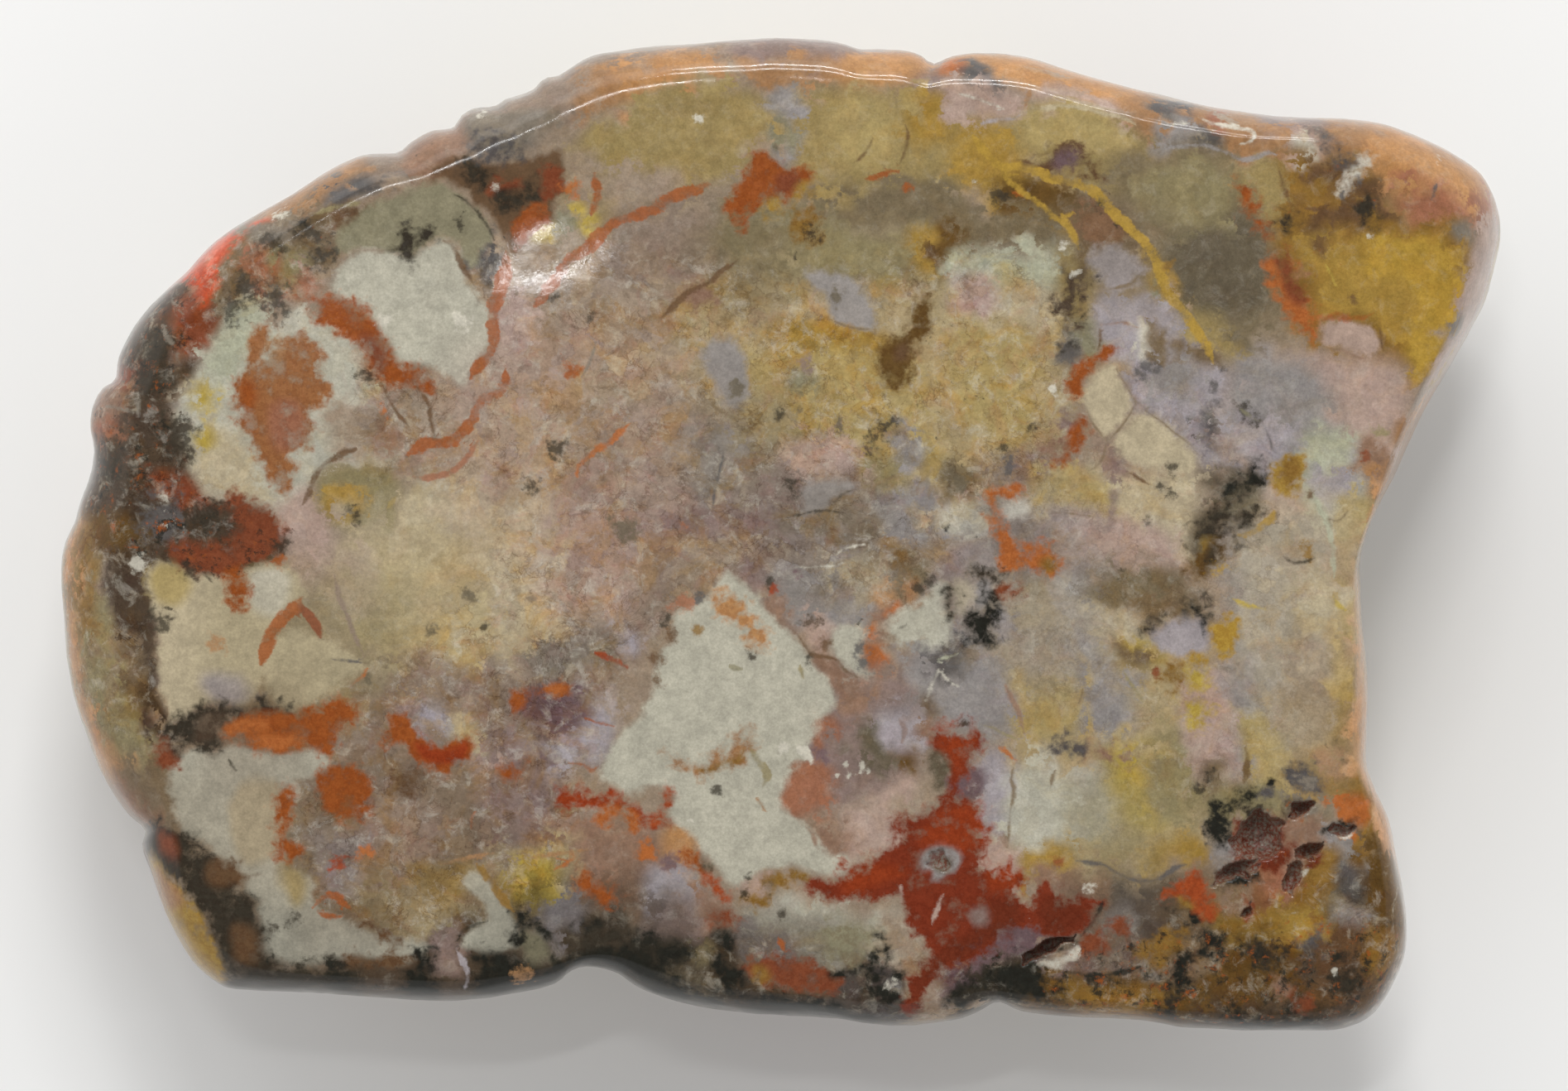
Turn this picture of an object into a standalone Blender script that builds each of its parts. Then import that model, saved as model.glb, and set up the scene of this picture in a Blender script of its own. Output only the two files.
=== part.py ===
"""A polished coprolite: one agatised nodule, sawn once and then tumbled smooth all over.

It lies on its lumpy back with the sawn face up (+Z) and its long side along X. The origin is
the middle of the box's underside, on the small flat spot that the stone rests on.
Run it with: blender --background --python part.py
"""

import math

import bmesh
import bpy
import numpy as np
from mathutils import Vector, noise

METRE = 0.001  # every size below is in millimetres

# Heights
THICKNESS = 22.0  # from the resting spot to the crown of the sawn face
CROWN = 0.55  # how much lower the face is at its ends
HALF_LENGTH = 45.0
HALF_WIDTH = 31.0

# The back
SPOT_SHARE = 0.26  # the resting spot's reach, as a share of the outline's
SPOT_CENTRE = (-1.5, 0.5)
BELLY = 1.95  # exponent of the curve from the widest level down to the spot
LUMP_SIZE = 14.0
LUMP_HEIGHT = 2.2
FINE_LUMPS = 0.4  # height of the smaller lumps, as a share of the larger ones'
FINE_LUMP_RATE = 2.3  # how many times closer the smaller lumps stand
UNDERSIDE_PULL = 2.0  # how soon the lumps turn from outward to downward under the widest level

# How far the outline's notches reach, and how they are softened
SOFTEN_REACH = 2.6  # the face's rim follows the outline evened out over this reach
NOTCH_DEPTH = 0.6  # share of the way down the back at which a notch has faded

# Mesh
FINE = 0.25  # spacing of the points that the outline is first drawn with
RAY_STEP = 1.75  # spacing of the mesh's columns along the outline
FACE_RINGS = (0.22, 0.42, 0.58, 0.71, 0.82, 0.91, 0.97, 1.0)
SHOULDER_RINGS = (0.12, 0.25, 0.39, 0.53, 0.68, 0.84, 1.0)
BACK_RINGS = (0.12, 0.24, 0.36, 0.48, 0.6, 0.72, 0.83, 0.92, 1.0)
SPOT_RINGS = (0.5,)
VUG_ROUNDS = 2  # how often a vug's cutter is subdivided

# The outline at the widest level, anticlockwise from the horn at the upper right
HORN = ((45.0, 18.5), (44.6, 21.0), (43.7, 22.5), (42.2, 23.6), (39.8, 24.8), (37.6, 25.6))
TOP_SLOPE = ((35.4, 25.9), (30.2, 26.1), (27.6, 26.5), (23.0, 27.5), (17.5, 29.0), (15.3, 29.7))
TOP_LOBE_EAST = ((13.2, 29.9), (11.7, 29.9), (10.4, 29.7), (9.5, 29.3), (8.5, 29.9))
TOP_LOBE_MIDDLE = ((6.2, 30.2), (5.0, 30.2), (3.7, 30.6), (2.3, 30.8), (0.3, 30.9))
TOP_LOBE_WEST = ((-2.1, 30.8), (-5.9, 30.5), (-9.3, 30.2), (-11.9, 29.7), (-13.2, 29.0))
SCALLOPS = (
    (-13.9, 28.6), (-14.8, 28.4), (-15.5, 27.7), (-16.4, 27.3), (-17.2, 27.1),
    (-17.8, 26.7), (-19.2, 26.5), (-19.9, 26.1), (-20.4, 25.4), (-21.9, 25.1),
    (-23.1, 24.4), (-23.8, 23.8), (-24.9, 23.7), (-26.1, 23.6), (-27.4, 23.1),
)
WEST_SLOPE = ((-31.0, 20.9), (-33.3, 19.6), (-35.2, 18.3), (-37.3, 16.2), (-39.5, 14.1))
WEST_KNUCKLES = (
    (-40.7, 12.4), (-41.4, 10.8), (-41.6, 9.6), (-42.4, 9.1), (-43.0, 8.1),
    (-43.2, 6.6), (-43.0, 5.6), (-43.3, 3.4), (-43.7, 2.4),
)
WEST_BULGE = (
    (-44.2, 0.7), (-44.7, -0.5), (-45.0, -2.3), (-44.9, -4.4), (-44.3, -9.6),
    (-43.0, -13.6), (-40.7, -17.6), (-39.7, -18.5), (-39.9, -19.3),
)
WEST_FOOT = ((-39.5, -20.8), (-37.8, -24.9), (-36.7, -26.8), (-35.8, -27.6), (-34.8, -28.2))
BOTTOM_WEST = (
    (-33.1, -28.4), (-28.9, -28.6), (-23.0, -29.0), (-20.7, -29.1), (-18.6, -28.9),
    (-16.2, -28.5), (-14.7, -28.2), (-13.9, -27.9), (-13.3, -27.3),
)
BOTTOM_ARCH = ((-12.7, -27.0), (-11.5, -27.0), (-10.4, -27.3), (-9.0, -28.2), (-7.3, -28.9))
BOTTOM_MIDDLE = (
    (-5.2, -29.4), (-2.2, -29.8), (3.7, -30.2), (5.6, -30.5), (7.7, -30.6),
    (9.6, -30.4), (11.3, -30.1), (12.6, -29.5), (13.4, -29.1),
)
BOTTOM_EAST = (
    (14.7, -29.6), (16.4, -29.9), (23.0, -30.3), (24.5, -30.6), (26.7, -30.8),
    (29.5, -30.9), (32.3, -30.9), (35.0, -30.8),
)
HEEL = (
    (36.5, -30.2), (37.3, -29.4), (38.3, -27.6), (38.9, -25.9), (39.0, -24.1),
    (38.7, -22.0), (38.3, -19.8), (37.8, -17.6), (36.9, -15.6),
)
WAIST = (
    (36.5, -14.4), (36.5, -12.9), (36.6, -10.3), (36.5, -7.9), (36.1, -3.5),
    (36.1, -1.3), (36.5, 0.2), (37.1, 1.5), (38.0, 3.0),
)
NECK = ((39.1, 5.4), (40.3, 7.8), (42.2, 11.0), (43.2, 12.8), (44.1, 14.6), (44.7, 16.7))
OUTLINE = (
    HORN + TOP_SLOPE + TOP_LOBE_EAST + TOP_LOBE_MIDDLE + TOP_LOBE_WEST + SCALLOPS + WEST_SLOPE
    + WEST_KNUCKLES + WEST_BULGE + WEST_FOOT + BOTTOM_WEST + BOTTOM_ARCH + BOTTOM_MIDDLE
    + BOTTOM_EAST + HEEL + WAIST + NECK
)

# The shoulder between the face and the widest level, by bearing: degrees round from +X,
# width seen from above, exponent of its curve (under 2 leaves a crisp rim, over 2 a full one)
# and height of the widest level, where the outline is measured
SHOULDER = (
    (-150.0, 2.6, 2.4, 13.0),  # west foot
    (-120.0, 2.0, 2.5, 14.0),
    (-60.0, 1.9, 2.5, 14.5),  # bottom
    (-34.0, 2.0, 2.3, 14.0),  # heel
    (-24.0, 1.8, 2.1, 13.5),
    (-12.0, 1.3, 1.9, 13.0),  # waist
    (2.0, 0.9, 1.8, 12.5),
    (12.0, 1.9, 1.5, 11.5),  # the bevel up the neck
    (20.0, 2.6, 1.5, 11.5),
    (27.0, 3.2, 2.2, 13.0),  # horn
    (45.0, 3.2, 2.8, 14.0),
    (60.0, 3.2, 3.0, 14.5),
    (100.0, 3.2, 3.0, 15.0),  # top lobes
    (140.0, 3.2, 2.7, 14.5),
    (165.0, 3.6, 2.4, 14.0),
    (185.0, 4.6, 2.1, 14.0),  # west bulge
    (200.0, 4.0, 2.2, 13.5),
)

# Broad swells and dips of the polished face: x, y, reach, height
SWELLS = (
    (-15.1, 20.0, 4.0, -0.37),
    (-31.0, 8.0, 8.0, 0.35),
    (12.0, 16.0, 9.0, -0.35),
    (4.0, -4.0, 12.0, 0.3),
    (31.0, 14.0, 8.0, 0.25),
    (-18.0, -14.0, 10.0, 0.25),
    (22.0, -12.0, 9.0, -0.2),
    (0.2, 28.4, 2.8, -0.16),  # between the lobes of the top rim
    (12.6, 27.4, 2.8, -0.2),
    (-9.8, 27.6, 2.8, -0.14),
)

# Creases that run on from the outline's notches over the back: start, end, half width, depth
CREASES = (
    ((-12.3, -27.0), (-7.0, -10.0), 3.2, 1.5),  # from the bottom arch
    ((9.5, 29.5), (3.0, 12.0), 2.8, 1.0),  # between the top lobes
    ((-20.4, 25.5), (-16.0, 13.0), 2.6, 0.8),  # from the scallops
    ((13.4, -29.3), (19.0, -17.0), 2.8, 0.8),
    ((-43.0, 5.6), (-28.0, 5.0), 2.8, 0.9),  # above the west bulge
    ((-39.8, -18.5), (-30.0, -12.0), 2.4, 0.8),  # below it
    ((36.3, -2.0), (22.0, 1.0), 4.5, 1.2),  # from the waist
)

# Open vugs in the face: x, y, half length, half width, bearing, depth
VUGS = (
    (29.4, -18.6, 1.7, 1.3, 75.0, 1.4),  # the main hollow
    (28.2, -20.8, 1.7, 0.5, 29.0, 1.1),  # a slit below it
    (32.7, -19.7, 0.95, 0.5, 31.0, 1.0),
    (31.6, -21.3, 1.0, 0.5, 64.0, 0.8),
    (31.9, -16.9, 0.95, 0.42, 28.0, 0.9),
    (34.5, -18.1, 1.0, 0.3, 7.0, 0.6),
    (28.7, -23.2, 0.65, 0.32, 54.0, 0.6),
    (16.5, -25.5, 1.8, 0.42, 25.0, 1.3),  # the rift near the bottom edge
    (9.8, -20.1, 0.7, 0.6, 0.0, 0.35),  # the eye in the red band
)
VUG_RAGGED = 0.35  # how far a vug's wall strays from an even hollow
VUG_GRAIN = 1.9  # how closely its bumps stand

COLOUR = (0.42, 0.34, 0.24)
ROUGHNESS = 0.22


def smooth_step(value):
    """0 below 0, 1 above 1, and a smooth rise between."""
    t = np.clip(value, 0.0, 1.0)
    return t * t * (3.0 - 2.0 * t)


def closed_curve(points, spacing):
    """A smooth closed line through the points, with a sample about every spacing."""
    corners = np.array(points, float)
    ahead = np.roll(corners, -1, axis=0) - corners
    chord = np.linalg.norm(ahead, axis=1, keepdims=True)
    behind = np.roll(ahead, 1, axis=0)
    chord_behind = np.roll(chord, 1, axis=0)
    slope = (ahead / chord * chord_behind + behind / chord_behind * chord) / (chord + chord_behind)
    samples = []
    for i in range(len(corners)):
        j = (i + 1) % len(corners)
        reach = chord[i, 0]
        for t in np.linspace(0.0, 1.0, max(2, round(reach / spacing)), endpoint=False):
            rise = t * t * (3.0 - 2.0 * t)
            bend = (t * (1.0 - t) ** 2 * slope[i] - t * t * (1.0 - t) * slope[j]) * reach
            samples.append(corners[i] * (1.0 - rise) + corners[j] * rise + bend)
    return np.array(samples)


def softened(line, reach):
    """The closed line evened out over the reach, so that its notches are gone."""
    spacing = np.linalg.norm(line - np.roll(line, 1, axis=0), axis=1).mean()
    half = int(3.0 * reach / spacing)
    weights = np.exp(-0.5 * (np.arange(-half, half + 1) * spacing / reach) ** 2)
    weights /= weights.sum()
    return sum(w * np.roll(line, k, axis=0) for w, k in zip(weights, range(-half, half + 1)))


def ray_indices(line):
    """Which samples of the fine outline carry a column of the mesh."""
    walked = np.cumsum(np.linalg.norm(np.roll(line, -1, axis=0) - line, axis=1))
    count = round(walked[-1] / RAY_STEP)
    return np.searchsorted(walked, (np.arange(count) + 0.5) * walked[-1] / count)


def shoulder_at(bearing):
    """Width, exponent and lowest height of the shoulder at each bearing, in degrees."""
    marks = np.array(SHOULDER).T
    return [np.interp(bearing, marks[0], values, period=360.0) for values in marks[1:]]


def face_height(x, y):
    """Height of the polished face."""
    height = THICKNESS - CROWN * ((x / HALF_LENGTH) ** 2 + (y / HALF_WIDTH) ** 2)
    for centre_x, centre_y, reach, rise in SWELLS:
        distance = np.hypot(x - centre_x, y - centre_y) / reach
        height = height + rise * np.exp(-distance * distance)
    return height


def crease_depth(x, y):
    """How deep the creases of the back are below a place."""
    depth = 0.0
    for start, end, half_width, deepest in CREASES:
        run = np.subtract(end, start)
        along = np.dot((x - start[0], y - start[1]), run) / np.dot(run, run)
        foot = np.add(start, run * min(max(along, 0.0), 1.0))
        distance = math.hypot(x - foot[0], y - foot[1]) / half_width
        fade = 1.0 - smooth_step(along)
        depth = max(depth, deepest * fade * math.exp(-distance * distance))
    return depth


def lump(x, y, z):
    """Height of the back's natural lumps at a point."""
    place = Vector((x, y, z)) / LUMP_SIZE
    return LUMP_HEIGHT * (noise.noise(place) + FINE_LUMPS * noise.noise(place * FINE_LUMP_RATE))


def face_ring(rim, share):
    """A ring of the sawn face, inside its rim."""
    x, y = (rim * share).T
    return np.column_stack((x, y, face_height(x, y)))


def shoulder_ring(rim, edge, exponent, girth, share):
    """A ring between the rim of the face and the widest level."""
    turn = share * math.pi / 2.0
    out = np.sin(turn) ** (2.0 / exponent)
    up = np.cos(turn) ** (2.0 / exponent) if share < 1.0 else np.zeros_like(exponent)
    place = rim + (edge - rim) * out[:, None]
    top = face_height(*rim.T)
    return np.column_stack((place, girth + (top - girth) * up))


def back_ring(edge, soft_edge, girth, share):
    """A ring between the widest level and the resting spot."""
    turn = share * math.pi / 2.0
    inward = math.cos(turn) ** (2.0 / BELLY) if share < 1.0 else 0.0
    down = math.sin(turn) ** (2.0 / BELLY)
    notch = 1.0 - smooth_step(share / NOTCH_DEPTH)
    outline = soft_edge + (edge - soft_edge) * notch
    spot = np.array(SPOT_CENTRE) + soft_edge * SPOT_SHARE
    ring = np.column_stack((spot + (outline - spot) * inward, girth * (1.0 - down)))
    bulge = math.sin(math.pi * share)
    for point, drop in zip(ring, girth * down):
        rise = (lump(*point) - crease_depth(point[0], point[1])) * bulge
        outward = Vector((point[0], point[1], -UNDERSIDE_PULL * drop)).normalized()
        point += np.array(outward) * rise
        point[2] = max(point[2], 0.0)
    return ring


def spot_ring(outermost, share):
    """A ring inside the flat resting spot."""
    centre = np.array((*SPOT_CENTRE, 0.0))
    return centre + (outermost - centre) * share


def stone_rings():
    """All rings of the stone, from beside the face's middle down to the resting spot."""
    line = closed_curve(OUTLINE, FINE)
    soft_line = softened(line, SOFTEN_REACH)
    rays = ray_indices(line)
    edge, soft_edge = line[rays], soft_line[rays]
    bearing = np.degrees(np.arctan2(soft_edge[:, 1], soft_edge[:, 0]))
    width, exponent, girth = shoulder_at(bearing)
    distance = np.linalg.norm(soft_edge, axis=1)
    rim = soft_edge * (1.0 - width / distance)[:, None]
    rings = [face_ring(rim, share) for share in FACE_RINGS]
    rings += [shoulder_ring(rim, edge, exponent, girth, share) for share in SHOULDER_RINGS]
    rings += [back_ring(edge, soft_edge, girth, share) for share in BACK_RINGS]
    rings += [spot_ring(rings[-1], share) for share in SPOT_RINGS]
    return rings


def new_object(name, mesh):
    """The bmesh as an object in the scene."""
    data = bpy.data.meshes.new(name)
    mesh.to_mesh(data)
    mesh.free()
    obj = bpy.data.objects.new(name, data)
    bpy.context.scene.collection.objects.link(obj)
    return obj


def make_body(rings, shift):
    """The stone before its vugs are opened: rings bridged in turn, with a fan at each end."""
    top = np.array((0.0, 0.0, face_height(0.0, 0.0)))
    under = np.array((*SPOT_CENTRE, 0.0))
    mesh = bmesh.new()
    loops = [[mesh.verts.new((p - shift) * METRE) for p in ring] for ring in rings]
    first = mesh.verts.new((top - shift) * METRE)
    last = mesh.verts.new((under - shift) * METRE)
    count = len(loops[0])
    for i in range(count):
        j = (i + 1) % count
        mesh.faces.new((first, loops[0][i], loops[0][j]))
        mesh.faces.new((last, loops[-1][j], loops[-1][i]))
        for upper, lower in zip(loops, loops[1:]):
            mesh.faces.new((upper[i], lower[i], lower[j], upper[j]))
    bmesh.ops.triangulate(mesh, faces=mesh.faces)
    return new_object("coprolite", mesh)


def make_vug_cutter(index, shift):
    """A ragged pebble that is sunk in the face to open one vug."""
    x, y, half_length, half_width, bearing, depth = VUGS[index]
    mesh = bmesh.new()
    bmesh.ops.create_icosphere(mesh, subdivisions=VUG_ROUNDS, radius=1.0)
    for vert in mesh.verts:
        stray = VUG_RAGGED * noise.noise(vert.co * VUG_GRAIN + Vector((x, y, 0.0)))
        vert.co *= (1.0 + stray) * METRE
    cutter = new_object(f"vug_cutter_{index}", mesh)
    cutter.location = (np.array((x, y, face_height(x, y))) - shift) * METRE
    cutter.rotation_euler = (0.0, 0.0, math.radians(bearing))
    cutter.scale = (half_length, half_width, depth)
    cutter.hide_render = True
    cutter.display_type = "WIRE"
    return cutter


def make_stone():
    """The whole stone, centred on its own box and with its vugs cut open."""
    rings = stone_rings()
    low = np.min([ring.min(axis=0) for ring in rings], axis=0)
    high = np.max([ring.max(axis=0) for ring in rings], axis=0)
    shift = np.array(((low[0] + high[0]) / 2.0, (low[1] + high[1]) / 2.0, 0.0))
    stone = make_body(rings, shift)
    for index in range(len(VUGS)):
        cut = stone.modifiers.new(f"vug {index}", "BOOLEAN")
        cut.operation = "DIFFERENCE"
        cut.object = make_vug_cutter(index, shift)
    stone.data.shade_smooth()
    return stone


def agate():
    """Polished chalcedony in its overall colour."""
    material = bpy.data.materials.new("agate")
    material.use_nodes = True
    shader = material.node_tree.nodes["Principled BSDF"]
    shader.inputs["Base Color"].default_value = (*COLOUR, 1.0)
    shader.inputs["Roughness"].default_value = ROUGHNESS
    shader.inputs["Metallic"].default_value = 0.0
    return material


def main():
    for obj in list(bpy.data.objects):
        bpy.data.objects.remove(obj)
    stone = make_stone()
    stone.data.materials.append(agate())


main()
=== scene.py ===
import math

import bpy
import numpy as np
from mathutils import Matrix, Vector, noise
from mathutils.geometry import delaunay_2d_cdt


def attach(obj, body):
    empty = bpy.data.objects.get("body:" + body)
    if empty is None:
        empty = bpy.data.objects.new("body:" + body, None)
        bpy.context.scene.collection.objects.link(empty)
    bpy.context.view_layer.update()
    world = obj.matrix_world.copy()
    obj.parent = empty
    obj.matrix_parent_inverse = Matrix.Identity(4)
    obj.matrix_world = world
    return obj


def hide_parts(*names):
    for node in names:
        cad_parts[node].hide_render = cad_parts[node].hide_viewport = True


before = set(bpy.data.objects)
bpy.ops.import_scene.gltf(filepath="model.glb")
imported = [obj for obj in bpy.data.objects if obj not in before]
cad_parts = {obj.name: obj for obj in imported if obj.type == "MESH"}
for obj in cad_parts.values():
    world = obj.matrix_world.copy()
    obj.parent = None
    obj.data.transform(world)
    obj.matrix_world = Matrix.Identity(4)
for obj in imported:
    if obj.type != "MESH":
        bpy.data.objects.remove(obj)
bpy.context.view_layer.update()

METRE = 0.001  # the stone's sizes below are in millimetres
SEED = 4  # of the noise that bends the vugs and the markings

# The stone's own measures
THICKNESS = 22.0
CROWN = 0.55
HALF_LENGTH = 45.0
HALF_WIDTH = 31.0
SPOT_SHARE = 0.26
SPOT_CENTRE = (-1.5, 0.5)
BELLY = 1.95
LUMP_SIZE = 14.0
LUMP_HEIGHT = 2.2
FINE_LUMPS = 0.4
FINE_LUMP_RATE = 2.3
UNDERSIDE_PULL = 2.0
SOFTEN_REACH = 2.6
NOTCH_DEPTH = 0.6

# The outline at the widest level, anticlockwise from the horn at the upper right
HORN = ((45.0, 18.5), (44.6, 21.0), (43.7, 22.5), (42.2, 23.6), (39.8, 24.8), (37.6, 25.6))
TOP_SLOPE = ((35.4, 25.9), (30.2, 26.1), (27.6, 26.5), (23.0, 27.5), (17.5, 29.0), (15.3, 29.7))
TOP_LOBE_EAST = ((13.2, 29.9), (11.7, 29.9), (10.4, 29.7), (9.5, 29.3), (8.5, 29.9))
TOP_LOBE_MIDDLE = ((6.2, 30.2), (5.0, 30.2), (3.7, 30.6), (2.3, 30.8), (0.3, 30.9))
TOP_LOBE_WEST = ((-2.1, 30.8), (-5.9, 30.5), (-9.3, 30.2), (-11.9, 29.7), (-13.2, 29.0))
SCALLOPS = (
    (-13.9, 28.6), (-14.8, 28.4), (-15.5, 27.7), (-16.4, 27.3), (-17.2, 27.1),
    (-17.8, 26.7), (-19.2, 26.5), (-19.9, 26.1), (-20.4, 25.4), (-21.9, 25.1),
    (-23.1, 24.4), (-23.8, 23.8), (-24.9, 23.7), (-26.1, 23.6), (-27.4, 23.1),
)
WEST_SLOPE = ((-31.0, 20.9), (-33.3, 19.6), (-35.2, 18.3), (-37.3, 16.2), (-39.5, 14.1))
WEST_KNUCKLES = (
    (-40.7, 12.4), (-41.4, 10.8), (-41.6, 9.6), (-42.4, 9.1), (-43.0, 8.1),
    (-43.2, 6.6), (-43.0, 5.6), (-43.3, 3.4), (-43.7, 2.4),
)
WEST_BULGE = (
    (-44.2, 0.7), (-44.7, -0.5), (-45.0, -2.3), (-44.9, -4.4), (-44.3, -9.6),
    (-43.0, -13.6), (-40.7, -17.6), (-39.7, -18.5), (-39.9, -19.3),
)
WEST_FOOT = ((-39.5, -20.8), (-37.8, -24.9), (-36.7, -26.8), (-35.8, -27.6), (-34.8, -28.2))
BOTTOM_WEST = (
    (-33.1, -28.4), (-28.9, -28.6), (-23.0, -29.0), (-20.7, -29.1), (-18.6, -28.9),
    (-16.2, -28.5), (-14.7, -28.2), (-13.9, -27.9), (-13.3, -27.3),
)
BOTTOM_ARCH = ((-12.7, -27.0), (-11.5, -27.0), (-10.4, -27.3), (-9.0, -28.2), (-7.3, -28.9))
BOTTOM_MIDDLE = (
    (-5.2, -29.4), (-2.2, -29.8), (3.7, -30.2), (5.6, -30.5), (7.7, -30.6),
    (9.6, -30.4), (11.3, -30.1), (12.6, -29.5), (13.4, -29.1),
)
BOTTOM_EAST = (
    (14.7, -29.6), (16.4, -29.9), (23.0, -30.3), (24.5, -30.6), (26.7, -30.8),
    (29.5, -30.9), (32.3, -30.9), (35.0, -30.8),
)
HEEL = (
    (36.5, -30.2), (37.3, -29.4), (38.3, -27.6), (38.9, -25.9), (39.0, -24.1),
    (38.7, -22.0), (38.3, -19.8), (37.8, -17.6), (36.9, -15.6),
)
WAIST = (
    (36.5, -14.4), (36.5, -12.9), (36.6, -10.3), (36.5, -7.9), (36.1, -3.5),
    (36.1, -1.3), (36.5, 0.2), (37.1, 1.5), (38.0, 3.0),
)
NECK = ((39.1, 5.4), (40.3, 7.8), (42.2, 11.0), (43.2, 12.8), (44.1, 14.6), (44.7, 16.7))
OUTLINE = (
    HORN + TOP_SLOPE + TOP_LOBE_EAST + TOP_LOBE_MIDDLE + TOP_LOBE_WEST + SCALLOPS + WEST_SLOPE
    + WEST_KNUCKLES + WEST_BULGE + WEST_FOOT + BOTTOM_WEST + BOTTOM_ARCH + BOTTOM_MIDDLE
    + BOTTOM_EAST + HEEL + WAIST + NECK
)

# The shoulder between the face and the widest level, by bearing: degrees round from +X,
# width seen from above, exponent of its curve and height of the widest level
SHOULDER = (
    (-150.0, 2.6, 2.4, 13.0),  # west foot
    (-120.0, 2.0, 2.5, 14.0),
    (-60.0, 1.9, 2.5, 14.5),  # bottom
    (-34.0, 2.0, 2.3, 14.0),  # heel
    (-24.0, 1.8, 2.1, 13.5),
    (-12.0, 1.3, 1.9, 13.0),  # waist
    (2.0, 0.9, 1.8, 12.5),
    (12.0, 1.9, 1.5, 11.5),  # the bevel up the neck
    (20.0, 2.6, 1.5, 11.5),
    (27.0, 3.2, 2.2, 13.0),  # horn
    (45.0, 3.2, 2.8, 14.0),
    (60.0, 3.2, 3.0, 14.5),
    (100.0, 3.2, 3.0, 15.0),  # top lobes
    (140.0, 3.2, 2.7, 14.5),
    (165.0, 3.6, 2.4, 14.0),
    (185.0, 4.6, 2.1, 14.0),  # west bulge
    (200.0, 4.0, 2.2, 13.5),
)

# Broad swells and dips of the polished face: x, y, reach, height
SWELLS = (
    (-17.6, 19.1, 4.0, -0.2),
    (-15.1, 20.0, 4.0, -0.2),
    (-12.6, 20.9, 4.0, -0.2),
    (-31.0, 8.0, 8.0, 0.35),
    (12.0, 16.0, 9.0, -0.35),
    (4.0, -4.0, 12.0, 0.3),
    (31.0, 14.0, 8.0, 0.25),
    (-18.0, -14.0, 10.0, 0.25),
    (22.0, -12.0, 9.0, -0.2),
    (0.2, 28.4, 2.8, -0.08),  # between the lobes of the top rim
    (12.6, 27.4, 2.8, -0.1),
    (-9.8, 27.6, 2.8, -0.07),
)

# Creases that run on from the outline's notches over the back: start, end, half width, depth
CREASES = (
    ((-12.3, -27.0), (-7.0, -10.0), 3.2, 1.5),  # from the bottom arch
    ((9.5, 29.5), (3.0, 12.0), 2.8, 1.0),  # between the top lobes
    ((-20.4, 25.5), (-16.0, 13.0), 2.6, 0.8),  # from the scallops
    ((13.4, -29.3), (19.0, -17.0), 2.8, 0.8),
    ((-43.0, 5.6), (-28.0, 5.0), 2.8, 0.9),  # above the west bulge
    ((-39.8, -18.5), (-30.0, -12.0), 2.4, 0.8),  # below it
    ((36.3, -2.0), (22.0, 1.0), 4.5, 1.2),  # from the waist
)

# Open vugs in the face: x, y, half length, half width, bearing, depth
VUGS = (
    (29.4, -18.6, 1.7, 1.3, 75.0, 1.4),  # the main hollow
    (28.2, -20.8, 1.7, 0.5, 29.0, 1.1),  # a slit below it
    (32.7, -19.7, 0.95, 0.5, 31.0, 1.0),
    (31.6, -21.3, 1.0, 0.5, 64.0, 0.8),
    (31.9, -16.9, 0.95, 0.42, 28.0, 0.9),
    (34.5, -18.1, 1.0, 0.3, 7.0, 0.6),
    (28.7, -23.2, 0.65, 0.32, 54.0, 0.6),
    (16.5, -25.5, 1.8, 0.42, 25.0, 1.3),  # the rift near the bottom edge
    (9.8, -20.1, 0.7, 0.6, 0.0, 0.35),  # the eye in the red band
)
VUG_RAGGED = 0.35
VUG_GRAIN = 1.9
VUG_STRAY = ((1.3, 0.45), (0.5, 0.2))  # how a vug's outline strays: size of the turns, reach
VUG_FLOOR = 0.22  # how uneven a vug's floor is, as a share of its depth
VUG_FLOOR_GRAIN = 4.0

# Wear of the tumbled shoulder and back: size of its bumps and their height
WEAR = ((3.2, 0.09), (1.1, 0.035))

# The mesh
FINE = 0.25  # spacing of the points that the outline is first drawn with
RAY_STEP = 0.42  # spacing of the columns along the outline
SHOULDER_ROWS = 24
BACK_ROWS = 26
SPOT_ROWS = 6
GRAIN = 0.325  # spacing of the face's points
VUG_MESH = 0.112  # and of those in and round its vugs
RIM_GAP = 0.25  # the face's points keep this far inside its rim
MARK_MARGIN = 3.0  # pixels of fine mesh round each small mark

# The photograph: its scale, its middle and the middle of the stone's outline in pixels
PIXEL = 90.0 / 1740.0  # mm across one pixel at the widest level
OUTLINE_MIDDLE = (945.0, 645.5)
PICTURE_MIDDLE = (947.5, 659.0)
PICTURE_WIDTH = 1895.0
WIDEST_LEVEL = 14.0
LENS = 220.0
SENSOR = 36.0
CAMERA_DISTANCE = PICTURE_WIDTH * PIXEL * LENS / SENSOR
CAMERA_X = (PICTURE_MIDDLE[0] - OUTLINE_MIDDLE[0]) * PIXEL
CAMERA_Y = (OUTLINE_MIDDLE[1] - PICTURE_MIDDLE[1]) * PIXEL

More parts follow.
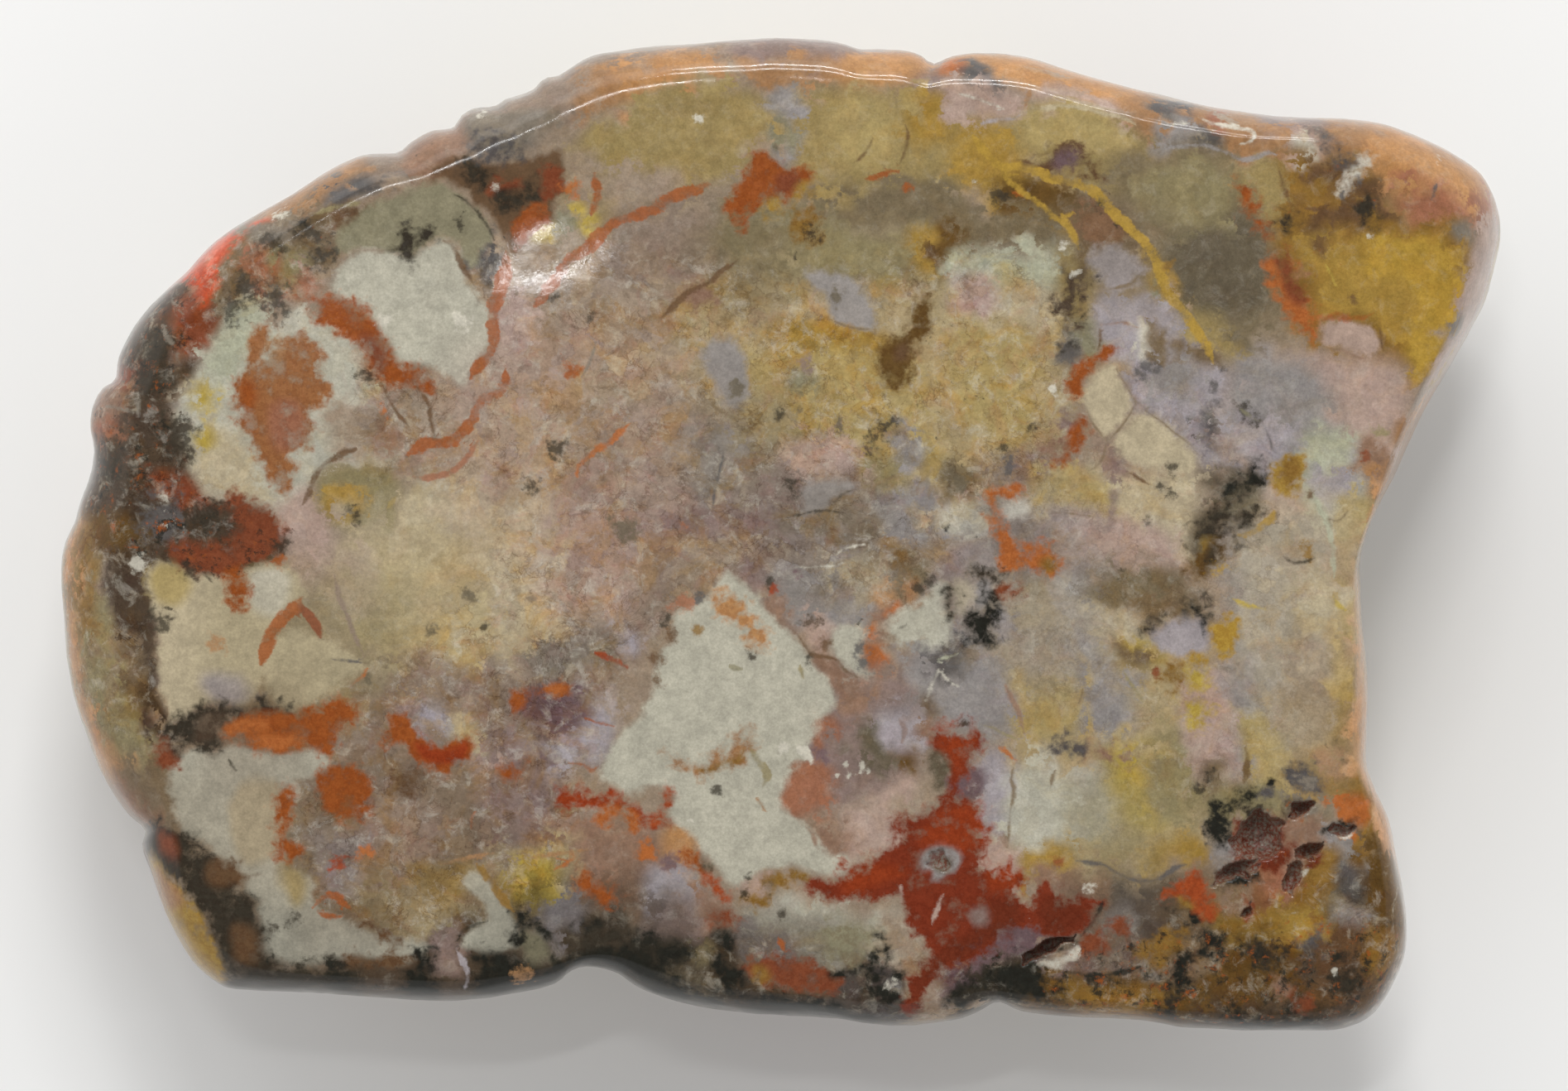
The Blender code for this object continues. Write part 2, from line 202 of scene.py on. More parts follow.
# Where the markings lie: on the back the pattern moves on, and turns back at the limits
DRIFT = (240.0, -130.0)  # how far the pattern has moved at the bottom, in pixels
DRIFT_TOP = 19.0  # height in mm below which it starts to move
DRIFT_WAVER = 110.0
DRIFT_SHRINK = 0.2
FOLD_LOW = (150.0, 130.0)
FOLD_HIGH = (1640.0, 1160.0)
FOLD_MARGIN = 200.0  # the fold lies this much further out at the face's level
FOLD_DEPTH = 0.3
CRISP_REACH = 24.0  # a crisp patch's depth is known this far outside it, in pixels
VEIN_AND_HIGHLIGHT_REACH = 11.0
VEIN_AND_HIGHLIGHT_TAPER = 24.0  # a vein, and a painted highlight line, narrows to nothing over this length at both ends
SOFT = 1.5  # the ground's patches melt into each other over so many times their softness
TONE_SHARE = 0.6  # and how far a broad tone pulls the colours under it
CLOT_TONE_SHARE = 0.35

LIGHT_LEVEL = 1.2  # how bright white paper is under the studio's light

# Colours of the stone, as red, green and blue from 0 to 255
PALETTE = {
    "pale": (188, 184, 166),
    "pale_green": (176, 176, 152),
    "cream": (190, 176, 146),
    "warm_cream": (176, 158, 120),
    "yellow_cream": (176, 156, 104),
    "chalk": (204, 198, 182),
    "sage": (140, 134, 108),
    "khaki": (146, 134, 98),
    "olive": (160, 140, 92),
    "smoky": (124, 110, 85),
    "smoke": (104, 94, 76),
    "drab": (122, 104, 80),
    "umber": (104, 78, 54),
    "peat": (84, 70, 56),
    "bog": (60, 54, 44),
    "black": (40, 40, 34),
    "slate": (92, 88, 86),
    "ash": (132, 122, 108),
    "rust": (156, 84, 38),
    "brick": (134, 74, 48),
    "red": (150, 62, 30),
    "rust_red": (128, 54, 32),
    "ember": (166, 78, 40),
    "oxblood": (112, 50, 30),
    "scarlet": (204, 84, 46),
    "coral": (218, 118, 92),
    "orange": (178, 104, 54),
    "leaf": (158, 106, 66),
    "terracotta": (160, 108, 82),
    "clay": (146, 116, 96),
    "tan": (164, 124, 86),
    "peach": (194, 148, 106),
    "apricot": (188, 140, 92),
    "mustard": (168, 136, 66),
    "gold": (178, 144, 62),
    "ochre": (142, 108, 52),
    "bronze": (104, 78, 40),
    "lemon": (186, 162, 76),
    "lilac": (166, 158, 160),
    "mist": (150, 144, 140),
    "mauve": (140, 120, 112),
    "plum": (114, 92, 94),
    "pink": (180, 156, 142),
    "rose": (166, 134, 118),
    "fawn": (158, 140, 120),
    "taupe": (144, 126, 110),
}

GROUND = (
    # the west end: the dark rim, the ring with the leaf, the cream block and the foot
    ("peat", 8, ((225, 345), (228, 372), (205, 395), (215, 440), (240, 432), (240, 452), (222, 470),
                 (213, 490), (226, 540), (235, 575), (262, 598), (300, 608), (345, 650), (330, 690),
                 (240, 700), (185, 690), (130, 690), (112, 640), (60, 640), (60, 560), (100, 440),
                 (170, 340), (205, 320))),
    ("drab", 8, ((300, 268), (345, 258), (375, 250), (415, 240), (440, 245), (405, 275), (400, 320),
                 (350, 335), (320, 350), (285, 370), (262, 395), (240, 400), (245, 350), (270, 315))),
    ("khaki", 8, ((335, 310), (365, 305), (372, 325), (350, 338), (332, 328))),
    ("tan", 7, ((295, 250), (420, 170), (520, 150), (510, 190), (450, 205), (415, 218), (385, 245),
                (340, 265), (305, 272))),
    ("ash", 6, ((305, 272), (350, 266), (358, 285), (330, 298), (305, 296))),
    ("slate", 6, ((385, 250), (405, 225), (428, 213), (450, 203), (505, 196), (520, 212), (470, 226),
                  (430, 240), (405, 248))),
    ("umber", 8, ((400, 262), (425, 250), (470, 250), (465, 275), (440, 290), (412, 282))),
    ("brick", 9, ((212, 370), (240, 360), (262, 375), (252, 405), (240, 432), (215, 432), (202, 400))),
    ("terracotta", 8, ((300, 315), (330, 308), (335, 330), (315, 345), (295, 335))),
    ("terracotta", 7, ((350, 340), (375, 335), (390, 350), (375, 362), (352, 358))),
    ("scarlet", 4, ((302, 262), (285, 268), (250, 292), (225, 318), (214, 330), (232, 345), (240, 368),
                    (255, 358), (258, 335), (272, 315), (290, 295), (298, 278))),
    ("coral", 6, ((296, 262), (250, 288), (222, 320), (234, 330), (252, 312), (275, 290))),
    ("brick", 8, ((185, 575), (240, 580), (262, 600), (250, 615), (205, 600), (180, 590))),
    ("clay", 5, ((140, 455), (115, 465), (100, 500), (100, 535), (118, 530), (135, 505), (150, 490),
                 (150, 470))),
    ("terracotta", 5, ((132, 505), (112, 510), (108, 528), (130, 524), (142, 515))),
    ("brick", 4, ((140, 440), (158, 440), (160, 468), (142, 468))),
    ("bronze", 9, ((100, 618), (150, 622), (172, 640), (150, 665), (95, 660))),
    ("khaki", 6, ((60, 640), (105, 640), (116, 660), (118, 700), (128, 722), (140, 750), (138, 790),
                  (150, 830), (172, 850), (180, 880), (190, 905), (182, 935), (120, 930), (60, 800))),
    ("apricot", 6, ((102, 635), (88, 680), (92, 760), (104, 830), (122, 885), (152, 925), (165, 945),
                    (140, 960), (60, 860), (50, 640))),
    ("ochre", 7, ((102, 640), (112, 700), (110, 745), (96, 745), (92, 700), (96, 650))),
    ("ochre", 6, ((100, 745), (118, 750), (116, 775), (104, 778))),
    ("drab", 6, ((150, 775), (172, 780), (168, 850), (152, 846), (142, 810))),
    ("peat", 5, ((135, 690), (182, 690), (186, 745), (192, 800), (196, 850), (204, 885), (192, 895),
                 (180, 885), (172, 855), (176, 810), (172, 775), (150, 768), (138, 748), (130, 722))),
    ("drab", 8, ((150, 920), (200, 915), (212, 960), (205, 1000), (170, 1000), (145, 965))),
    ("terracotta", 7, ((130, 940), (150, 945), (185, 995), (172, 1010), (150, 985))),
    # the ring of pale stone round the leaf
    ("pale", 6, ((246, 420), (262, 395), (285, 368), (310, 352), (322, 362), (335, 386), (362, 376),
                 (385, 388), (420, 402), (448, 445), (470, 480), (520, 500), (520, 535), (490, 548),
                 (460, 560), (425, 560), (385, 570), (368, 600), (350, 622), (310, 612), (262, 598),
                 (236, 575), (228, 540), (216, 492), (232, 465), (246, 445))),
    ("pale_green", 10, ((250, 420), (285, 375), (312, 358), (318, 390), (298, 420), (290, 455),
                        (262, 460))),
    ("cream", 9, ((235, 575), (232, 548), (262, 500), (290, 540), (320, 600), (290, 605))),
    ("lemon", 8, ((243, 465), (256, 462), (258, 492), (240, 495), (232, 485))),
    ("lemon", 7, ((236, 510), (252, 512), (256, 540), (246, 548), (237, 535))),
    ("fawn", 12, ((400, 500), (450, 478), (520, 490), (528, 530), (488, 550), (440, 548), (400, 545))),
    ("clay", 9, ((455, 512), (495, 508), (500, 528), (465, 530))),
    ("pink", 12, ((330, 610), (380, 590), (400, 640), (395, 700), (370, 720), (345, 690), (340, 650))),
    ("khaki", 9, ((385, 575), (430, 560), (470, 565), (475, 620), (430, 640), (395, 625))),
    ("mustard", 7, ((395, 592), (425, 590), (436, 612), (415, 630), (396, 615))),
    # west of the middle: the scalloped rim, the brown block, the upper island, the cream field
    ("taupe", 8, ((440, 170), (560, 120), (640, 80), (740, 40), (900, 40), (880, 72), (800, 82),
                  (745, 110), (690, 150), (640, 178), (600, 195), (520, 212), (450, 212))),
    ("clay", 7, ((490, 185), (505, 160), (560, 140), (600, 150), (590, 180), (545, 195), (505, 205))),
    ("ash", 7, ((560, 150), (640, 130), (680, 140), (640, 175), (600, 190), (570, 180))),
    ("clay", 6, ((485, 190), (550, 185), (545, 212), (490, 215))),
    # the apricot and tan below: the top rim's tan skin, lighter in part as painted light where its shoulder
    # faces the lamps
    ("apricot", 8, ((725, 95), (760, 78), (810, 66), (860, 64), (885, 85), (820, 100), (760, 122),
                    (735, 122))),
    ("tan", 8, ((700, 90), (740, 90), (745, 120), (705, 135))),
    ("olive", 10, ((690, 180), (745, 135), (800, 105), (880, 105), (935, 128), (925, 170), (900, 205),
                   (860, 220), (800, 245), (740, 262), (700, 285), (680, 260), (678, 210))),
    ("fawn", 10, ((720, 220), (760, 200), (800, 215), (840, 215), (790, 245), (740, 260))),
    ("fawn", 9, ((680, 190), (712, 185), (715, 260), (690, 285), (672, 270), (684, 240))),
    ("sage", 6, ((672, 262), (700, 255), (702, 280), (680, 292), (665, 290))),
    ("lemon", 4, ((640, 286), (664, 266), (674, 278), (655, 293))),
    ("lemon", 4, ((700, 262), (716, 258), (722, 272), (704, 278))),
    ("fawn", 9, ((620, 345), (660, 315), (720, 285), (770, 275), (860, 235), (890, 250), (880, 300),
                 (830, 350), (780, 390), (700, 400), (620, 420), (608, 380))),
    ("taupe", 14, ((720, 290), (850, 240), (885, 270), (860, 320), (800, 350), (730, 340))),
    ("slate", 5, ((590, 275), (603, 300), (612, 318), (606, 336), (590, 346), (576, 330), (582, 300))),
    ("pink", 10, ((600, 360), (640, 365), (650, 400), (640, 450), (615, 450), (600, 420))),
    ("fawn", 10, ((610, 440), (700, 420), (800, 380), (860, 400), (850, 560), (780, 640), (700, 640),
                  (690, 560), (640, 480))),
    ("yellow_cream", 12, ((700, 460), (760, 430), (800, 430), (790, 480), (730, 500))),
    ("mauve", 12, ((660, 555), (720, 500), (780, 500), (820, 560), (800, 640), (740, 660), (690, 640))),
    ("warm_cream", 7, ((600, 490), (645, 476), (685, 500), (704, 540), (690, 600), (672, 650),
                       (680, 700), (692, 725), (684, 765), (655, 792), (600, 798), (520, 800),
                       (448, 800), (430, 775), (408, 700), (412, 655), (455, 640), (480, 620),
                       (498, 590), (560, 560), (582, 530))),
    ("cream", 9, ((500, 592), (560, 575), (605, 570), (600, 605), (560, 632), (505, 632), (480, 618))),
    ("cream", 10, ((610, 660), (672, 660), (690, 730), (660, 785), (610, 780))),
    ("yellow_cream", 14, ((450, 670), (520, 660), (590, 660), (600, 720), (580, 790), (450, 790))),
    ("mustard", 12, ((520, 685), (575, 668), (585, 700), (545, 715))),
    ("yellow_cream", 8, ((460, 715), (490, 715), (488, 790), (455, 790))),
    ("pink", 9, ((418, 662), (446, 668), (444, 745), (425, 740))),
    ("fawn", 6, ((612, 545), (624, 550), (618, 580), (606, 605), (580, 628), (548, 645), (540, 638),
                 (575, 616), (600, 590))),
    # below the cream field
    ("taupe", 10, ((430, 802), (620, 800), (680, 780), (720, 700), (700, 640), (740, 640), (800, 660),
                   (790, 760), (740, 830), (640, 860), (600, 1040), (440, 1060), (380, 1000),
                   (400, 900), (430, 860))),
    ("clay", 9, ((672, 655), (720, 648), (728, 690), (700, 705), (680, 700))),
    ("pink", 9, ((722, 700), (745, 680), (762, 720), (745, 762), (725, 750))),
    ("ash", 9, ((682, 725), (715, 720), (720, 758), (690, 762))),
    ("ash", 8, ((700, 765), (748, 756), (745, 792), (705, 800), (650, 812), (640, 798))),
    ("lilac", 7, ((744, 766), (768, 762), (772, 785), (750, 790))),
    ("lilac", 10, ((640, 885), (690, 880), (735, 845), (745, 880), (720, 925), (680, 920), (650, 905))),
    ("plum", 9, ((622, 850), (642, 832), (690, 832), (714, 846), (712, 866), (690, 886), (650, 888),
                 (632, 872))),
    ("mauve", 12, ((600, 880), (650, 900), (680, 925), (660, 1000), (640, 1040), (590, 1030),
                   (575, 950))),
    ("lilac", 9, ((500, 856), (530, 850), (548, 878), (525, 892), (505, 884))),
    ("cream", 8, ((545, 862), (570, 860), (575, 885), (550, 888))),
    ("pink", 8, ((572, 905), (590, 900), (592, 930), (575, 932))),
    ("pink", 14, ((445, 960), (500, 955), (540, 1000), (520, 1050), (450, 1060), (430, 1010))),
    ("lilac", 10, ((375, 1010), (430, 1010), (450, 1060), (420, 1085), (385, 1062))),
    ("clay", 12, ((640, 1000), (720, 990), (800, 1010), (820, 1080), (760, 1100), (690, 1080),
                  (650, 1040))),
    ("warm_cream", 9, ((430, 1075), (510, 1050), (600, 1032), (700, 1030), (690, 1060), (660, 1100),
                       (560, 1120), (500, 1140), (440, 1110))),
    ("mustard", 7, ((508, 1062), (535, 1050), (575, 1040), (562, 1062), (558, 1085), (540, 1096),
                    (516, 1090))),
    ("lemon", 8, ((612, 1042), (662, 1040), (672, 1060), (662, 1092), (640, 1100), (618, 1085),
                  (606, 1062))),
    ("lilac", 8, ((662, 1085), (702, 1078), (712, 1110), (695, 1148), (672, 1150))),
    # the peat below darkens the face along the bottom edge: partly painted shade where the rim turns away
    # from the light
    ("peat", 6, ((440, 1165), (500, 1148), (560, 1110), (580, 1120), (620, 1150), (690, 1150),
                 (700, 1110), (760, 1110), (820, 1130), (850, 1260), (430, 1230))),
    ("mauve", 7, ((560, 1112), (525, 1140), (520, 1170), (560, 1175), (556, 1140))),
    # the middle: the olive top, the mustard and lilac centre, the great pale island
    ("mauve", 6, ((880, 40), (1160, 40), (1160, 82), (1130, 84), (1010, 84), (960, 72), (895, 70))),
    # the tan and apricot below: the top rim's skin, lighter in part as painted light where its shoulder
    # faces the lamps
    ("tan", 7, ((905, 78), (960, 70), (1010, 76), (1000, 100), (960, 100), (925, 110))),
    ("apricot", 8, ((1000, 74), (1060, 66), (1120, 66), (1128, 92), (1100, 104), (1010, 98))),
    ("mauve", 7, ((1112, 92), (1150, 88), (1160, 130), (1118, 122))),
    ("olive", 12, ((935, 130), (1000, 105), (1080, 115), (1150, 135), (1160, 240), (1000, 235),
                   (960, 190))),
    ("yellow_cream", 10, ((1000, 130), (1080, 130), (1085, 190), (1010, 200))),
    ("mustard", 9, ((1096, 125), (1140, 118), (1150, 165), (1105, 168))),
    ("mist", 6, ((925, 118), (965, 104), (976, 115), (970, 130), (958, 142), (960, 185), (948, 195),
                 (932, 166), (936, 146))),
    ("sage", 5, ((934, 140), (950, 144), (952, 176), (938, 178))),
    ("smoky", 9, ((975, 240), (1035, 226), (1160, 230), (1160, 275), (1100, 276), (1035, 278),
                  (985, 268))),
    ("khaki", 12, ((868, 262), (960, 250), (1050, 280), (1160, 272), (1160, 340), (1040, 345),
                   (900, 335), (865, 300))),
    ("mustard", 8, ((1102, 276), (1155, 272), (1160, 335), (1108, 332))),
    ("umber", 7, ((1118, 292), (1140, 294), (1138, 318), (1120, 316))),
    ("warm_cream", 14, ((815, 360), (880, 335), (960, 335), (1060, 350), (1160, 345), (1160, 580),
                        (1040, 585), (960, 560), (900, 540), (830, 480))),
    ("cream", 10, ((935, 362), (980, 362), (982, 388), (940, 388))),
    ("mustard", 11, ((938, 388), (1000, 385), (1060, 398), (1065, 440), (1000, 446), (940, 436))),
    ("yellow_cream", 12, ((900, 445), (1100, 440), (1160, 480), (1150, 560), (1040, 560), (930, 555))),
    ("sage", 8, ((955, 452), (985, 452), (985, 478), (958, 478))),
    ("mist", 7, ((1084, 515), (1102, 515), (1102, 566), (1084, 566))),
    ("pink", 8, ((935, 548), (1040, 548), (1045, 580), (940, 584))),
    ("khaki", 8, ((1048, 556), (1085, 556), (1088, 592), (1050, 592))),
    ("mauve", 11, ((780, 560), (830, 560), (880, 600), (960, 560), (955, 640), (860, 660), (780, 660))),
    ("mist", 7, ((825, 506), (850, 514), (876, 524), (880, 560), (870, 592), (862, 612), (845, 606),
                 (828, 590), (816, 568), (820, 550), (842, 544), (828, 530))),
    ("mist", 8, ((1038, 612), (1090, 590), (1118, 580), (1135, 612), (1132, 654), (1088, 664),
                 (1062, 642))),
    ("drab", 7, ((940, 632), (1000, 624), (1034, 628), (1062, 646), (1060, 662), (1005, 662),
                 (950, 656))),
    ("bronze", 6, ((1034, 630), (1058, 634), (1060, 658), (1036, 652))),
    ("chalk", 7, ((1134, 616), (1162, 614), (1162, 650), (1136, 648))),
    ("smoky", 8, ((1142, 560), (1166, 560), (1166, 592), (1144, 592))),
    # between the centre and the great island
    ("mauve", 10, ((895, 690), (960, 640), (1020, 660), (1000, 720), (960, 760), (930, 740))),
    ("clay", 6, ((925, 728), (950, 722), (968, 750), (962, 768), (945, 758))),
    ("lilac", 9, ((955, 668), (1005, 655), (1030, 662), (1028, 700), (960, 702))),
    ("mist", 11, ((945, 705), (1050, 700), (1052, 756), (1005, 762), (955, 752))),
    ("cream", 10, ((1020, 676), (1062, 672), (1070, 725), (1028, 728))),
    ("ochre", 6, ((1072, 662), (1096, 660), (1096, 680), (1074, 682))),
    ("smoky", 8, ((1082, 684), (1122, 682), (1128, 712), (1118, 735), (1090, 735))),
    ("tan", 6, ((1098, 712), (1118, 712), (1116, 736), (1100, 736))),
    ("apricot", 7, ((1056, 712), (1080, 712), (1080, 736), (1058, 738))),
    ("clay", 6, ((1060, 742), (1076, 728), (1088, 734), (1076, 760), (1064, 780), (1052, 778))),
    ("orange", 4, ((1072, 742), (1084, 736), (1088, 744), (1078, 754), (1070, 752))),
    ("pink", 7, ((972, 750), (1000, 752), (1002, 788), (982, 784))),
    ("orange", 6, ((1046, 784), (1068, 782), (1070, 802), (1052, 812))),
    ("mauve", 14, ((1000, 800), (1060, 810), (1130, 780), (1140, 880), (1060, 960), (960, 960),
                   (985, 870))),
    ("clay", 7, ((984, 792), (1006, 790), (1028, 812), (1048, 822), (1046, 852), (1036, 872),
                 (1016, 842), (996, 822))),
    ("terracotta", 7, ((985, 866), (1008, 868), (1018, 890), (1004, 906), (984, 900))),
    ("terracotta", 8, ((955, 925), (1000, 915), (1010, 940), (990, 975), (950, 990), (944, 965))),
    ("smoke", 8, ((1040, 880), (1068, 880), (1066, 935), (1042, 930))),
    ("bronze", 6, ((1082, 916), (1104, 916), (1104, 936), (1084, 936))),
    ("lilac", 9, ((1062, 862), (1095, 856), (1112, 900), (1072, 905))),
    ("pink", 12, ((1000, 1000), (1060, 960), (1100, 940), (1100, 985), (1075, 1020), (1040, 1040),
                  (1000, 1030))),
    ("clay", 9, ((985, 990), (1030, 1000), (1030, 1030), (998, 1034), (982, 1010))),
    ("mist", 10, ((1100, 790), (1165, 780), (1165, 860), (1120, 870), (1096, 840))),
    ("slate", 6, ((1124, 774), (1165, 774), (1165, 802), (1130, 800))),
    ("bronze", 6, ((1112, 842), (1134, 840), (1134, 872), (1116, 872))),
    ("clay", 7, ((1108, 868), (1136, 868), (1134, 890), (1110, 890))),
    # below the great island
    ("apricot", 7, ((802, 1004), (826, 996), (842, 1020), (838, 1042), (810, 1044), (800, 1025))),
    ("lilac", 10, ((780, 1058), (830, 1050), (845, 1090), (820, 1105), (782, 1100))),
    ("mauve", 11, ((780, 1098), (850, 1098), (862, 1135), (820, 1142), (785, 1130))),
    ("clay", 7, ((842, 1076), (872, 1084), (892, 1104), (880, 1118), (850, 1112))),
    ("pink", 7, ((900, 1062), (928, 1060), (930, 1084), (905, 1086))),
    ("pale", 9, ((884, 1108), (930, 1092), (965, 1076), (1010, 1094), (1045, 1114), (1065, 1105),
                 (1100, 1120), (1090, 1160), (1050, 1150), (1010, 1172), (950, 1146), (900, 1124))),
    ("mist", 7, ((888, 1124), (912, 1118), (936, 1126), (958, 1150), (958, 1164), (915, 1164),
                 (892, 1148))),
    # the bog below darkens the face along the bottom edge: partly painted shade where the rim turns away
    # from the light
    ("bog", 8, ((780, 1125), (830, 1128), (870, 1112), (892, 1140), (900, 1170), (1000, 1204),
                (1060, 1190), (1100, 1230), (1080, 1260), (780, 1260))),
    ("smoke", 6, ((800, 1172), (850, 1176), (880, 1208), (820, 1204))),
    ("khaki", 5, ((828, 1146), (846, 1130), (862, 1138), (864, 1158), (850, 1172), (834, 1164))),
    ("slate", 6, ((1000, 1180), (1052, 1166), (1090, 1182), (1086, 1206), (1090, 1232), (1040, 1230),
                  (1010, 1210))),
    ("fawn", 8, ((1062, 1108), (1105, 1122), (1100, 1160), (1070, 1150))),
    # the upper east: the gold arc, the lilac field and the rust veins
    # the apricot down to the second pink: the top rim's skin, lighter in part as painted light where its
    # shoulder faces the lamps; the second pink follows the painted highlight lines
    ("apricot", 7, ((1140, 66), (1180, 60), (1260, 72), (1360, 98), (1380, 112), (1360, 140),
                    (1250, 118), (1230, 104), (1180, 84), (1140, 92))),
    ("orange", 4, ((1136, 78), (1164, 74), (1172, 86), (1150, 92), (1136, 90))),
    ("slate", 6, ((1160, 84), (1190, 82), (1206, 90), (1204, 116), (1186, 112), (1168, 100))),
    ("pink", 8, ((1142, 100), (1170, 104), (1235, 118), (1240, 140), (1200, 150), (1150, 140))),
    ("pink", 6, ((1246, 106), (1300, 108), (1350, 124), (1372, 150), (1340, 144), (1290, 130),
                 (1246, 130))),
    ("olive", 10, ((1150, 150), (1230, 146), (1245, 134), (1300, 132), (1370, 150), (1400, 176),
                   (1500, 190), (1545, 194), (1530, 230), (1400, 235), (1340, 240), (1250, 200),
                   (1150, 200))),
    ("yellow_cream", 10, ((1230, 142), (1340, 140), (1350, 170), (1250, 176))),
    ("tan", 7, ((1370, 110), (1400, 116), (1402, 160), (1385, 165), (1370, 145))),
    ("slate", 5, ((1404, 124), (1440, 126), (1442, 150), (1410, 150))),
    ("mist", 5, ((1396, 148), (1440, 146), (1444, 170), (1398, 172))),
    ("slate", 5, ((1436, 155), (1486, 155), (1486, 174), (1440, 172))),
    ("tan", 5, ((1440, 128), (1480, 134), (1530, 142), (1532, 180), (1480, 178), (1478, 150),
                (1442, 148))),
    ("terracotta", 4, ((1464, 134), (1480, 134), (1482, 158), (1466, 158))),
    ("smoky", 14, ((1340, 206), (1500, 196), (1530, 260), (1545, 300), (1545, 410), (1490, 450),
                   (1440, 400), (1400, 330), (1360, 260))),
    ("smoke", 14, ((1400, 282), (1520, 275), (1530, 370), (1440, 380), (1410, 330))),
    ("khaki", 12, ((1370, 225), (1490, 215), (1490, 262), (1385, 262))),
    ("olive", 9, ((1425, 370), (1470, 380), (1500, 430), (1480, 455), (1460, 430), (1436, 396))),
    ("mustard", 10, ((1150, 160), (1205, 150), (1240, 200), (1290, 230), (1300, 270), (1260, 275),
                     (1180, 230), (1150, 210))),
    ("bronze", 9, ((1200, 220), (1240, 214), (1300, 225), (1320, 245), (1300, 262), (1240, 256),
                   (1205, 245))),
    ("smoky", 9, ((1150, 262), (1220, 246), (1290, 274), (1300, 300), (1230, 300), (1150, 302))),
    ("bronze", 8, ((1140, 262), (1168, 270), (1170, 320), (1140, 330))),
    ("pale_green", 10, ((1150, 308), (1230, 306), (1290, 300), (1296, 345), (1230, 352), (1150, 350))),
    ("olive", 7, ((1284, 290), (1318, 300), (1326, 360), (1330, 392), (1300, 392), (1270, 380),
                  (1280, 330))),
    ("umber", 8, ((1300, 250), (1345, 246), (1380, 300), (1392, 318), (1372, 316), (1350, 296),
                  (1325, 300), (1312, 330), (1302, 300))),
    ("brick", 7, ((1308, 262), (1352, 266), (1352, 290), (1312, 290))),
    ("mustard", 6, ((1384, 318), (1408, 318), (1424, 352), (1416, 368), (1392, 358))),
    ("cream", 12, ((1150, 350), (1230, 345), (1280, 352), (1280, 400), (1160, 408))),
    ("warm_cream", 12, ((1150, 400), (1270, 396), (1290, 450), (1280, 545), (1230, 560),
                        (1150, 545))),
    ("yellow_cream", 10, ((1160, 400), (1240, 400), (1260, 470), (1220, 540), (1160, 500))),
    ("pink", 8, ((1150, 340), (1200, 340), (1205, 372), (1152, 372))),
    ("mauve", 9, ((1225, 552), (1262, 545), (1280, 575), (1262, 596), (1226, 592))),
    ("smoky", 7, ((1146, 556), (1180, 556), (1190, 592), (1150, 600))),
    ("sage", 6, ((1280, 396), (1326, 384), (1326, 426), (1302, 442), (1292, 416))),
    ("lilac", 9, ((1328, 360), (1350, 352), (1395, 354), (1420, 372), (1446, 408), (1482, 440),
                  (1496, 470), (1540, 500), (1540, 566), (1480, 572), (1440, 548), (1400, 506),
                  (1376, 494), (1372, 474), (1350, 446), (1330, 402))),
    ("mist", 8, ((1400, 420), (1440, 436), (1440, 470), (1402, 470))),
    ("chalk", 8, ((1368, 398), (1384, 402), (1384, 430), (1366, 430))),
    ("drab", 6, ((1380, 402), (1408, 400), (1432, 408), (1430, 422), (1388, 420))),
    ("drab", 6, ((1436, 420), (1470, 424), (1482, 446), (1462, 446), (1438, 436))),
    ("slate", 9, ((1450, 500), (1490, 510), (1500, 548), (1462, 540))),
    ("cream", 10, ((1320, 560), (1400, 566), (1440, 560), (1450, 600), (1440, 660), (1360, 650),
                   (1310, 620))),
    ("mauve", 9, ((1342, 536), (1360, 548), (1362, 580), (1346, 588), (1336, 560))),
    ("yellow_cream", 10, ((1240, 590), (1330, 576), (1345, 620), (1300, 625), (1245, 620))),
    ("pink", 8, ((1255, 624), (1330, 628), (1332, 660), (1262, 660))),
    ("pale", 7, ((1150, 612), (1192, 606), (1198, 632), (1160, 650), (1148, 645))),
    ("umber", 9, ((1206, 636), (1262, 628), (1282, 662), (1274, 690), (1222, 690), (1200, 665))),
    ("smoke", 8, ((1450, 572), (1480, 560), (1530, 548), (1545, 590), (1530, 640), (1500, 680),
                  (1460, 690), (1440, 660), (1456, 620), (1480, 604))),
    # the lower east: the cream block, the red band, the pits and the dark foot
    ("warm_cream", 12, ((1200, 720), (1300, 740), (1400, 770), (1460, 800), (1470, 960), (1460, 1010),
                        (1400, 1030), (1240, 1040), (1222, 1000), (1228, 900), (1200, 800))),
    ("mauve", 8, ((1140, 664), (1200, 662), (1206, 690), (1180, 690), (1140, 700))),
    ("pink", 10, ((1270, 650), (1420, 655), (1430, 690), (1300, 700), (1275, 690))),
    ("smoky", 10, ((1300, 690), (1360, 682), (1440, 700), (1440, 745), (1370, 735), (1300, 735))),
    ("drab", 7, ((1380, 716), (1400, 724), (1430, 708), (1442, 728), (1420, 746), (1390, 752))),
    ("yellow_cream", 8, ((1228, 700), (1262, 700), (1270, 745), (1232, 740))),
    ("chalk", 7, ((1278, 700), (1300, 700), (1302, 722), (1282, 724))),
    ("lilac", 6, ((1200, 742), (1222, 738), (1232, 756), (1214, 768), (1198, 760))),
    ("cream", 10, ((1290, 738), (1370, 740), (1375, 765), (1300, 770))),
    ("lemon", 8, ((1355, 775), (1400, 785), (1405, 800), (1360, 792))),
    ("drab", 6, ((1335, 766), (1352, 776), (1400, 796), (1392, 804), (1350, 792))),
    ("mist", 12, ((1140, 760), (1200, 790), (1222, 830), (1235, 880), (1180, 890), (1140, 880))),
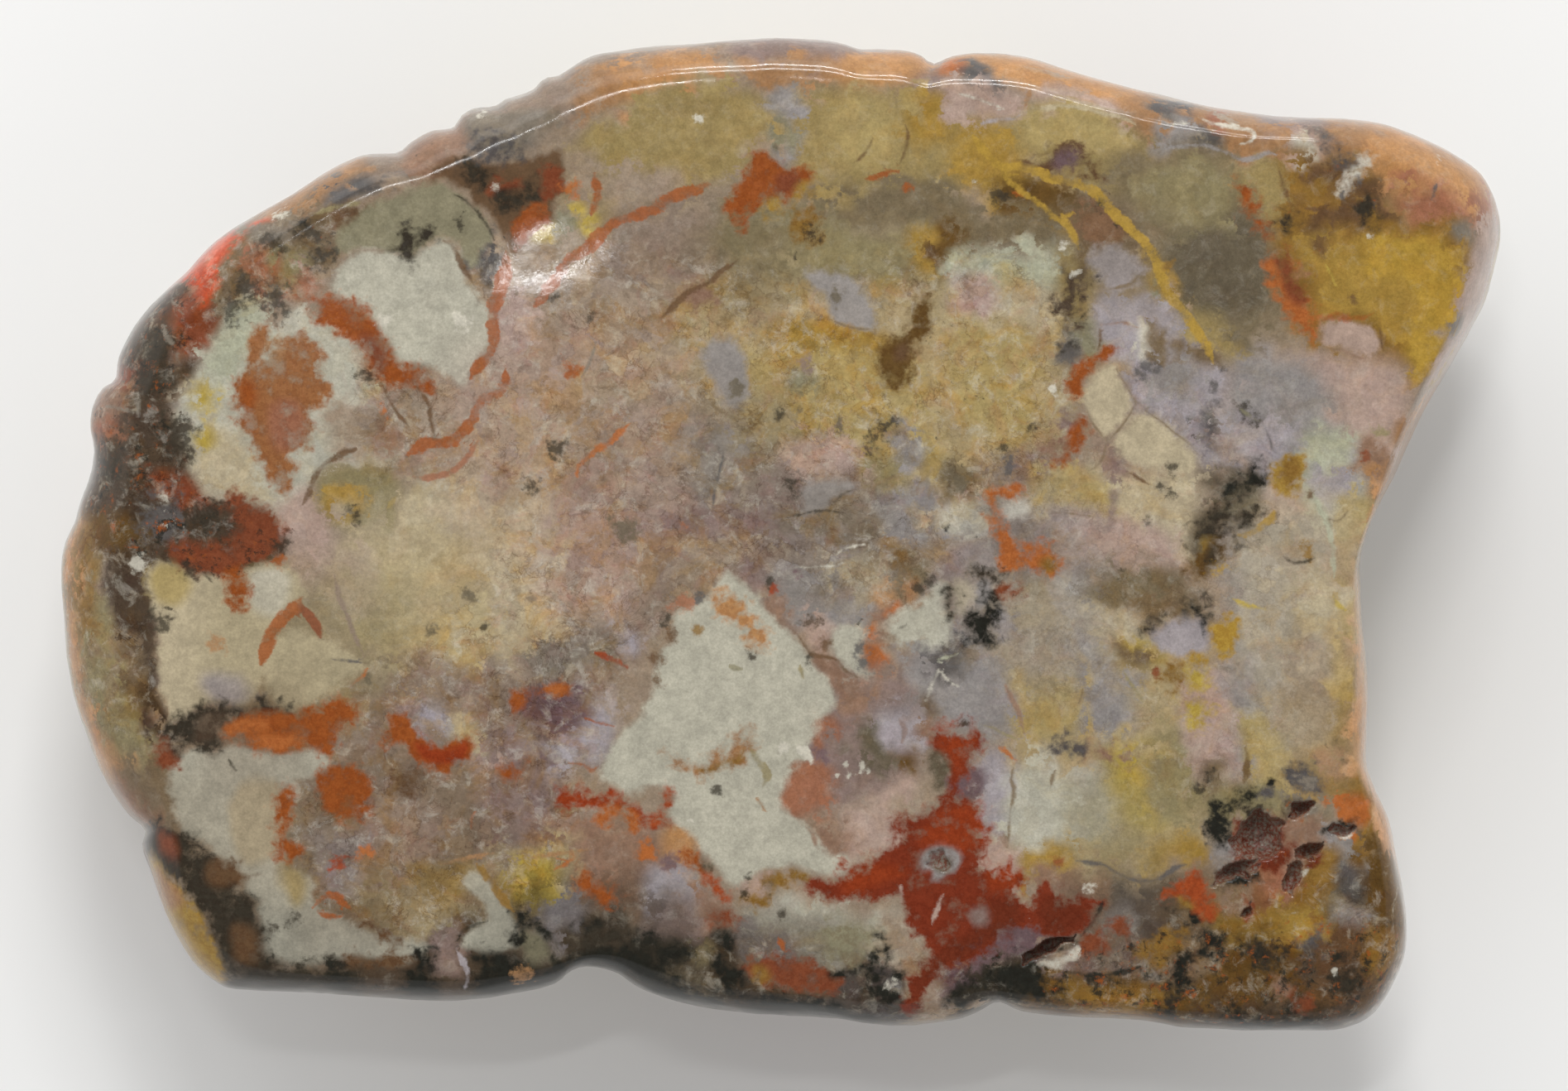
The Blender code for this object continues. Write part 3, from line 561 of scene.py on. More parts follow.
    ("slate", 7, ((1140, 772), (1166, 776), (1166, 800), (1150, 824), (1140, 824))),
    ("lilac", 9, ((1190, 905), (1226, 912), (1224, 1000), (1210, 1010), (1190, 1000), (1184, 960),
                  (1170, 950))),
    ("plum", 6, ((1150, 944), (1176, 918), (1192, 940), (1186, 966), (1158, 962))),
    ("pink", 7, ((1186, 1048), (1196, 1014), (1228, 1026), (1238, 1056), (1210, 1062))),
    ("pale", 10, ((1230, 930), (1260, 920), (1320, 925), (1350, 960), (1340, 1010), (1290, 1030),
                  (1230, 1025))),
    ("mist", 12, ((1300, 780), (1360, 820), (1370, 880), (1310, 890), (1290, 840))),
    ("lemon", 12, ((1345, 900), (1400, 905), (1400, 1000), (1350, 985))),
    ("khaki", 10, ((1395, 890), (1450, 880), (1458, 960), (1440, 1005), (1400, 990))),
    ("yellow_cream", 9, ((1225, 830), (1300, 810), (1300, 880), (1240, 890))),
    ("pink", 9, ((1455, 805), (1490, 810), (1494, 900), (1490, 950), (1460, 950))),
    ("drab", 7, ((1456, 920), (1476, 916), (1478, 956), (1458, 952))),
    ("mustard", 7, ((1383, 1034), (1400, 1018), (1420, 1010), (1448, 1012), (1462, 1032), (1448, 1042),
                    (1412, 1036), (1394, 1050), (1384, 1058))),
    ("mustard", 7, ((1236, 1030), (1300, 1028), (1300, 1040), (1290, 1060), (1240, 1058))),
    ("clay", 9, ((1256, 1058), (1330, 1050), (1350, 1072), (1340, 1096), (1290, 1084), (1262, 1072))),
    ("slate", 9, ((1340, 1062), (1380, 1070), (1420, 1056), (1425, 1096), (1400, 1130), (1340, 1100))),
    ("mist", 9, ((1338, 1100), (1380, 1100), (1378, 1130), (1340, 1126))),
    ("slate", 9, ((1376, 1100), (1425, 1104), (1440, 1130), (1380, 1135))),
    ("plum", 8, ((1190, 1126), (1262, 1122), (1266, 1150), (1210, 1164), (1150, 1200), (1140, 1180))),
    ("mauve", 6, ((1284, 1148), (1318, 1146), (1322, 1172), (1288, 1172))),
    ("mauve", 6, ((1334, 1152), (1370, 1150), (1372, 1172), (1338, 1174))),
    # the bog below darkens the bottom edge: partly painted shade where the rim turns away from the light
    ("bog", 7, ((1150, 1196), (1200, 1166), (1262, 1156), (1290, 1180), (1290, 1212), (1240, 1216),
                (1150, 1230))),
    ("bronze", 7, ((1262, 1172), (1340, 1176), (1440, 1180), (1480, 1150), (1480, 1110), (1560, 1094),
                   (1600, 1090), (1600, 1260), (1240, 1240))),
    ("ochre", 8, ((1270, 1172), (1300, 1176), (1350, 1192), (1400, 1190), (1420, 1206), (1400, 1222),
                  (1290, 1216))),
    ("mustard", 7, ((1466, 1104), (1560, 1092), (1602, 1100), (1590, 1128), (1500, 1134), (1466, 1126))),
    # the peat below darkens the foot along the bottom edge: partly painted shade where the rim turns away
    # from the light
    ("peat", 9, ((1440, 1216), (1500, 1212), (1600, 1190), (1660, 1190), (1680, 1210), (1620, 1262),
                 (1440, 1262))),
    # the pits and the heel
    ("khaki", 9, ((1460, 960), (1500, 940), (1560, 930), (1600, 960), (1600, 1000), (1560, 1000),
                  (1500, 980), (1470, 1000))),
    ("mist", 7, ((1470, 1014), (1502, 1012), (1504, 1050), (1474, 1052))),
    ("ash", 7, ((1550, 955), (1600, 955), (1600, 985), (1560, 985))),
    ("clay", 8, ((1555, 990), (1602, 990), (1600, 1040), (1560, 1045))),
    ("mist", 7, ((1602, 1002), (1646, 1000), (1650, 1050), (1626, 1060), (1606, 1030))),
    ("ochre", 7, ((1584, 1028), (1612, 1022), (1626, 1040), (1626, 1078), (1600, 1094), (1560, 1096),
                  (1576, 1064))),
    ("terracotta", 8, ((1500, 1046), (1564, 1048), (1566, 1086), (1510, 1096))),
    ("pink", 6, ((1478, 1074), (1504, 1072), (1506, 1104), (1482, 1108))),
    ("smoky", 8, ((1608, 1090), (1640, 1050), (1662, 1060), (1672, 1116), (1640, 1132), (1610, 1120))),
    ("mist", 6, ((1612, 1102), (1664, 1108), (1660, 1126), (1616, 1124))),
    ("slate", 6, ((1622, 1040), (1650, 1040), (1650, 1090), (1628, 1090))),
    ("bronze", 7, ((1640, 1000), (1668, 1010), (1700, 1060), (1704, 1130), (1690, 1180), (1660, 1220),
                   (1640, 1220), (1662, 1130), (1650, 1060))),
    ("umber", 9, ((1600, 1120), (1660, 1128), (1672, 1160), (1650, 1210), (1590, 1200))),
    ("ochre", 6, ((1662, 1130), (1690, 1130), (1676, 1170), (1656, 1176))),
    # the horn and the waist: gold over tan, the pale facet and the mustard edge
    ("tan", 10, ((1500, 140), (1700, 140), (1830, 200), (1830, 260), (1690, 250), (1640, 200),
                 (1540, 190))),
    ("mauve", 6, ((1520, 140), (1600, 140), (1612, 166), (1560, 164), (1524, 158))),
    ("pink", 6, ((1550, 162), (1600, 170), (1620, 196), (1560, 190))),
    # painted highlight: the whitish spot where the lamps shine on the horn's rim
    ("chalk", 4, ((1566, 170), (1586, 172), (1600, 182), (1592, 188), (1566, 182))),
    ("apricot", 9, ((1650, 160), (1740, 180), (1810, 230), (1800, 250), (1700, 240), (1655, 200))),
    ("terracotta", 7, ((1690, 246), (1800, 246), (1800, 268), (1700, 272))),
    ("ochre", 10, ((1540, 196), (1640, 194), (1690, 250), (1780, 270), (1790, 290), (1760, 350),
                   (1735, 424), (1715, 455), (1660, 445), (1600, 420), (1560, 380), (1540, 300))),
    ("olive", 9, ((1500, 200), (1545, 196), (1560, 250), (1540, 262), (1505, 240))),
    ("umber", 7, ((1582, 196), (1620, 194), (1640, 215), (1680, 226), (1676, 240), (1640, 240),
                  (1600, 215))),
    ("umber", 8, ((1585, 250), (1650, 244), (1650, 268), (1600, 270), (1615, 292), (1588, 296))),
    ("gold", 10, ((1640, 300), (1740, 296), (1740, 340), (1660, 345))),
    ("gold", 8, ((1722, 330), (1758, 325), (1748, 400), (1724, 455), (1708, 440))),
    ("mustard", 9, ((1572, 292), (1640, 292), (1640, 345), (1600, 345))),
    ("mustard", 10, ((1600, 345), (1700, 345), (1705, 400), (1670, 400), (1655, 385), (1600, 385))),
    ("ash", 6, ((1756, 272), (1790, 274), (1786, 292), (1758, 290))),
    ("pink", 4, ((1792, 282), (1812, 244), (1830, 260), (1830, 340), (1790, 420), (1735, 500),
                 (1724, 466), (1742, 420), (1756, 370), (1772, 325))),
    ("ash", 4, ((1754, 378), (1768, 378), (1764, 404), (1752, 408))),
    # below the gold: mist and lilac down to the waist
    ("pink", 12, ((1500, 440), (1600, 430), (1700, 450), (1700, 490), (1680, 560), (1640, 620),
                  (1620, 700), (1600, 760), (1500, 760), (1480, 600))),
    ("mist", 12, ((1500, 430), (1590, 450), (1620, 520), (1590, 560), (1500, 560))),
    ("pale_green", 9, ((1580, 520), (1620, 520), (1640, 640), (1600, 640))),
    ("lilac", 10, ((1500, 500), (1545, 520), (1550, 560), (1530, 590), (1500, 560))),
    ("lilac", 10, ((1590, 560), (1640, 560), (1640, 600), (1600, 606))),
    ("smoke", 8, ((1490, 560), (1522, 580), (1524, 630), (1500, 650), (1480, 640))),
    ("clay", 7, ((1642, 548), (1682, 552), (1670, 580), (1646, 574))),
    ("tan", 6, ((1700, 500), (1712, 500), (1690, 570), (1666, 606), (1656, 600), (1682, 552))),
    ("yellow_cream", 7, ((1620, 600), (1660, 604), (1640, 665), (1612, 660))),
    ("mist", 9, ((1482, 650), (1600, 645), (1600, 690), (1540, 740), (1490, 740))),
    ("cream", 10, ((1560, 690), (1606, 690), (1604, 800), (1565, 790))),
    ("mist", 11, ((1490, 740), (1560, 740), (1570, 900), (1500, 940), (1490, 850))),
    ("mauve", 9, ((1562, 770), (1596, 770), (1612, 840), (1608, 890), (1572, 892), (1556, 840))),
    ("yellow_cream", 8, ((1495, 860), (1520, 860), (1560, 910), (1550, 945), (1515, 945), (1500, 900))),
    ("ochre", 6, ((1553, 940), (1562, 922), (1590, 910), (1612, 898), (1628, 900), (1640, 930),
                  (1664, 970), (1672, 1010), (1650, 1010), (1612, 962), (1590, 950))),
    ("orange", 6, ((1616, 960), (1640, 958), (1656, 985), (1640, 1000), (1620, 984))),
    ("terracotta", 5, ((1600, 905), (1622, 902), (1628, 930), (1606, 936))),
    ("ochre", 5, ((1618, 660), (1640, 655), (1636, 700), (1634, 760), (1636, 810), (1630, 850),
                  (1622, 898), (1611, 896), (1612, 850), (1616, 830), (1606, 800), (1604, 756),
                  (1614, 738), (1624, 736), (1613, 716), (1612, 690))),
    ("gold", 4, ((1618, 700), (1632, 705), (1628, 800), (1626, 850), (1616, 850), (1618, 760))),
    ("peach", 3.5, ((1639, 690), (1660, 700), (1670, 860), (1660, 920), (1700, 1040), (1684, 1040),
                    (1658, 965), (1638, 925), (1632, 860), (1638, 790), (1634, 740))),
    ("peach", 3.5, ((1733, 470), (1750, 460), (1680, 620), (1650, 660), (1642, 650), (1668, 608),
                    (1692, 566), (1712, 512))),
)
CLOTS = (
    # the west end: the dark rim, the ring with the leaf, the cream block and the foot
    ("cream", 4, ((185, 690), (200, 680), (225, 688), (245, 692), (270, 690), (300, 684), (325, 676),
                    (350, 688), (364, 702), (372, 716), (352, 738), (334, 756), (322, 780), (314, 805),
                    (306, 828), (298, 848), (250, 848), (222, 862), (204, 868), (198, 850), (194, 800),
                    (190, 765), (186, 730))),
    ("chalk", 8, ((305, 695), (335, 690), (352, 700), (350, 728), (325, 745), (305, 728))),
    ("yellow_cream", 8, ((188, 690), (205, 682), (225, 690), (230, 715), (215, 735), (195, 730))),
    ("cream", 4.8, ((330, 780), (352, 758), (380, 770), (412, 785), (438, 806), (425, 818), (390, 838),
                  (362, 852), (330, 846), (318, 822), (318, 800))),
    ("pale", 4, ((212, 925), (232, 905), (262, 912), (300, 905), (345, 914), (385, 906), (398, 925),
                   (372, 942), (352, 952), (342, 975), (338, 1015), (342, 1045), (300, 1052),
                   (272, 1038), (240, 1014), (215, 1002), (206, 960))),
    ("cream", 6.4, ((290, 950), (335, 945), (335, 1030), (300, 1040), (280, 1000))),
    ("pale", 4.8, ((298, 1060), (325, 1048), (352, 1044), (372, 1062), (382, 1092), (402, 1108),
                 (440, 1116), (480, 1130), (518, 1146), (500, 1158), (445, 1160), (400, 1166),
                 (352, 1160), (326, 1148), (320, 1120), (308, 1098), (314, 1084), (300, 1076))),
    ("yellow_cream", 9.6, ((340, 1040), (358, 1045), (366, 1080), (355, 1095), (342, 1075))),
    ("lilac", 11.2, ((250, 822), (290, 815), (296, 842), (262, 848))),
    # west of the middle: the scalloped rim, the brown block, the upper island, the cream field
    ("sage", 4, ((448, 246), (470, 236), (500, 226), (525, 223), (550, 236), (574, 250), (588, 266),
                   (592, 286), (580, 306), (570, 325), (558, 315), (550, 300), (538, 290), (520, 292),
                   (505, 302), (475, 302), (440, 300), (410, 306), (404, 286), (420, 266))),
    ("pale", 4, ((400, 338), (410, 320), (440, 306), (475, 303), (500, 306), (520, 296), (542, 296),
                   (552, 312), (558, 332), (568, 346), (580, 358), (592, 370), (594, 395), (590, 416),
                   (578, 430), (570, 446), (566, 460), (555, 466), (540, 456), (520, 446), (500, 440),
                   (484, 434), (476, 416), (465, 400), (455, 388), (440, 375), (420, 365), (405, 356))),
    ("umber", 4, ((524, 206), (560, 196), (600, 198), (640, 190), (676, 184), (678, 202), (680, 226),
                    (670, 250), (672, 266), (652, 276), (640, 290), (622, 301), (612, 290), (600, 275),
                    (590, 256), (575, 250), (570, 236), (555, 232), (540, 222), (520, 216))),
    ("sage", 8, ((626, 1132), (645, 1125), (664, 1138), (664, 1156), (645, 1164), (628, 1158))),
    ("pale", 4, ((568, 1052), (590, 1058), (604, 1085), (620, 1106), (626, 1140), (602, 1152),
                   (580, 1146), (562, 1140), (572, 1124), (590, 1114), (586, 1098), (566, 1080))),
    # the middle: the olive top, the mustard and lilac centre, the great pale island
    ("mist", 5.6, ((970, 330), (1000, 325), (1025, 334), (1042, 350), (1056, 374), (1055, 396),
                   (1040, 398), (1015, 390), (1004, 380), (997, 364), (988, 350), (975, 346))),
    ("mist", 5.6, ((855, 416), (870, 408), (890, 411), (901, 430), (905, 456), (904, 482), (895, 496),
                   (880, 495), (868, 481), (855, 460), (849, 435))),
    ("mist", 4.8, ((958, 590), (985, 580), (1010, 584), (1038, 590), (1020, 601), (1004, 606),
                 (992, 617), (968, 617), (962, 604))),
    ("pale", 4, ((722, 936), (740, 900), (760, 880), (780, 850), (795, 806), (800, 788), (814, 774),
                   (813, 745), (828, 737), (846, 725), (862, 712), (880, 692), (900, 706), (920, 728),
                   (940, 750), (960, 770), (980, 795), (1000, 820), (1012, 840), (1004, 850),
                   (1000, 860), (988, 870), (985, 895), (975, 915), (960, 925), (952, 948), (945, 968),
                   (950, 982), (966, 990), (978, 1002), (986, 1016), (996, 1030), (1010, 1036),
                   (1028, 1037), (1031, 1046), (1024, 1056), (1000, 1056), (975, 1052), (955, 1048),
                   (932, 1052), (916, 1058), (904, 1066), (890, 1069), (875, 1060), (864, 1044),
                   (852, 1032), (842, 1016), (828, 1004), (814, 996), (806, 985), (812, 960),
                   (800, 950), (770, 960), (740, 955))),
    ("pale", 4.8, ((1009, 765), (1020, 757), (1042, 754), (1050, 766), (1046, 782), (1052, 792),
                 (1048, 800), (1052, 812), (1040, 816), (1025, 808), (1014, 796), (1008, 782))),
    ("pale", 5.6, ((1080, 746), (1100, 735), (1120, 726), (1130, 704), (1142, 704), (1144, 740),
                   (1150, 756), (1140, 772), (1120, 773), (1100, 776), (1084, 780), (1074, 770),
                   (1076, 755))),
    # the upper east: the gold arc, the lilac field and the rust veins
    ("lilac", 4.8, ((1316, 312), (1324, 300), (1340, 294), (1353, 300), (1361, 312), (1372, 322),
                  (1386, 327), (1378, 336), (1364, 343), (1350, 354), (1336, 350), (1326, 332))),
    ("cream", 4, ((1308, 470), (1318, 458), (1332, 450), (1348, 444), (1354, 454), (1362, 464),
                    (1372, 476), (1370, 488), (1362, 500), (1352, 514), (1346, 526), (1339, 531),
                    (1332, 518), (1322, 505), (1313, 494), (1307, 482))),
    ("slate", 6.6, ((1270, 428), (1276, 414), (1290, 402), (1300, 406), (1304, 426), (1300, 441),
                  (1290, 448), (1278, 440))),
    ("cream", 4.8, ((1350, 532), (1362, 515), (1376, 502), (1390, 502), (1402, 514), (1414, 527),
                  (1432, 537), (1448, 548), (1440, 566), (1400, 562), (1370, 562), (1354, 550))),
    ("chalk", 4.8, ((1206, 612), (1214, 605), (1230, 601), (1241, 603), (1238, 616), (1225, 623),
                  (1211, 622))),
    ("mauve", 4, ((1344, 590), (1353, 590), (1352, 606), (1346, 626), (1343, 641), (1334, 643),
                    (1335, 628), (1340, 610))),
    # the lower east: the cream block, the red band, the pits and the dark foot
    ("lilac", 4.8, ((1389, 768), (1400, 756), (1420, 747), (1441, 745), (1456, 755), (1462, 770),
                  (1451, 786), (1430, 792), (1410, 786), (1395, 779))),
    ("cream", 4.8, ((1154, 702), (1170, 700), (1170, 728), (1160, 738), (1152, 724))),
    ("mist", 4, ((1180, 700), (1194, 700), (1194, 722), (1182, 736), (1176, 722))),
    ("pink", 4.8, ((1591, 394), (1602, 387), (1622, 387), (1642, 395), (1662, 404), (1667, 420),
                 (1659, 430), (1640, 429), (1620, 421), (1602, 419), (1593, 409))),
)
# Crisp stains; the black and bog patches along the bottom edge and in two vugs are painted shade
STAINS_AND_SHADE = (
    # the west end: the dark rim, the ring with the leaf, the cream block and the foot
    ("leaf", 4, ((313, 395), (322, 402), (320, 432), (345, 412), (375, 412), (386, 422), (388, 448),
                   (400, 460), (396, 475), (386, 490), (376, 502), (378, 522), (370, 542), (352, 548),
                   (350, 570), (340, 592), (330, 592), (322, 574), (312, 555), (302, 545), (291, 530),
                   (286, 505), (287, 475), (293, 452), (300, 428), (304, 408))),
    ("terracotta", 9.6, ((325, 495), (362, 490), (370, 525), (345, 545), (322, 530))),
    ("tan", 9.6, ((322, 412), (345, 418), (340, 440), (326, 440))),
    ("rust", 8, ((296, 455), (308, 460), (302, 500), (300, 528), (290, 510), (290, 475))),
    ("brick", 4.8, ((270, 596), (298, 602), (338, 640), (335, 668), (318, 678), (296, 680), (282, 690),
                  (262, 690), (232, 692), (206, 680), (200, 662), (240, 655), (282, 650), (275, 620))),
    ("rust", 4.8, ((270, 686), (292, 682), (300, 700), (298, 735), (284, 736), (272, 712))),
    ("rust", 4.8, ((300, 850), (330, 852), (360, 856), (392, 848), (420, 840), (428, 862), (412, 888),
                 (404, 906), (370, 904), (335, 912), (306, 906), (290, 898), (266, 892), (268, 880),
                 (285, 868))),
    ("orange", 4.8, ((265, 886), (280, 872), (305, 865), (325, 864), (322, 878), (300, 886), (288, 896),
                   (270, 894))),
    ("orange", 6.4, ((298, 897), (328, 888), (356, 888), (366, 897), (345, 908), (315, 906))),
    ("brick", 4.8, ((192, 892), (206, 890), (216, 906), (214, 928), (200, 932), (190, 915))),
    # the bog below darkens the lower-left edge: partly painted shade where the rim turns away from the light
    ("bog", 5.5, ((176, 1000), (206, 996), (238, 1010), (250, 1030), (276, 1040), (292, 1056),
                  (286, 1074), (300, 1080), (312, 1090), (312, 1112), (326, 1130), (322, 1150),
                  (342, 1162), (382, 1166), (440, 1168), (440, 1215), (262, 1215), (278, 1178),
                  (262, 1150), (250, 1120), (232, 1088), (212, 1064), (180, 1045), (165, 1015))),
    ("brick", 8, ((192, 1008), (212, 1012), (216, 1032), (200, 1032))),
    ("umber", 6.4, ((252, 1042), (275, 1038), (294, 1058), (275, 1072), (250, 1066))),
    ("umber", 9.6, ((282, 1118), (310, 1125), (312, 1160), (290, 1160))),
    ("mustard", 4.8, ((178, 1030), (212, 1062), (230, 1088), (248, 1118), (258, 1140), (272, 1166),
                    (268, 1200), (215, 1170), (190, 1110))),
    ("tan", 6.4, ((186, 1050), (210, 1064), (220, 1084), (206, 1096), (190, 1080))),
    ("rust", 4.8, ((380, 938), (402, 925), (438, 930), (440, 985), (400, 985), (385, 965))),
    ("rust", 4.8, ((342, 950), (354, 948), (350, 985), (346, 1015), (362, 1030), (352, 1044), (338, 1030),
                 (334, 985))),
    ("bog", 6.6, ((202, 872), (232, 854), (266, 846), (288, 852), (300, 846), (330, 842), (354, 848),
                (328, 856), (298, 858), (284, 868), (268, 880), (262, 892), (268, 908), (240, 904),
                (222, 902), (214, 916), (202, 894))),
    ("peat", 6.6, ((240, 868), (276, 862), (268, 882), (256, 896), (232, 894))),
    ("rust", 4.8, ((382, 362), (410, 362), (440, 374), (458, 390), (470, 408), (480, 436), (505, 446),
                 (520, 462), (520, 476), (500, 472), (475, 468), (458, 456), (448, 438), (436, 415),
                 (420, 402), (396, 396), (384, 385))),
    ("brick", 6.4, ((440, 402), (458, 410), (466, 440), (458, 448), (448, 430))),
    # west of the middle: the scalloped rim, the brown block, the upper island, the cream field
    ("brick", 4.8, ((652, 204), (678, 206), (680, 226), (668, 240), (655, 228))),
    ("brick", 6.4, ((592, 226), (630, 222), (634, 240), (600, 245))),
    ("rust", 4.8, ((620, 262), (655, 250), (668, 262), (645, 282), (626, 294))),
    ("bog", 6.6, ((598, 236), (632, 228), (650, 215), (655, 232), (636, 244), (612, 262), (600, 256))),
    ("bog", 8.8, ((562, 205), (592, 206), (590, 224), (566, 226))),
    ("slate", 8.8, ((570, 168), (602, 160), (630, 180), (605, 194), (575, 190))),
    ("bog", 6.6, ((480, 275), (490, 271), (505, 276), (518, 276), (522, 288), (510, 294), (500, 300),
                (498, 320), (491, 306), (478, 300), (485, 290))),
    ("rust", 4, ((466, 866), (490, 868), (502, 886), (518, 898), (545, 895), (576, 888), (576, 905),
                   (560, 915), (545, 926), (520, 924), (500, 915), (485, 905), (470, 904), (465, 892),
                   (474, 880))),
    ("red", 4.8, ((500, 900), (520, 902), (550, 897), (570, 894), (568, 906), (545, 920), (515, 918))),
    ("rust", 4.8, ((622, 868), (620, 848), (636, 834), (655, 836), (662, 822), (680, 824), (687, 836),
                 (668, 842), (640, 845), (630, 858))),
    ("orange", 4.8, ((656, 832), (664, 822), (680, 824), (684, 834), (668, 840))),
    ("rust", 4, ((604, 920), (625, 925), (636, 921), (630, 932), (622, 946), (612, 946), (608, 930))),
    ("red", 4.8, ((674, 952), (690, 950), (702, 958), (722, 960), (746, 965), (768, 975), (785, 985),
                (808, 985), (806, 1000), (775, 993), (756, 984), (735, 982), (722, 976), (705, 970),
                (690, 968), (680, 970))),
    ("orange", 6.4, ((720, 978), (750, 974), (772, 982), (770, 994), (740, 990), (720, 992))),
    # the black and bog patches from here down to the next umber: painted shade along the bottom edge and in
    # the notch of the bottom arch
    ("black", 6.6, ((496, 1146), (520, 1150), (526, 1170), (520, 1215), (492, 1215), (488, 1175))),
    ("black", 6.6, ((576, 1150), (600, 1150), (625, 1156), (640, 1166), (665, 1166), (692, 1154),
                  (702, 1140), (730, 1146), (760, 1140), (800, 1150), (800, 1180), (700, 1175),
                  (690, 1200), (600, 1215), (570, 1205), (572, 1180), (580, 1165))),
    ("black", 5.5, ((624, 1100), (640, 1104), (652, 1116), (664, 1126), (670, 1142), (666, 1160),
                    (660, 1140), (645, 1124), (632, 1122), (630, 1150), (622, 1144), (620, 1118))),
    ("black", 6.6, ((700, 1128), (712, 1114), (732, 1116), (722, 1130))),
    ("bog", 8.8, ((705, 1128), (750, 1122), (756, 1142), (720, 1148), (698, 1146))),
    ("black", 6.6, ((766, 1138), (790, 1130), (806, 1140), (800, 1152), (772, 1152))),
    ("umber", 4.8, ((436, 1116), (452, 1114), (474, 1126), (486, 1134), (470, 1134), (448, 1126))),
    ("umber", 4.8, ((420, 1160), (455, 1158), (490, 1152), (500, 1158), (450, 1170), (420, 1172))),
    ("orange", 4.8, ((772, 1034), (778, 1022), (792, 1022), (788, 1034), (776, 1040))),
    ("rust", 6.4, ((702, 1078), (698, 1064), (712, 1054), (718, 1066), (710, 1078))),
    ("rust", 6.4, ((722, 1076), (738, 1070), (744, 1086), (730, 1090))),
    ("umber", 6.4, ((480, 935), (500, 930), (505, 960), (488, 968))),
    # the middle: the olive top, the mustard and lilac centre, the great pale island
    ("rust", 4, ((905, 192), (925, 181), (940, 190), (955, 200), (985, 204), (985, 221), (970, 236),
                   (962, 246), (935, 245), (928, 250), (914, 256), (904, 264), (893, 286), (885, 275),
                   (880, 262), (875, 254), (882, 236), (894, 220), (898, 205))),
    ("brick", 6.4, ((938, 210), (965, 208), (968, 232), (944, 238))),
    ("mustard", 6.4, ((926, 246), (948, 244), (944, 262), (928, 266))),
    ("mustard", 6.4, ((968, 222), (986, 222), (984, 246), (970, 246))),
    ("ochre", 6.4, ((965, 262), (984, 260), (986, 290), (968, 290))),
    ("bronze", 4.8, ((1066, 416), (1080, 405), (1095, 400), (1106, 375), (1115, 356), (1126, 352),
                   (1128, 385), (1120, 405), (1110, 420), (1105, 446), (1095, 466), (1080, 476),
                   (1068, 466), (1062, 444))),
    ("umber", 6.4, ((1086, 414), (1101, 414), (1099, 432), (1086, 430))),
    ("clay", 6.4, ((828, 350), (858, 342), (862, 362), (832, 366))),
    ("apricot", 6.4, ((862, 722), (880, 719), (896, 726), (904, 742), (916, 756), (924, 775), (914, 781),
                    (903, 770), (894, 756), (884, 746), (868, 740))),
    ("tan", 5.6, ((799, 902), (814, 906), (826, 914), (842, 919), (856, 918), (868, 909), (878, 899),
                  (890, 888), (906, 884), (905, 900), (898, 911), (886, 924), (870, 932), (854, 934),
                  (832, 927), (815, 919), (802, 908))),
    ("ochre", 5.6, ((846, 926), (866, 924), (884, 910), (896, 902), (892, 914), (872, 930),
                    (852, 933))),
    ("ember", 4, ((806, 946), (812, 956), (810, 975), (804, 990), (796, 998), (778, 992),
                      (796, 984), (802, 968), (802, 952))),
    ("rust", 4.8, ((820, 1034), (832, 1028), (846, 1034), (853, 1050), (840, 1054), (824, 1044))),
    ("smoke", 4.8, ((848, 1044), (856, 1040), (863, 1048), (860, 1057), (850, 1056))),
    ("ember", 4.8, ((848, 1056), (862, 1055), (874, 1067), (889, 1075), (876, 1084), (860, 1076),
                    (852, 1068))),
    ("brick", 5.6, ((858, 1094), (880, 1098), (894, 1106), (872, 1114), (860, 1108))),
    ("ochre", 4.8, ((924, 1060), (944, 1059), (958, 1064), (950, 1074), (938, 1076), (936, 1086),
                  (924, 1092), (902, 1088), (896, 1080), (915, 1082), (928, 1076))),
    ("ochre", 4.8, ((955, 1050), (974, 1049), (976, 1060), (960, 1062))),
    ("sage", 9.6, ((996, 1118), (1030, 1112), (1050, 1126), (1046, 1148), (1020, 1164), (998, 1152))),
    ("brick", 5.6, ((900, 1168), (922, 1160), (945, 1152), (965, 1159), (985, 1158), (1002, 1170),
                    (1018, 1182), (1022, 1194), (1008, 1204), (985, 1206), (962, 1200), (944, 1196),
                    (928, 1190), (912, 1180))),
    ("ochre", 6.4, ((914, 1166), (930, 1172), (932, 1186), (920, 1186), (912, 1176))),
    # the black patches of this part from here on: painted shade along the bottom edge, partly real dark
    # stone
    ("black", 5.5, ((868, 1128), (882, 1124), (888, 1142), (884, 1156), (874, 1150))),
    ("black", 6.6, ((866, 1160), (888, 1162), (902, 1180), (900, 1202), (878, 1200), (866, 1184))),
    ("black", 6.6, ((900, 1206), (940, 1204), (1010, 1210), (1060, 1232), (980, 1240), (900, 1232))),
    ("black", 6.6, ((780, 1132), (800, 1136), (826, 1142), (828, 1158), (806, 1160), (780, 1152))),
    ("black", 5.5, ((1002, 1174), (1024, 1172), (1040, 1162), (1052, 1155), (1064, 1150),
                    (1066, 1140), (1056, 1133), (1070, 1140), (1072, 1154), (1058, 1166),
                    (1040, 1174), (1020, 1182), (1004, 1182))),
    ("black", 5.5, ((1046, 1172), (1070, 1170), (1088, 1174), (1086, 1184), (1066, 1182),
                    (1066, 1192), (1050, 1190))),
    ("black", 6.6, ((1044, 1196), (1064, 1194), (1082, 1200), (1080, 1214), (1056, 1216))),
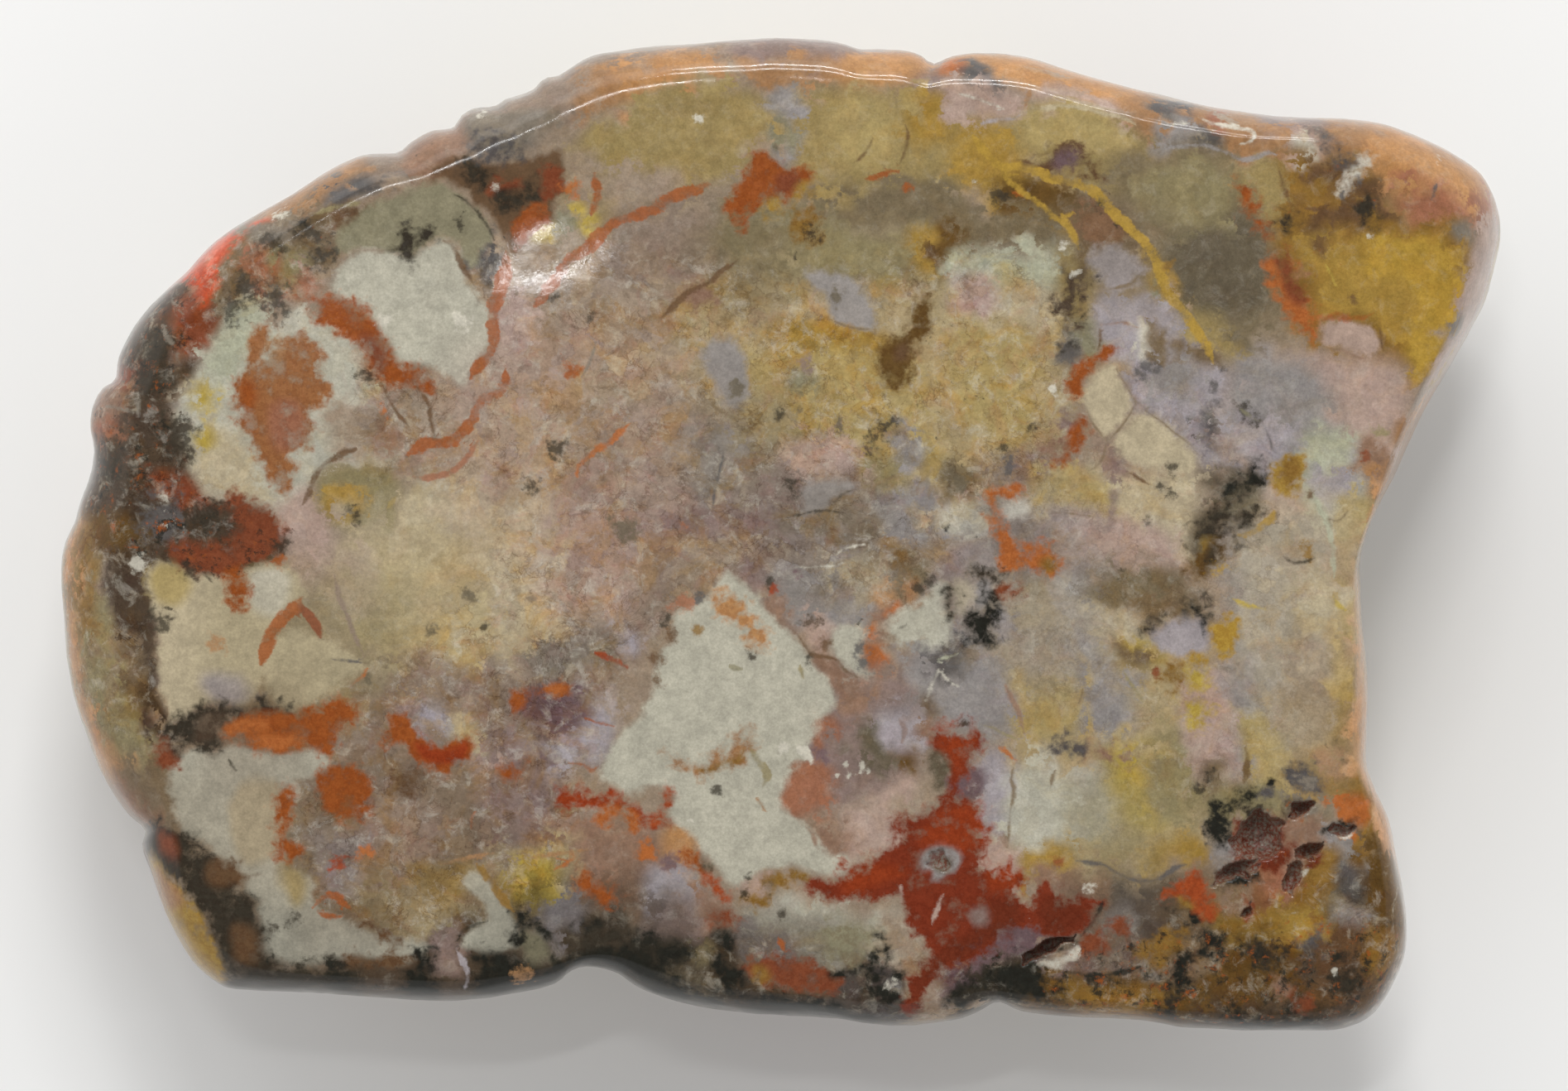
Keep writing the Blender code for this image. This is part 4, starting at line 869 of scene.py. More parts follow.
    ("black", 6.6, ((780, 1168), (812, 1186), (840, 1202), (880, 1210), (880, 1232), (780, 1215))),
    # the upper east: the gold arc, the lilac field and the rust veins
    ("umber", 6.4, ((1252, 198), (1262, 184), (1276, 175), (1292, 174), (1308, 184), (1318, 194),
                  (1325, 208), (1324, 220), (1305, 213), (1284, 209), (1264, 206))),
    ("plum", 8, ((1268, 190), (1285, 180), (1304, 190), (1300, 204), (1276, 204))),
    ("rust", 4.8, ((1286, 466), (1290, 455), (1300, 445), (1312, 437), (1326, 431), (1346, 426),
                 (1340, 436), (1324, 444), (1312, 453), (1305, 463), (1303, 479), (1294, 485),
                 (1286, 480))),
    ("rust", 4.8, ((1304, 496), (1313, 500), (1319, 515), (1319, 532), (1314, 543), (1300, 549),
                 (1291, 559), (1279, 563), (1269, 558), (1266, 548), (1284, 540), (1292, 520),
                 (1298, 506))),
    ("clay", 8, ((1258, 540), (1268, 530), (1284, 526), (1290, 540), (1280, 552), (1264, 552))),
    ("mauve", 6.4, ((1284, 498), (1300, 494), (1302, 512), (1290, 520), (1282, 512))),
    ("orange", 4.8, ((1196, 590), (1214, 591), (1238, 589), (1240, 596), (1222, 601), (1207, 602),
                   (1206, 622), (1214, 640), (1223, 660), (1214, 668), (1207, 642), (1199, 622),
                   (1198, 605))),
    ("orange", 6.4, ((1214, 668), (1226, 652), (1232, 668), (1226, 684), (1214, 680))),
    ("rust", 8, ((1500, 226), (1514, 238), (1526, 262), (1532, 282), (1520, 276), (1506, 252),
                 (1498, 236))),
    ("black", 11, ((1466, 592), (1480, 580), (1500, 577), (1520, 564), (1528, 580), (1510, 600),
                  (1484, 600))),
    ("bog", 11, ((1450, 634), (1462, 616), (1480, 614), (1482, 640), (1474, 662), (1456, 668),
                (1448, 652))),
    ("mustard", 6.4, ((1452, 656), (1474, 652), (1476, 668), (1456, 672))),
    ("bog", 11, ((1488, 640), (1506, 620), (1524, 616), (1516, 640), (1496, 652))),
    ("peat", 8.8, ((1284, 335), (1300, 318), (1312, 330), (1306, 360), (1312, 380), (1300, 392),
                 (1284, 380), (1276, 362))),
    ("sage", 4.8, ((1392, 344), (1404, 344), (1404, 356), (1393, 356))),
    # the lower east: the cream block, the red band, the pits and the dark foot
    ("rust_red", 4, ((1130, 888), (1160, 886), (1189, 888), (1182, 903), (1170, 918), (1160, 934),
                       (1154, 946), (1156, 960), (1174, 966), (1181, 982), (1184, 1002), (1189, 1018),
                       (1188, 1036), (1180, 1047), (1200, 1058), (1220, 1064), (1240, 1062),
                       (1239, 1070), (1230, 1080), (1232, 1092), (1246, 1100), (1252, 1084),
                       (1262, 1072), (1280, 1080), (1300, 1089), (1330, 1094), (1324, 1108),
                       (1306, 1128), (1280, 1130), (1250, 1128), (1212, 1130), (1196, 1146),
                       (1176, 1160), (1150, 1172), (1130, 1184), (1120, 1200), (1100, 1228),
                       (1086, 1222), (1098, 1198), (1090, 1186), (1112, 1170), (1124, 1150),
                       (1118, 1132), (1102, 1124), (1092, 1104), (1086, 1090), (1050, 1089),
                       (1016, 1082), (1000, 1086), (988, 1078), (976, 1068), (990, 1060),
                       (1012, 1061), (1030, 1054), (1048, 1044), (1066, 1038), (1082, 1020),
                       (1092, 1008), (1078, 1000), (1074, 990), (1086, 990), (1104, 990),
                       (1118, 984), (1130, 974), (1136, 956), (1146, 944), (1142, 920),
                       (1130, 905))),
    ("red", 9.6, ((1136, 890), (1180, 890), (1164, 912), (1150, 930), (1142, 912))),
    ("red", 9.6, ((1150, 968), (1176, 975), (1184, 1030), (1150, 1030), (1110, 1010), (1130, 990))),
    ("red", 8, ((1196, 1060), (1238, 1064), (1228, 1078), (1196, 1074))),
    ("red", 9.6, ((1020, 1060), (1066, 1044), (1100, 1056), (1060, 1072), (1020, 1074))),
    ("oxblood", 9.6, ((1200, 1090), (1228, 1094), (1226, 1126), (1196, 1140), (1150, 1166), (1140, 1150),
                    (1180, 1120))),
    ("oxblood", 9.6, ((1256, 1092), (1320, 1098), (1300, 1124), (1258, 1124))),
    ("oxblood", 9.6, ((1120, 1160), (1150, 1150), (1130, 1182), (1100, 1210), (1100, 1190))),
    ("mauve", 4.8, ((1177, 1096), (1194, 1098), (1196, 1112), (1180, 1116))),
    ("smoke", 4.8, ((1128, 908), (1142, 908), (1146, 930), (1138, 948), (1126, 936))),
    ("mist", 4, ((1114, 1048), (1116, 1032), (1128, 1022), (1146, 1020), (1158, 1028), (1164, 1040),
                   (1158, 1052), (1146, 1054), (1138, 1062), (1128, 1062), (1130, 1052))),
    ("smoke", 4.8, ((1130, 1048), (1132, 1036), (1144, 1034), (1152, 1042), (1148, 1051), (1136, 1052))),
    ("black", 6.6, ((1168, 772), (1168, 758), (1176, 742), (1186, 731), (1194, 716), (1201, 708),
                  (1202, 730), (1199, 748), (1196, 762), (1206, 769), (1200, 775), (1184, 777))),
    ("brick", 6.4, ((1202, 706), (1220, 699), (1232, 702), (1226, 714), (1208, 720))),
    ("bog", 5.5, ((1170, 690), (1186, 684), (1208, 692), (1220, 688), (1212, 698), (1200, 706),
                  (1190, 700), (1174, 698))),
    ("bog", 6.6, ((1141, 712), (1152, 708), (1154, 730), (1144, 736))),
    ("orange", 6.4, ((1231, 674), (1240, 664), (1262, 664), (1273, 676), (1279, 689), (1268, 697),
                   (1254, 692), (1244, 684))),
    ("ochre", 6.4, ((1254, 678), (1270, 678), (1278, 690), (1262, 694))),
    ("bronze", 6.4, ((1436, 698), (1446, 674), (1457, 660), (1472, 650), (1484, 656), (1478, 672),
                   (1466, 686), (1456, 696))),
    ("bog", 8.8, ((1462, 664), (1476, 656), (1474, 674), (1462, 682))),
    ("black", 7.7, ((1444, 732), (1452, 727), (1459, 740), (1463, 757), (1456, 761), (1448, 748),
                    (1438, 742))),
    ("bog", 7.7, ((1382, 768), (1390, 752), (1404, 742), (1400, 754), (1390, 768))),
    ("gold", 4.8, ((1464, 756), (1478, 750), (1490, 743), (1496, 760), (1487, 784), (1477, 791),
                 (1466, 778))),
    ("gold", 4, ((1437, 796), (1440, 788), (1450, 787), (1456, 796), (1450, 804), (1440, 804))),
    ("ochre", 6.4, ((1402, 810), (1426, 808), (1430, 832), (1416, 838), (1406, 824))),
    ("lemon", 6.4, ((1434, 812), (1456, 812), (1456, 832), (1436, 832))),
    ("lemon", 8, ((1438, 846), (1458, 850), (1458, 874), (1442, 876))),
    ("mustard", 4.8, ((1534, 580), (1538, 565), (1548, 555), (1562, 552), (1578, 557), (1582, 567),
                    (1572, 580), (1569, 594), (1554, 596), (1540, 592))),
    ("ochre", 4.8, ((1552, 556), (1570, 556), (1572, 572), (1566, 586), (1554, 584))),
    ("slate", 6.6, ((1271, 898), (1286, 893), (1302, 899), (1318, 904), (1306, 911), (1290, 906),
                  (1276, 904))),
    ("clay", 8, ((1310, 906), (1344, 904), (1364, 918), (1330, 922))),
    ("ember", 4.8, ((1404, 1078), (1414, 1068), (1428, 1062), (1441, 1052), (1452, 1054),
                    (1458, 1068), (1464, 1082), (1473, 1092), (1472, 1106), (1463, 1119),
                    (1452, 1112), (1443, 1102), (1441, 1086), (1427, 1080), (1415, 1091))),
    ("ochre", 6.4, ((1418, 1088), (1428, 1083), (1442, 1088), (1444, 1102), (1428, 1098))),
    ("black", 7.7, ((1418, 1096), (1440, 1106), (1454, 1116), (1470, 1126), (1476, 1140),
                    (1466, 1151), (1446, 1150), (1452, 1136), (1442, 1120))),
    ("ochre", 5.6, ((1370, 1147), (1380, 1138), (1396, 1134), (1412, 1129), (1428, 1126),
                    (1437, 1130), (1430, 1142), (1422, 1156), (1412, 1169), (1398, 1169),
                    (1384, 1161), (1374, 1158))),
    ("brick", 6.4, ((1302, 1134), (1330, 1126), (1334, 1146), (1312, 1152))),
    ("brick", 6.4, ((1340, 1122), (1359, 1118), (1360, 1134), (1344, 1136))),
    # the black below lies in the rift vug: painted shade in its hollow, over the sunk geometry; the chalk
    # after it is the rift's white crystal rim, partly painted glints
    ("black", 5.5, ((1250, 1160), (1262, 1145), (1276, 1137), (1298, 1132), (1290, 1142),
                    (1274, 1150), (1262, 1158))),
    ("chalk", 3.2, ((1252, 1166), (1264, 1154), (1280, 1147), (1300, 1140), (1300, 1148), (1282, 1158),
                  (1268, 1167))),
    # the black and bog patches from here down to the second bog: painted shade along the bottom edge, partly
    # real dark stone
    ("black", 8.8, ((1200, 1172), (1244, 1160), (1262, 1170), (1266, 1184), (1292, 1190), (1290, 1199),
                  (1266, 1200), (1262, 1212), (1240, 1206), (1214, 1208), (1202, 1196))),
    ("black", 7.7, ((1152, 1204), (1166, 1188), (1184, 1177), (1200, 1180), (1198, 1190),
                    (1180, 1188), (1168, 1200), (1160, 1212))),
    ("black", 6.6, ((1382, 1172), (1410, 1170), (1420, 1150), (1440, 1152), (1440, 1170), (1434, 1184),
                  (1400, 1188))),
    ("bog", 8.8, ((1404, 1200), (1418, 1194), (1426, 1212), (1420, 1232), (1406, 1228))),
    ("bog", 6.6, ((1306, 1176), (1322, 1176), (1334, 1188), (1314, 1188))),
    ("black", 6.6, ((1456, 1002), (1460, 985), (1475, 974), (1490, 970), (1500, 957), (1518, 954),
                  (1512, 970), (1497, 981), (1486, 991), (1491, 1002), (1486, 1014), (1470, 1017),
                  (1460, 1012))),
    ("oxblood", 6.4, ((1502, 990), (1530, 984), (1548, 990), (1556, 1010), (1556, 1042), (1520, 1046),
                    (1500, 1036))),
    ("bog", 6.6, ((1510, 976), (1526, 978), (1542, 988), (1530, 996), (1508, 992))),
    ("mist", 4.8, ((1516, 1006), (1536, 1004), (1540, 1018), (1522, 1022))),
    ("peat", 5.5, ((1556, 988), (1562, 976), (1572, 968), (1583, 977), (1572, 980), (1564, 988))),
    ("black", 4.4, ((1598, 1003), (1612, 997), (1637, 997), (1636, 1003), (1616, 1005))),
    ("oxblood", 4, ((1578, 1046), (1586, 1034), (1598, 1029), (1597, 1040), (1586, 1047))),
    ("oxblood", 4.8, ((1561, 1052), (1578, 1055), (1578, 1068), (1564, 1076))),
    # the black below lies in the slit vug: painted shade in its hollow, over the sunk geometry
    ("black", 5.5, ((1478, 1073), (1484, 1061), (1496, 1055), (1520, 1048), (1516, 1056),
                    (1500, 1063), (1488, 1069))),
    ("brick", 4, ((1502, 1084), (1512, 1088), (1514, 1106), (1504, 1112), (1507, 1098))),
    ("bog", 8.8, ((1506, 1140), (1530, 1134), (1546, 1144), (1546, 1156), (1524, 1164))),
    ("slate", 7.7, ((1577, 1130), (1590, 1130), (1592, 1156), (1580, 1158))),
    ("peat", 8.8, ((1560, 1162), (1584, 1162), (1586, 1182), (1566, 1182))),
    ("bog", 11, ((1612, 1176), (1640, 1164), (1652, 1190), (1640, 1212), (1616, 1200))),
    ("clay", 6.4, ((1536, 1186), (1552, 1186), (1552, 1204), (1538, 1204))),
    ("brick", 5.6, ((1556, 1200), (1580, 1200), (1582, 1220), (1560, 1222))),
    # painted shade along the bottom edge
    ("black", 8.8, ((1496, 1232), (1540, 1228), (1600, 1236), (1600, 1256), (1496, 1256))),
    # the gold end
    ("orange", 4.8, ((1528, 312), (1540, 300), (1552, 294), (1560, 310), (1572, 330), (1580, 346),
                   (1581, 362), (1586, 380), (1593, 395), (1590, 412), (1578, 400), (1564, 384),
                   (1550, 365), (1538, 346))),
    ("brick", 5.6, ((1540, 304), (1554, 296), (1562, 318), (1578, 345), (1578, 365), (1562, 362),
                    (1548, 335))),
    ("tan", 4.8, ((1562, 332), (1574, 326), (1584, 332), (1574, 342))),
    ("bog", 6.6, ((1642, 246), (1650, 239), (1661, 240), (1667, 253), (1669, 263), (1660, 269),
                (1649, 262))),
    ("bog", 6.6, ((1550, 262), (1562, 256), (1568, 268), (1558, 274))),
    ("slate", 6.6, ((1586, 154), (1602, 160), (1618, 172), (1632, 190), (1640, 206), (1632, 210),
                  (1622, 196), (1608, 180), (1592, 166))),
    ("chalk", 4.8, ((1618, 222), (1624, 210), (1638, 200), (1644, 210), (1632, 220), (1622, 230))),
    ("chalk", 4.8, ((1640, 190), (1650, 182), (1656, 190), (1646, 198))),
    ("slate", 5.5, ((1560, 938), (1572, 922), (1586, 918), (1592, 940), (1596, 956), (1580, 958),
                    (1564, 950))),
    ("black", 5.5, ((1500, 952), (1518, 948), (1522, 966), (1504, 972))),
    ("black", 4.4, ((1534, 946), (1546, 947), (1545, 954), (1535, 953))),
    ("slate", 5.5, ((1526, 958), (1542, 956), (1540, 966), (1528, 966))),
    ("bog", 4.4, ((1612, 900), (1620, 896), (1625, 900), (1618, 906))),
)
MARKS = (
    # the west end: the dark rim, the ring with the leaf, the cream block and the foot
    ("bog", 6.6, ((165, 405), (200, 400), (205, 430), (185, 445), (165, 435))),
    ("bog", 6.6, ((212, 500), (226, 505), (232, 552), (222, 558), (208, 545), (202, 520))),
    ("bog", 6.6, ((230, 612), (268, 605), (270, 628), (250, 645), (228, 640))),
    ("slate", 8.8, ((175, 605), (212, 600), (220, 630), (200, 650), (172, 640))),
    ("bog", 6.6, ((160, 448), (200, 445), (205, 468), (172, 472))),
    ("bog", 6.6, ((122, 555), (145, 552), (142, 580), (126, 578))),
    ("chalk", 2.4, ((162, 672), (176, 668), (178, 685), (164, 692))),
    ("chalk", 3.2, ((190, 598), (202, 595), (204, 604), (194, 608))),
    ("bog", 4.4, ((326, 652), (345, 654), (342, 668), (328, 666))),
    ("rust", 3.2, ((328, 668), (340, 668), (338, 690), (330, 688))),
    ("bog", 4.4, ((316, 292), (338, 292), (336, 308), (320, 308))),
    ("bog", 6.6, ((362, 268), (376, 266), (378, 292), (362, 290))),
    ("bog", 6.6, ((376, 300), (400, 298), (396, 318), (378, 320))),
    ("bog", 6.6, ((322, 345), (332, 342), (350, 365), (345, 382), (328, 380))),
    ("bog", 5.5, ((275, 368), (292, 366), (286, 384), (272, 386))),
    ("bog", 5.5, ((288, 345), (310, 340), (308, 360), (292, 360))),
    ("bog", 4.4, ((182, 745), (196, 742), (208, 752), (196, 762), (184, 758))),
    ("bog", 3.3, ((222, 684), (236, 686), (234, 698), (226, 698))),
    ("bog", 3.3, ((422, 614), (435, 616), (434, 629), (424, 628))),
    ("bog", 3.3, ((350, 1108), (360, 1108), (358, 1118), (350, 1126))),
    ("tan", 3.2, ((258, 768), (272, 772), (270, 783), (258, 780))),
    ("red", 3.2, ((402, 1036), (414, 1038), (412, 1050), (402, 1048))),
    ("chalk", 2.4, ((334, 256), (346, 257), (345, 263), (335, 263))),
    ("bog", 4.4, ((350, 1170), (372, 1172), (368, 1184), (352, 1182))),
    ("black", 4.4, ((392, 1175), (420, 1178), (418, 1188), (396, 1186))),
    # west of the middle: the scalloped rim, the brown block, the upper island, the cream field
    ("bog", 5.5, ((666, 540), (680, 538), (682, 550), (670, 552))),
    ("bog", 4.4, ((632, 582), (644, 582), (643, 592), (634, 592))),
    ("bog", 3.3, ((706, 378), (714, 379), (713, 388), (707, 387))),
    ("bog", 4.4, ((662, 358), (674, 358), (673, 367), (664, 367))),
    ("bog", 3.3, ((580, 754), (590, 755), (589, 764), (581, 763))),
    ("smoke", 3.2, ((558, 712), (572, 714), (571, 723), (560, 722))),
    ("smoke", 3.2, ((514, 757), (524, 758), (522, 767), (515, 767))),
    ("smoke", 4.8, ((746, 630), (768, 630), (766, 652), (750, 652))),
    ("bog", 4.4, ((548, 268), (558, 268), (557, 277), (549, 276))),
    ("chalk", 4.8, ((554, 382), (568, 384), (566, 396), (555, 395))),
    ("chalk", 3.2, ((464, 382), (474, 384), (473, 392), (465, 391))),
    ("rust", 4.8, ((684, 434), (696, 434), (697, 445), (686, 445))),
    ("orange", 3.2, ((684, 222), (692, 222), (690, 238), (683, 238))),
    ("bog", 4.4, ((434, 450), (446, 450), (445, 460), (436, 460))),
    ("orange", 3.2, ((456, 496), (466, 496), (465, 504), (457, 504))),
    ("tan", 3.2, ((622, 1176), (640, 1170), (642, 1178), (626, 1187))),
    ("orange", 3.2, ((434, 1026), (446, 1026), (445, 1036), (435, 1036))),
    ("smoke", 3.2, ((435, 818), (448, 816), (446, 826), (437, 826))),
    ("mauve", 6.4, ((608, 966), (628, 964), (634, 980), (622, 990), (608, 984))),
    ("chalk", 1.9, ((578, 134), (586, 134), (584, 142), (579, 141))),
    ("chalk", 1.9, ((598, 224), (606, 226), (605, 231), (599, 230))),
    # the middle: the olive top, the mustard and lilac centre, the great pale island
    ("smoke", 3.2, ((1003, 352), (1016, 352), (1015, 364), (1004, 363))),
    ("mauve", 3.2, ((970, 434), (981, 434), (980, 446), (971, 445))),
    ("smoke", 3.2, ((880, 462), (893, 460), (894, 480), (882, 484))),
    ("bog", 3.3, ((935, 500), (945, 501), (944, 510), (936, 509))),
    ("smoke", 2.4, ((958, 490), (965, 491), (964, 497), (959, 496))),
    ("smoke", 3.2, ((1009, 508), (1020, 509), (1019, 521), (1010, 520))),
    ("bog", 4.4, ((1053, 535), (1058, 520), (1068, 510), (1081, 508), (1079, 518), (1068, 530),
                (1060, 546), (1049, 551))),
    ("bog", 4.4, ((950, 584), (962, 586), (960, 598), (951, 597))),
    ("black", 3.3, ((1136, 638), (1144, 639), (1143, 647), (1137, 646))),
    ("bog", 4.4, ((978, 278), (988, 278), (987, 288), (979, 287))),
    ("smoke", 3.2, ((934, 173), (943, 174), (942, 183), (935, 182))),
    ("red", 2.4, ((932, 709), (941, 710), (941, 719), (933, 718))),
    ("bog", 3.3, ((927, 704), (934, 705), (933, 712), (928, 711))),
    ("plum", 3.2, ((961, 693), (971, 693), (970, 702), (962, 701))),
    ("peat", 4.4, ((972, 747), (984, 747), (983, 758), (973, 758))),
    ("slate", 3.3, ((841, 715), (850, 714), (849, 726), (842, 725))),
    ("bog", 3.3, ((800, 744), (808, 745), (807, 752), (801, 751))),
    ("ochre", 2.4, ((839, 758), (848, 760), (847, 768), (840, 767))),
    ("bog", 3.3, ((901, 785), (909, 786), (908, 793), (902, 792))),
    ("bog", 3.3, ((974, 796), (982, 796), (981, 803), (975, 803))),
    ("bog", 3.3, ((864, 951), (871, 951), (872, 959), (865, 958))),
    ("umber", 3.2, ((809, 758), (817, 758), (818, 778), (811, 778))),
    ("umber", 3.2, ((793, 790), (802, 788), (800, 806), (794, 806))),
    ("umber", 2.4, ((790, 822), (798, 822), (797, 828), (791, 828))),
    ("terracotta", 4.8, ((810, 720), (826, 718), (828, 734), (812, 736))),
    ("umber", 3.2, ((996, 772), (1005, 772), (1006, 786), (998, 786))),
    ("slate", 4.4, ((1040, 782), (1052, 781), (1053, 794), (1042, 794))),
    ("slate", 3.3, ((1042, 800), (1055, 800), (1054, 808), (1043, 808))),
    ("plum", 3.2, ((984, 904), (999, 904), (998, 915), (986, 915))),
    ("chalk", 1.3, ((943, 901), (956, 900), (956, 908), (948, 911), (942, 907))),
    ("chalk", 1.3, ((966, 907), (982, 904), (984, 912), (980, 920), (974, 914))),
    ("chalk", 1.3, ((1033, 922), (1041, 921), (1041, 930), (1035, 931))),
    ("chalk", 1.1, ((1009, 929), (1014, 929), (1014, 934), (1009, 934))),
    ("chalk", 1.1, ((1019, 916), (1024, 916), (1024, 920), (1019, 920))),
    ("chalk", 1.1, ((1043, 929), (1048, 929), (1048, 933), (1043, 933))),
    ("chalk", 1.1, ((1021, 930), (1026, 930), (1026, 935), (1021, 935))),
    ("chalk", 1.6, ((838, 142), (846, 142), (846, 148), (839, 148))),
    ("bog", 2.6, ((902, 1060), (910, 1061), (909, 1067), (903, 1066))),
    ("bog", 2.6, ((898, 1075), (905, 1076), (904, 1082), (899, 1081))),
    ("smoke", 2.4, ((928, 1070), (938, 1069), (937, 1077), (929, 1077))),
    ("bog", 2.6, ((940, 1098), (947, 1099), (946, 1105), (941, 1104))),
    ("plum", 4, ((804, 1038), (816, 1036), (818, 1052), (806, 1054))),
    ("orange", 4, ((780, 1020), (792, 1018), (790, 1038), (780, 1038))),
    ("chalk", 2.4, ((1068, 1184), (1080, 1186), (1078, 1193), (1068, 1192))),
    ("bog", 3.3, ((1106, 705), (1116, 706), (1115, 715), (1107, 714))),
    ("bog", 3.3, ((1122, 696), (1130, 697), (1129, 705), (1123, 704))),
    ("rust", 2.4, ((1096, 221), (1104, 221), (1104, 229), (1097, 229))),
    ("terracotta", 2.4, ((822, 623), (830, 623), (829, 632), (823, 631))),
    # the upper east: the gold arc, the lilac field and the rust veins
    ("bog", 4.4, ((1325, 239), (1336, 240), (1335, 249), (1327, 248))),
    ("bog", 3.3, ((1352, 268), (1361, 269), (1360, 277), (1353, 276))),
    ("rust", 2.4, ((1227, 227), (1234, 228), (1233, 235), (1228, 234))),
    ("bog", 4.4, ((1206, 232), (1220, 236), (1218, 244), (1207, 242))),
    ("chalk", 1.6, ((1281, 294), (1288, 294), (1288, 300), (1282, 300))),
    ("chalk", 1.6, ((1296, 320), (1305, 322), (1303, 329), (1297, 328))),
    ("chalk", 1.3, ((1173, 218), (1179, 218), (1179, 223), (1174, 223))),
    ("bog", 3.3, ((1275, 412), (1280, 416), (1276, 426), (1271, 424))),
    ("bog", 3.3, ((1291, 410), (1298, 412), (1296, 420), (1290, 419))),
    ("slate", 4.4, ((1210, 560), (1220, 560), (1219, 571), (1211, 570))),
    ("bog", 3.3, ((1204, 545), (1213, 546), (1212, 553), (1205, 552))),
    ("bog", 3.3, ((1241, 514), (1249, 514), (1248, 521), (1242, 520))),
    ("smoke", 3.2, ((1154, 564), (1168, 566), (1174, 584), (1160, 590), (1152, 578))),
    ("bog", 4.4, ((1414, 560), (1422, 560), (1421, 568), (1415, 567))),
    ("bog", 3.3, ((1414, 589), (1423, 590), (1422, 596), (1415, 595))),
    ("bog", 3.3, ((1402, 582), (1408, 584), (1407, 592), (1403, 591))),
    ("bog", 3.3, ((1476, 443), (1483, 444), (1482, 451), (1477, 450))),
    ("bog", 4.4, ((1496, 492), (1514, 496), (1524, 504), (1508, 506), (1497, 500))),
    ("slate", 3.3, ((1460, 465), (1468, 466), (1467, 473), (1461, 472))),
    ("slate", 3.3, ((1466, 486), (1474, 487), (1473, 494), (1467, 493))),
    ("slate", 3.3, ((1452, 489), (1460, 490), (1459, 498), (1453, 497))),
    ("slate", 4.4, ((1375, 440), (1396, 438), (1398, 452), (1380, 454))),
    ("chalk", 1.6, ((1264, 473), (1276, 476), (1277, 484), (1271, 482))),
    ("bog", 3.3, ((1378, 630), (1386, 631), (1385, 638), (1379, 637))),
    # the lower east: the cream block, the red band, the pits and the dark foot
    ("ash", 3.2, ((1575, 938), (1584, 934), (1588, 948), (1580, 954))),
    ("gold", 3.2, ((1468, 684), (1482, 682), (1482, 690), (1470, 691))),
    ("brick", 2.4, ((1394, 810), (1402, 812), (1400, 818), (1395, 816))),
    ("bog", 3.3, ((1446, 948), (1453, 950), (1454, 962), (1448, 960))),
    ("bog", 3.3, ((1456, 928), (1463, 930), (1458, 944), (1453, 940))),
    ("bog", 3.3, ((1158, 873), (1165, 874), (1164, 880), (1159, 879))),
    ("bog", 3.3, ((1348, 684), (1357, 685), (1356, 691), (1349, 690))),
    ("umber", 3.2, ((1634, 358), (1642, 358), (1641, 365), (1635, 365))),
    ("umber", 2.4, ((1582, 594), (1589, 595), (1588, 600), (1583, 600))),
    ("khaki", 3.2, ((1658, 522), (1668, 516), (1678, 522), (1668, 528))),
    ("ochre", 3.2, ((1566, 662), (1576, 660), (1578, 676), (1570, 674))),
    ("chalk", 1.6, ((1738, 192), (1746, 191), (1744, 196), (1739, 197))),
    ("chalk", 1.6, ((1652, 278), (1659, 280), (1658, 285), (1653, 284))),
    ("chalk", 1.9, ((1312, 1074), (1322, 1074), (1321, 1081), (1313, 1081))),
    ("chalk", 1.6, ((1616, 1170), (1623, 1170), (1622, 1175), (1617, 1175))),
    ("chalk", 1.6, ((1576, 1048), (1584, 1049), (1583, 1056), (1577, 1055))),
    ("chalk", 1.6, ((1620, 1004), (1634, 1005), (1632, 1012), (1621, 1011))),
    # the two chalk marks below are painted glints off the crystals in the main hollow
    ("chalk", 1.6, ((1530, 1008), (1540, 1012), (1534, 1018), (1528, 1014))),
    ("chalk", 1.6, ((1511, 1004), (1518, 1005), (1516, 1010), (1511, 1009))),
    ("slate", 4.4, ((1636, 219), (1644, 218), (1643, 226), (1637, 225))),
    ("umber", 3.2, ((1656, 222), (1672, 228), (1670, 234), (1657, 230))),
    ("brick", 3.2, ((1276, 1040), (1284, 1040), (1283, 1047), (1277, 1046))),
)
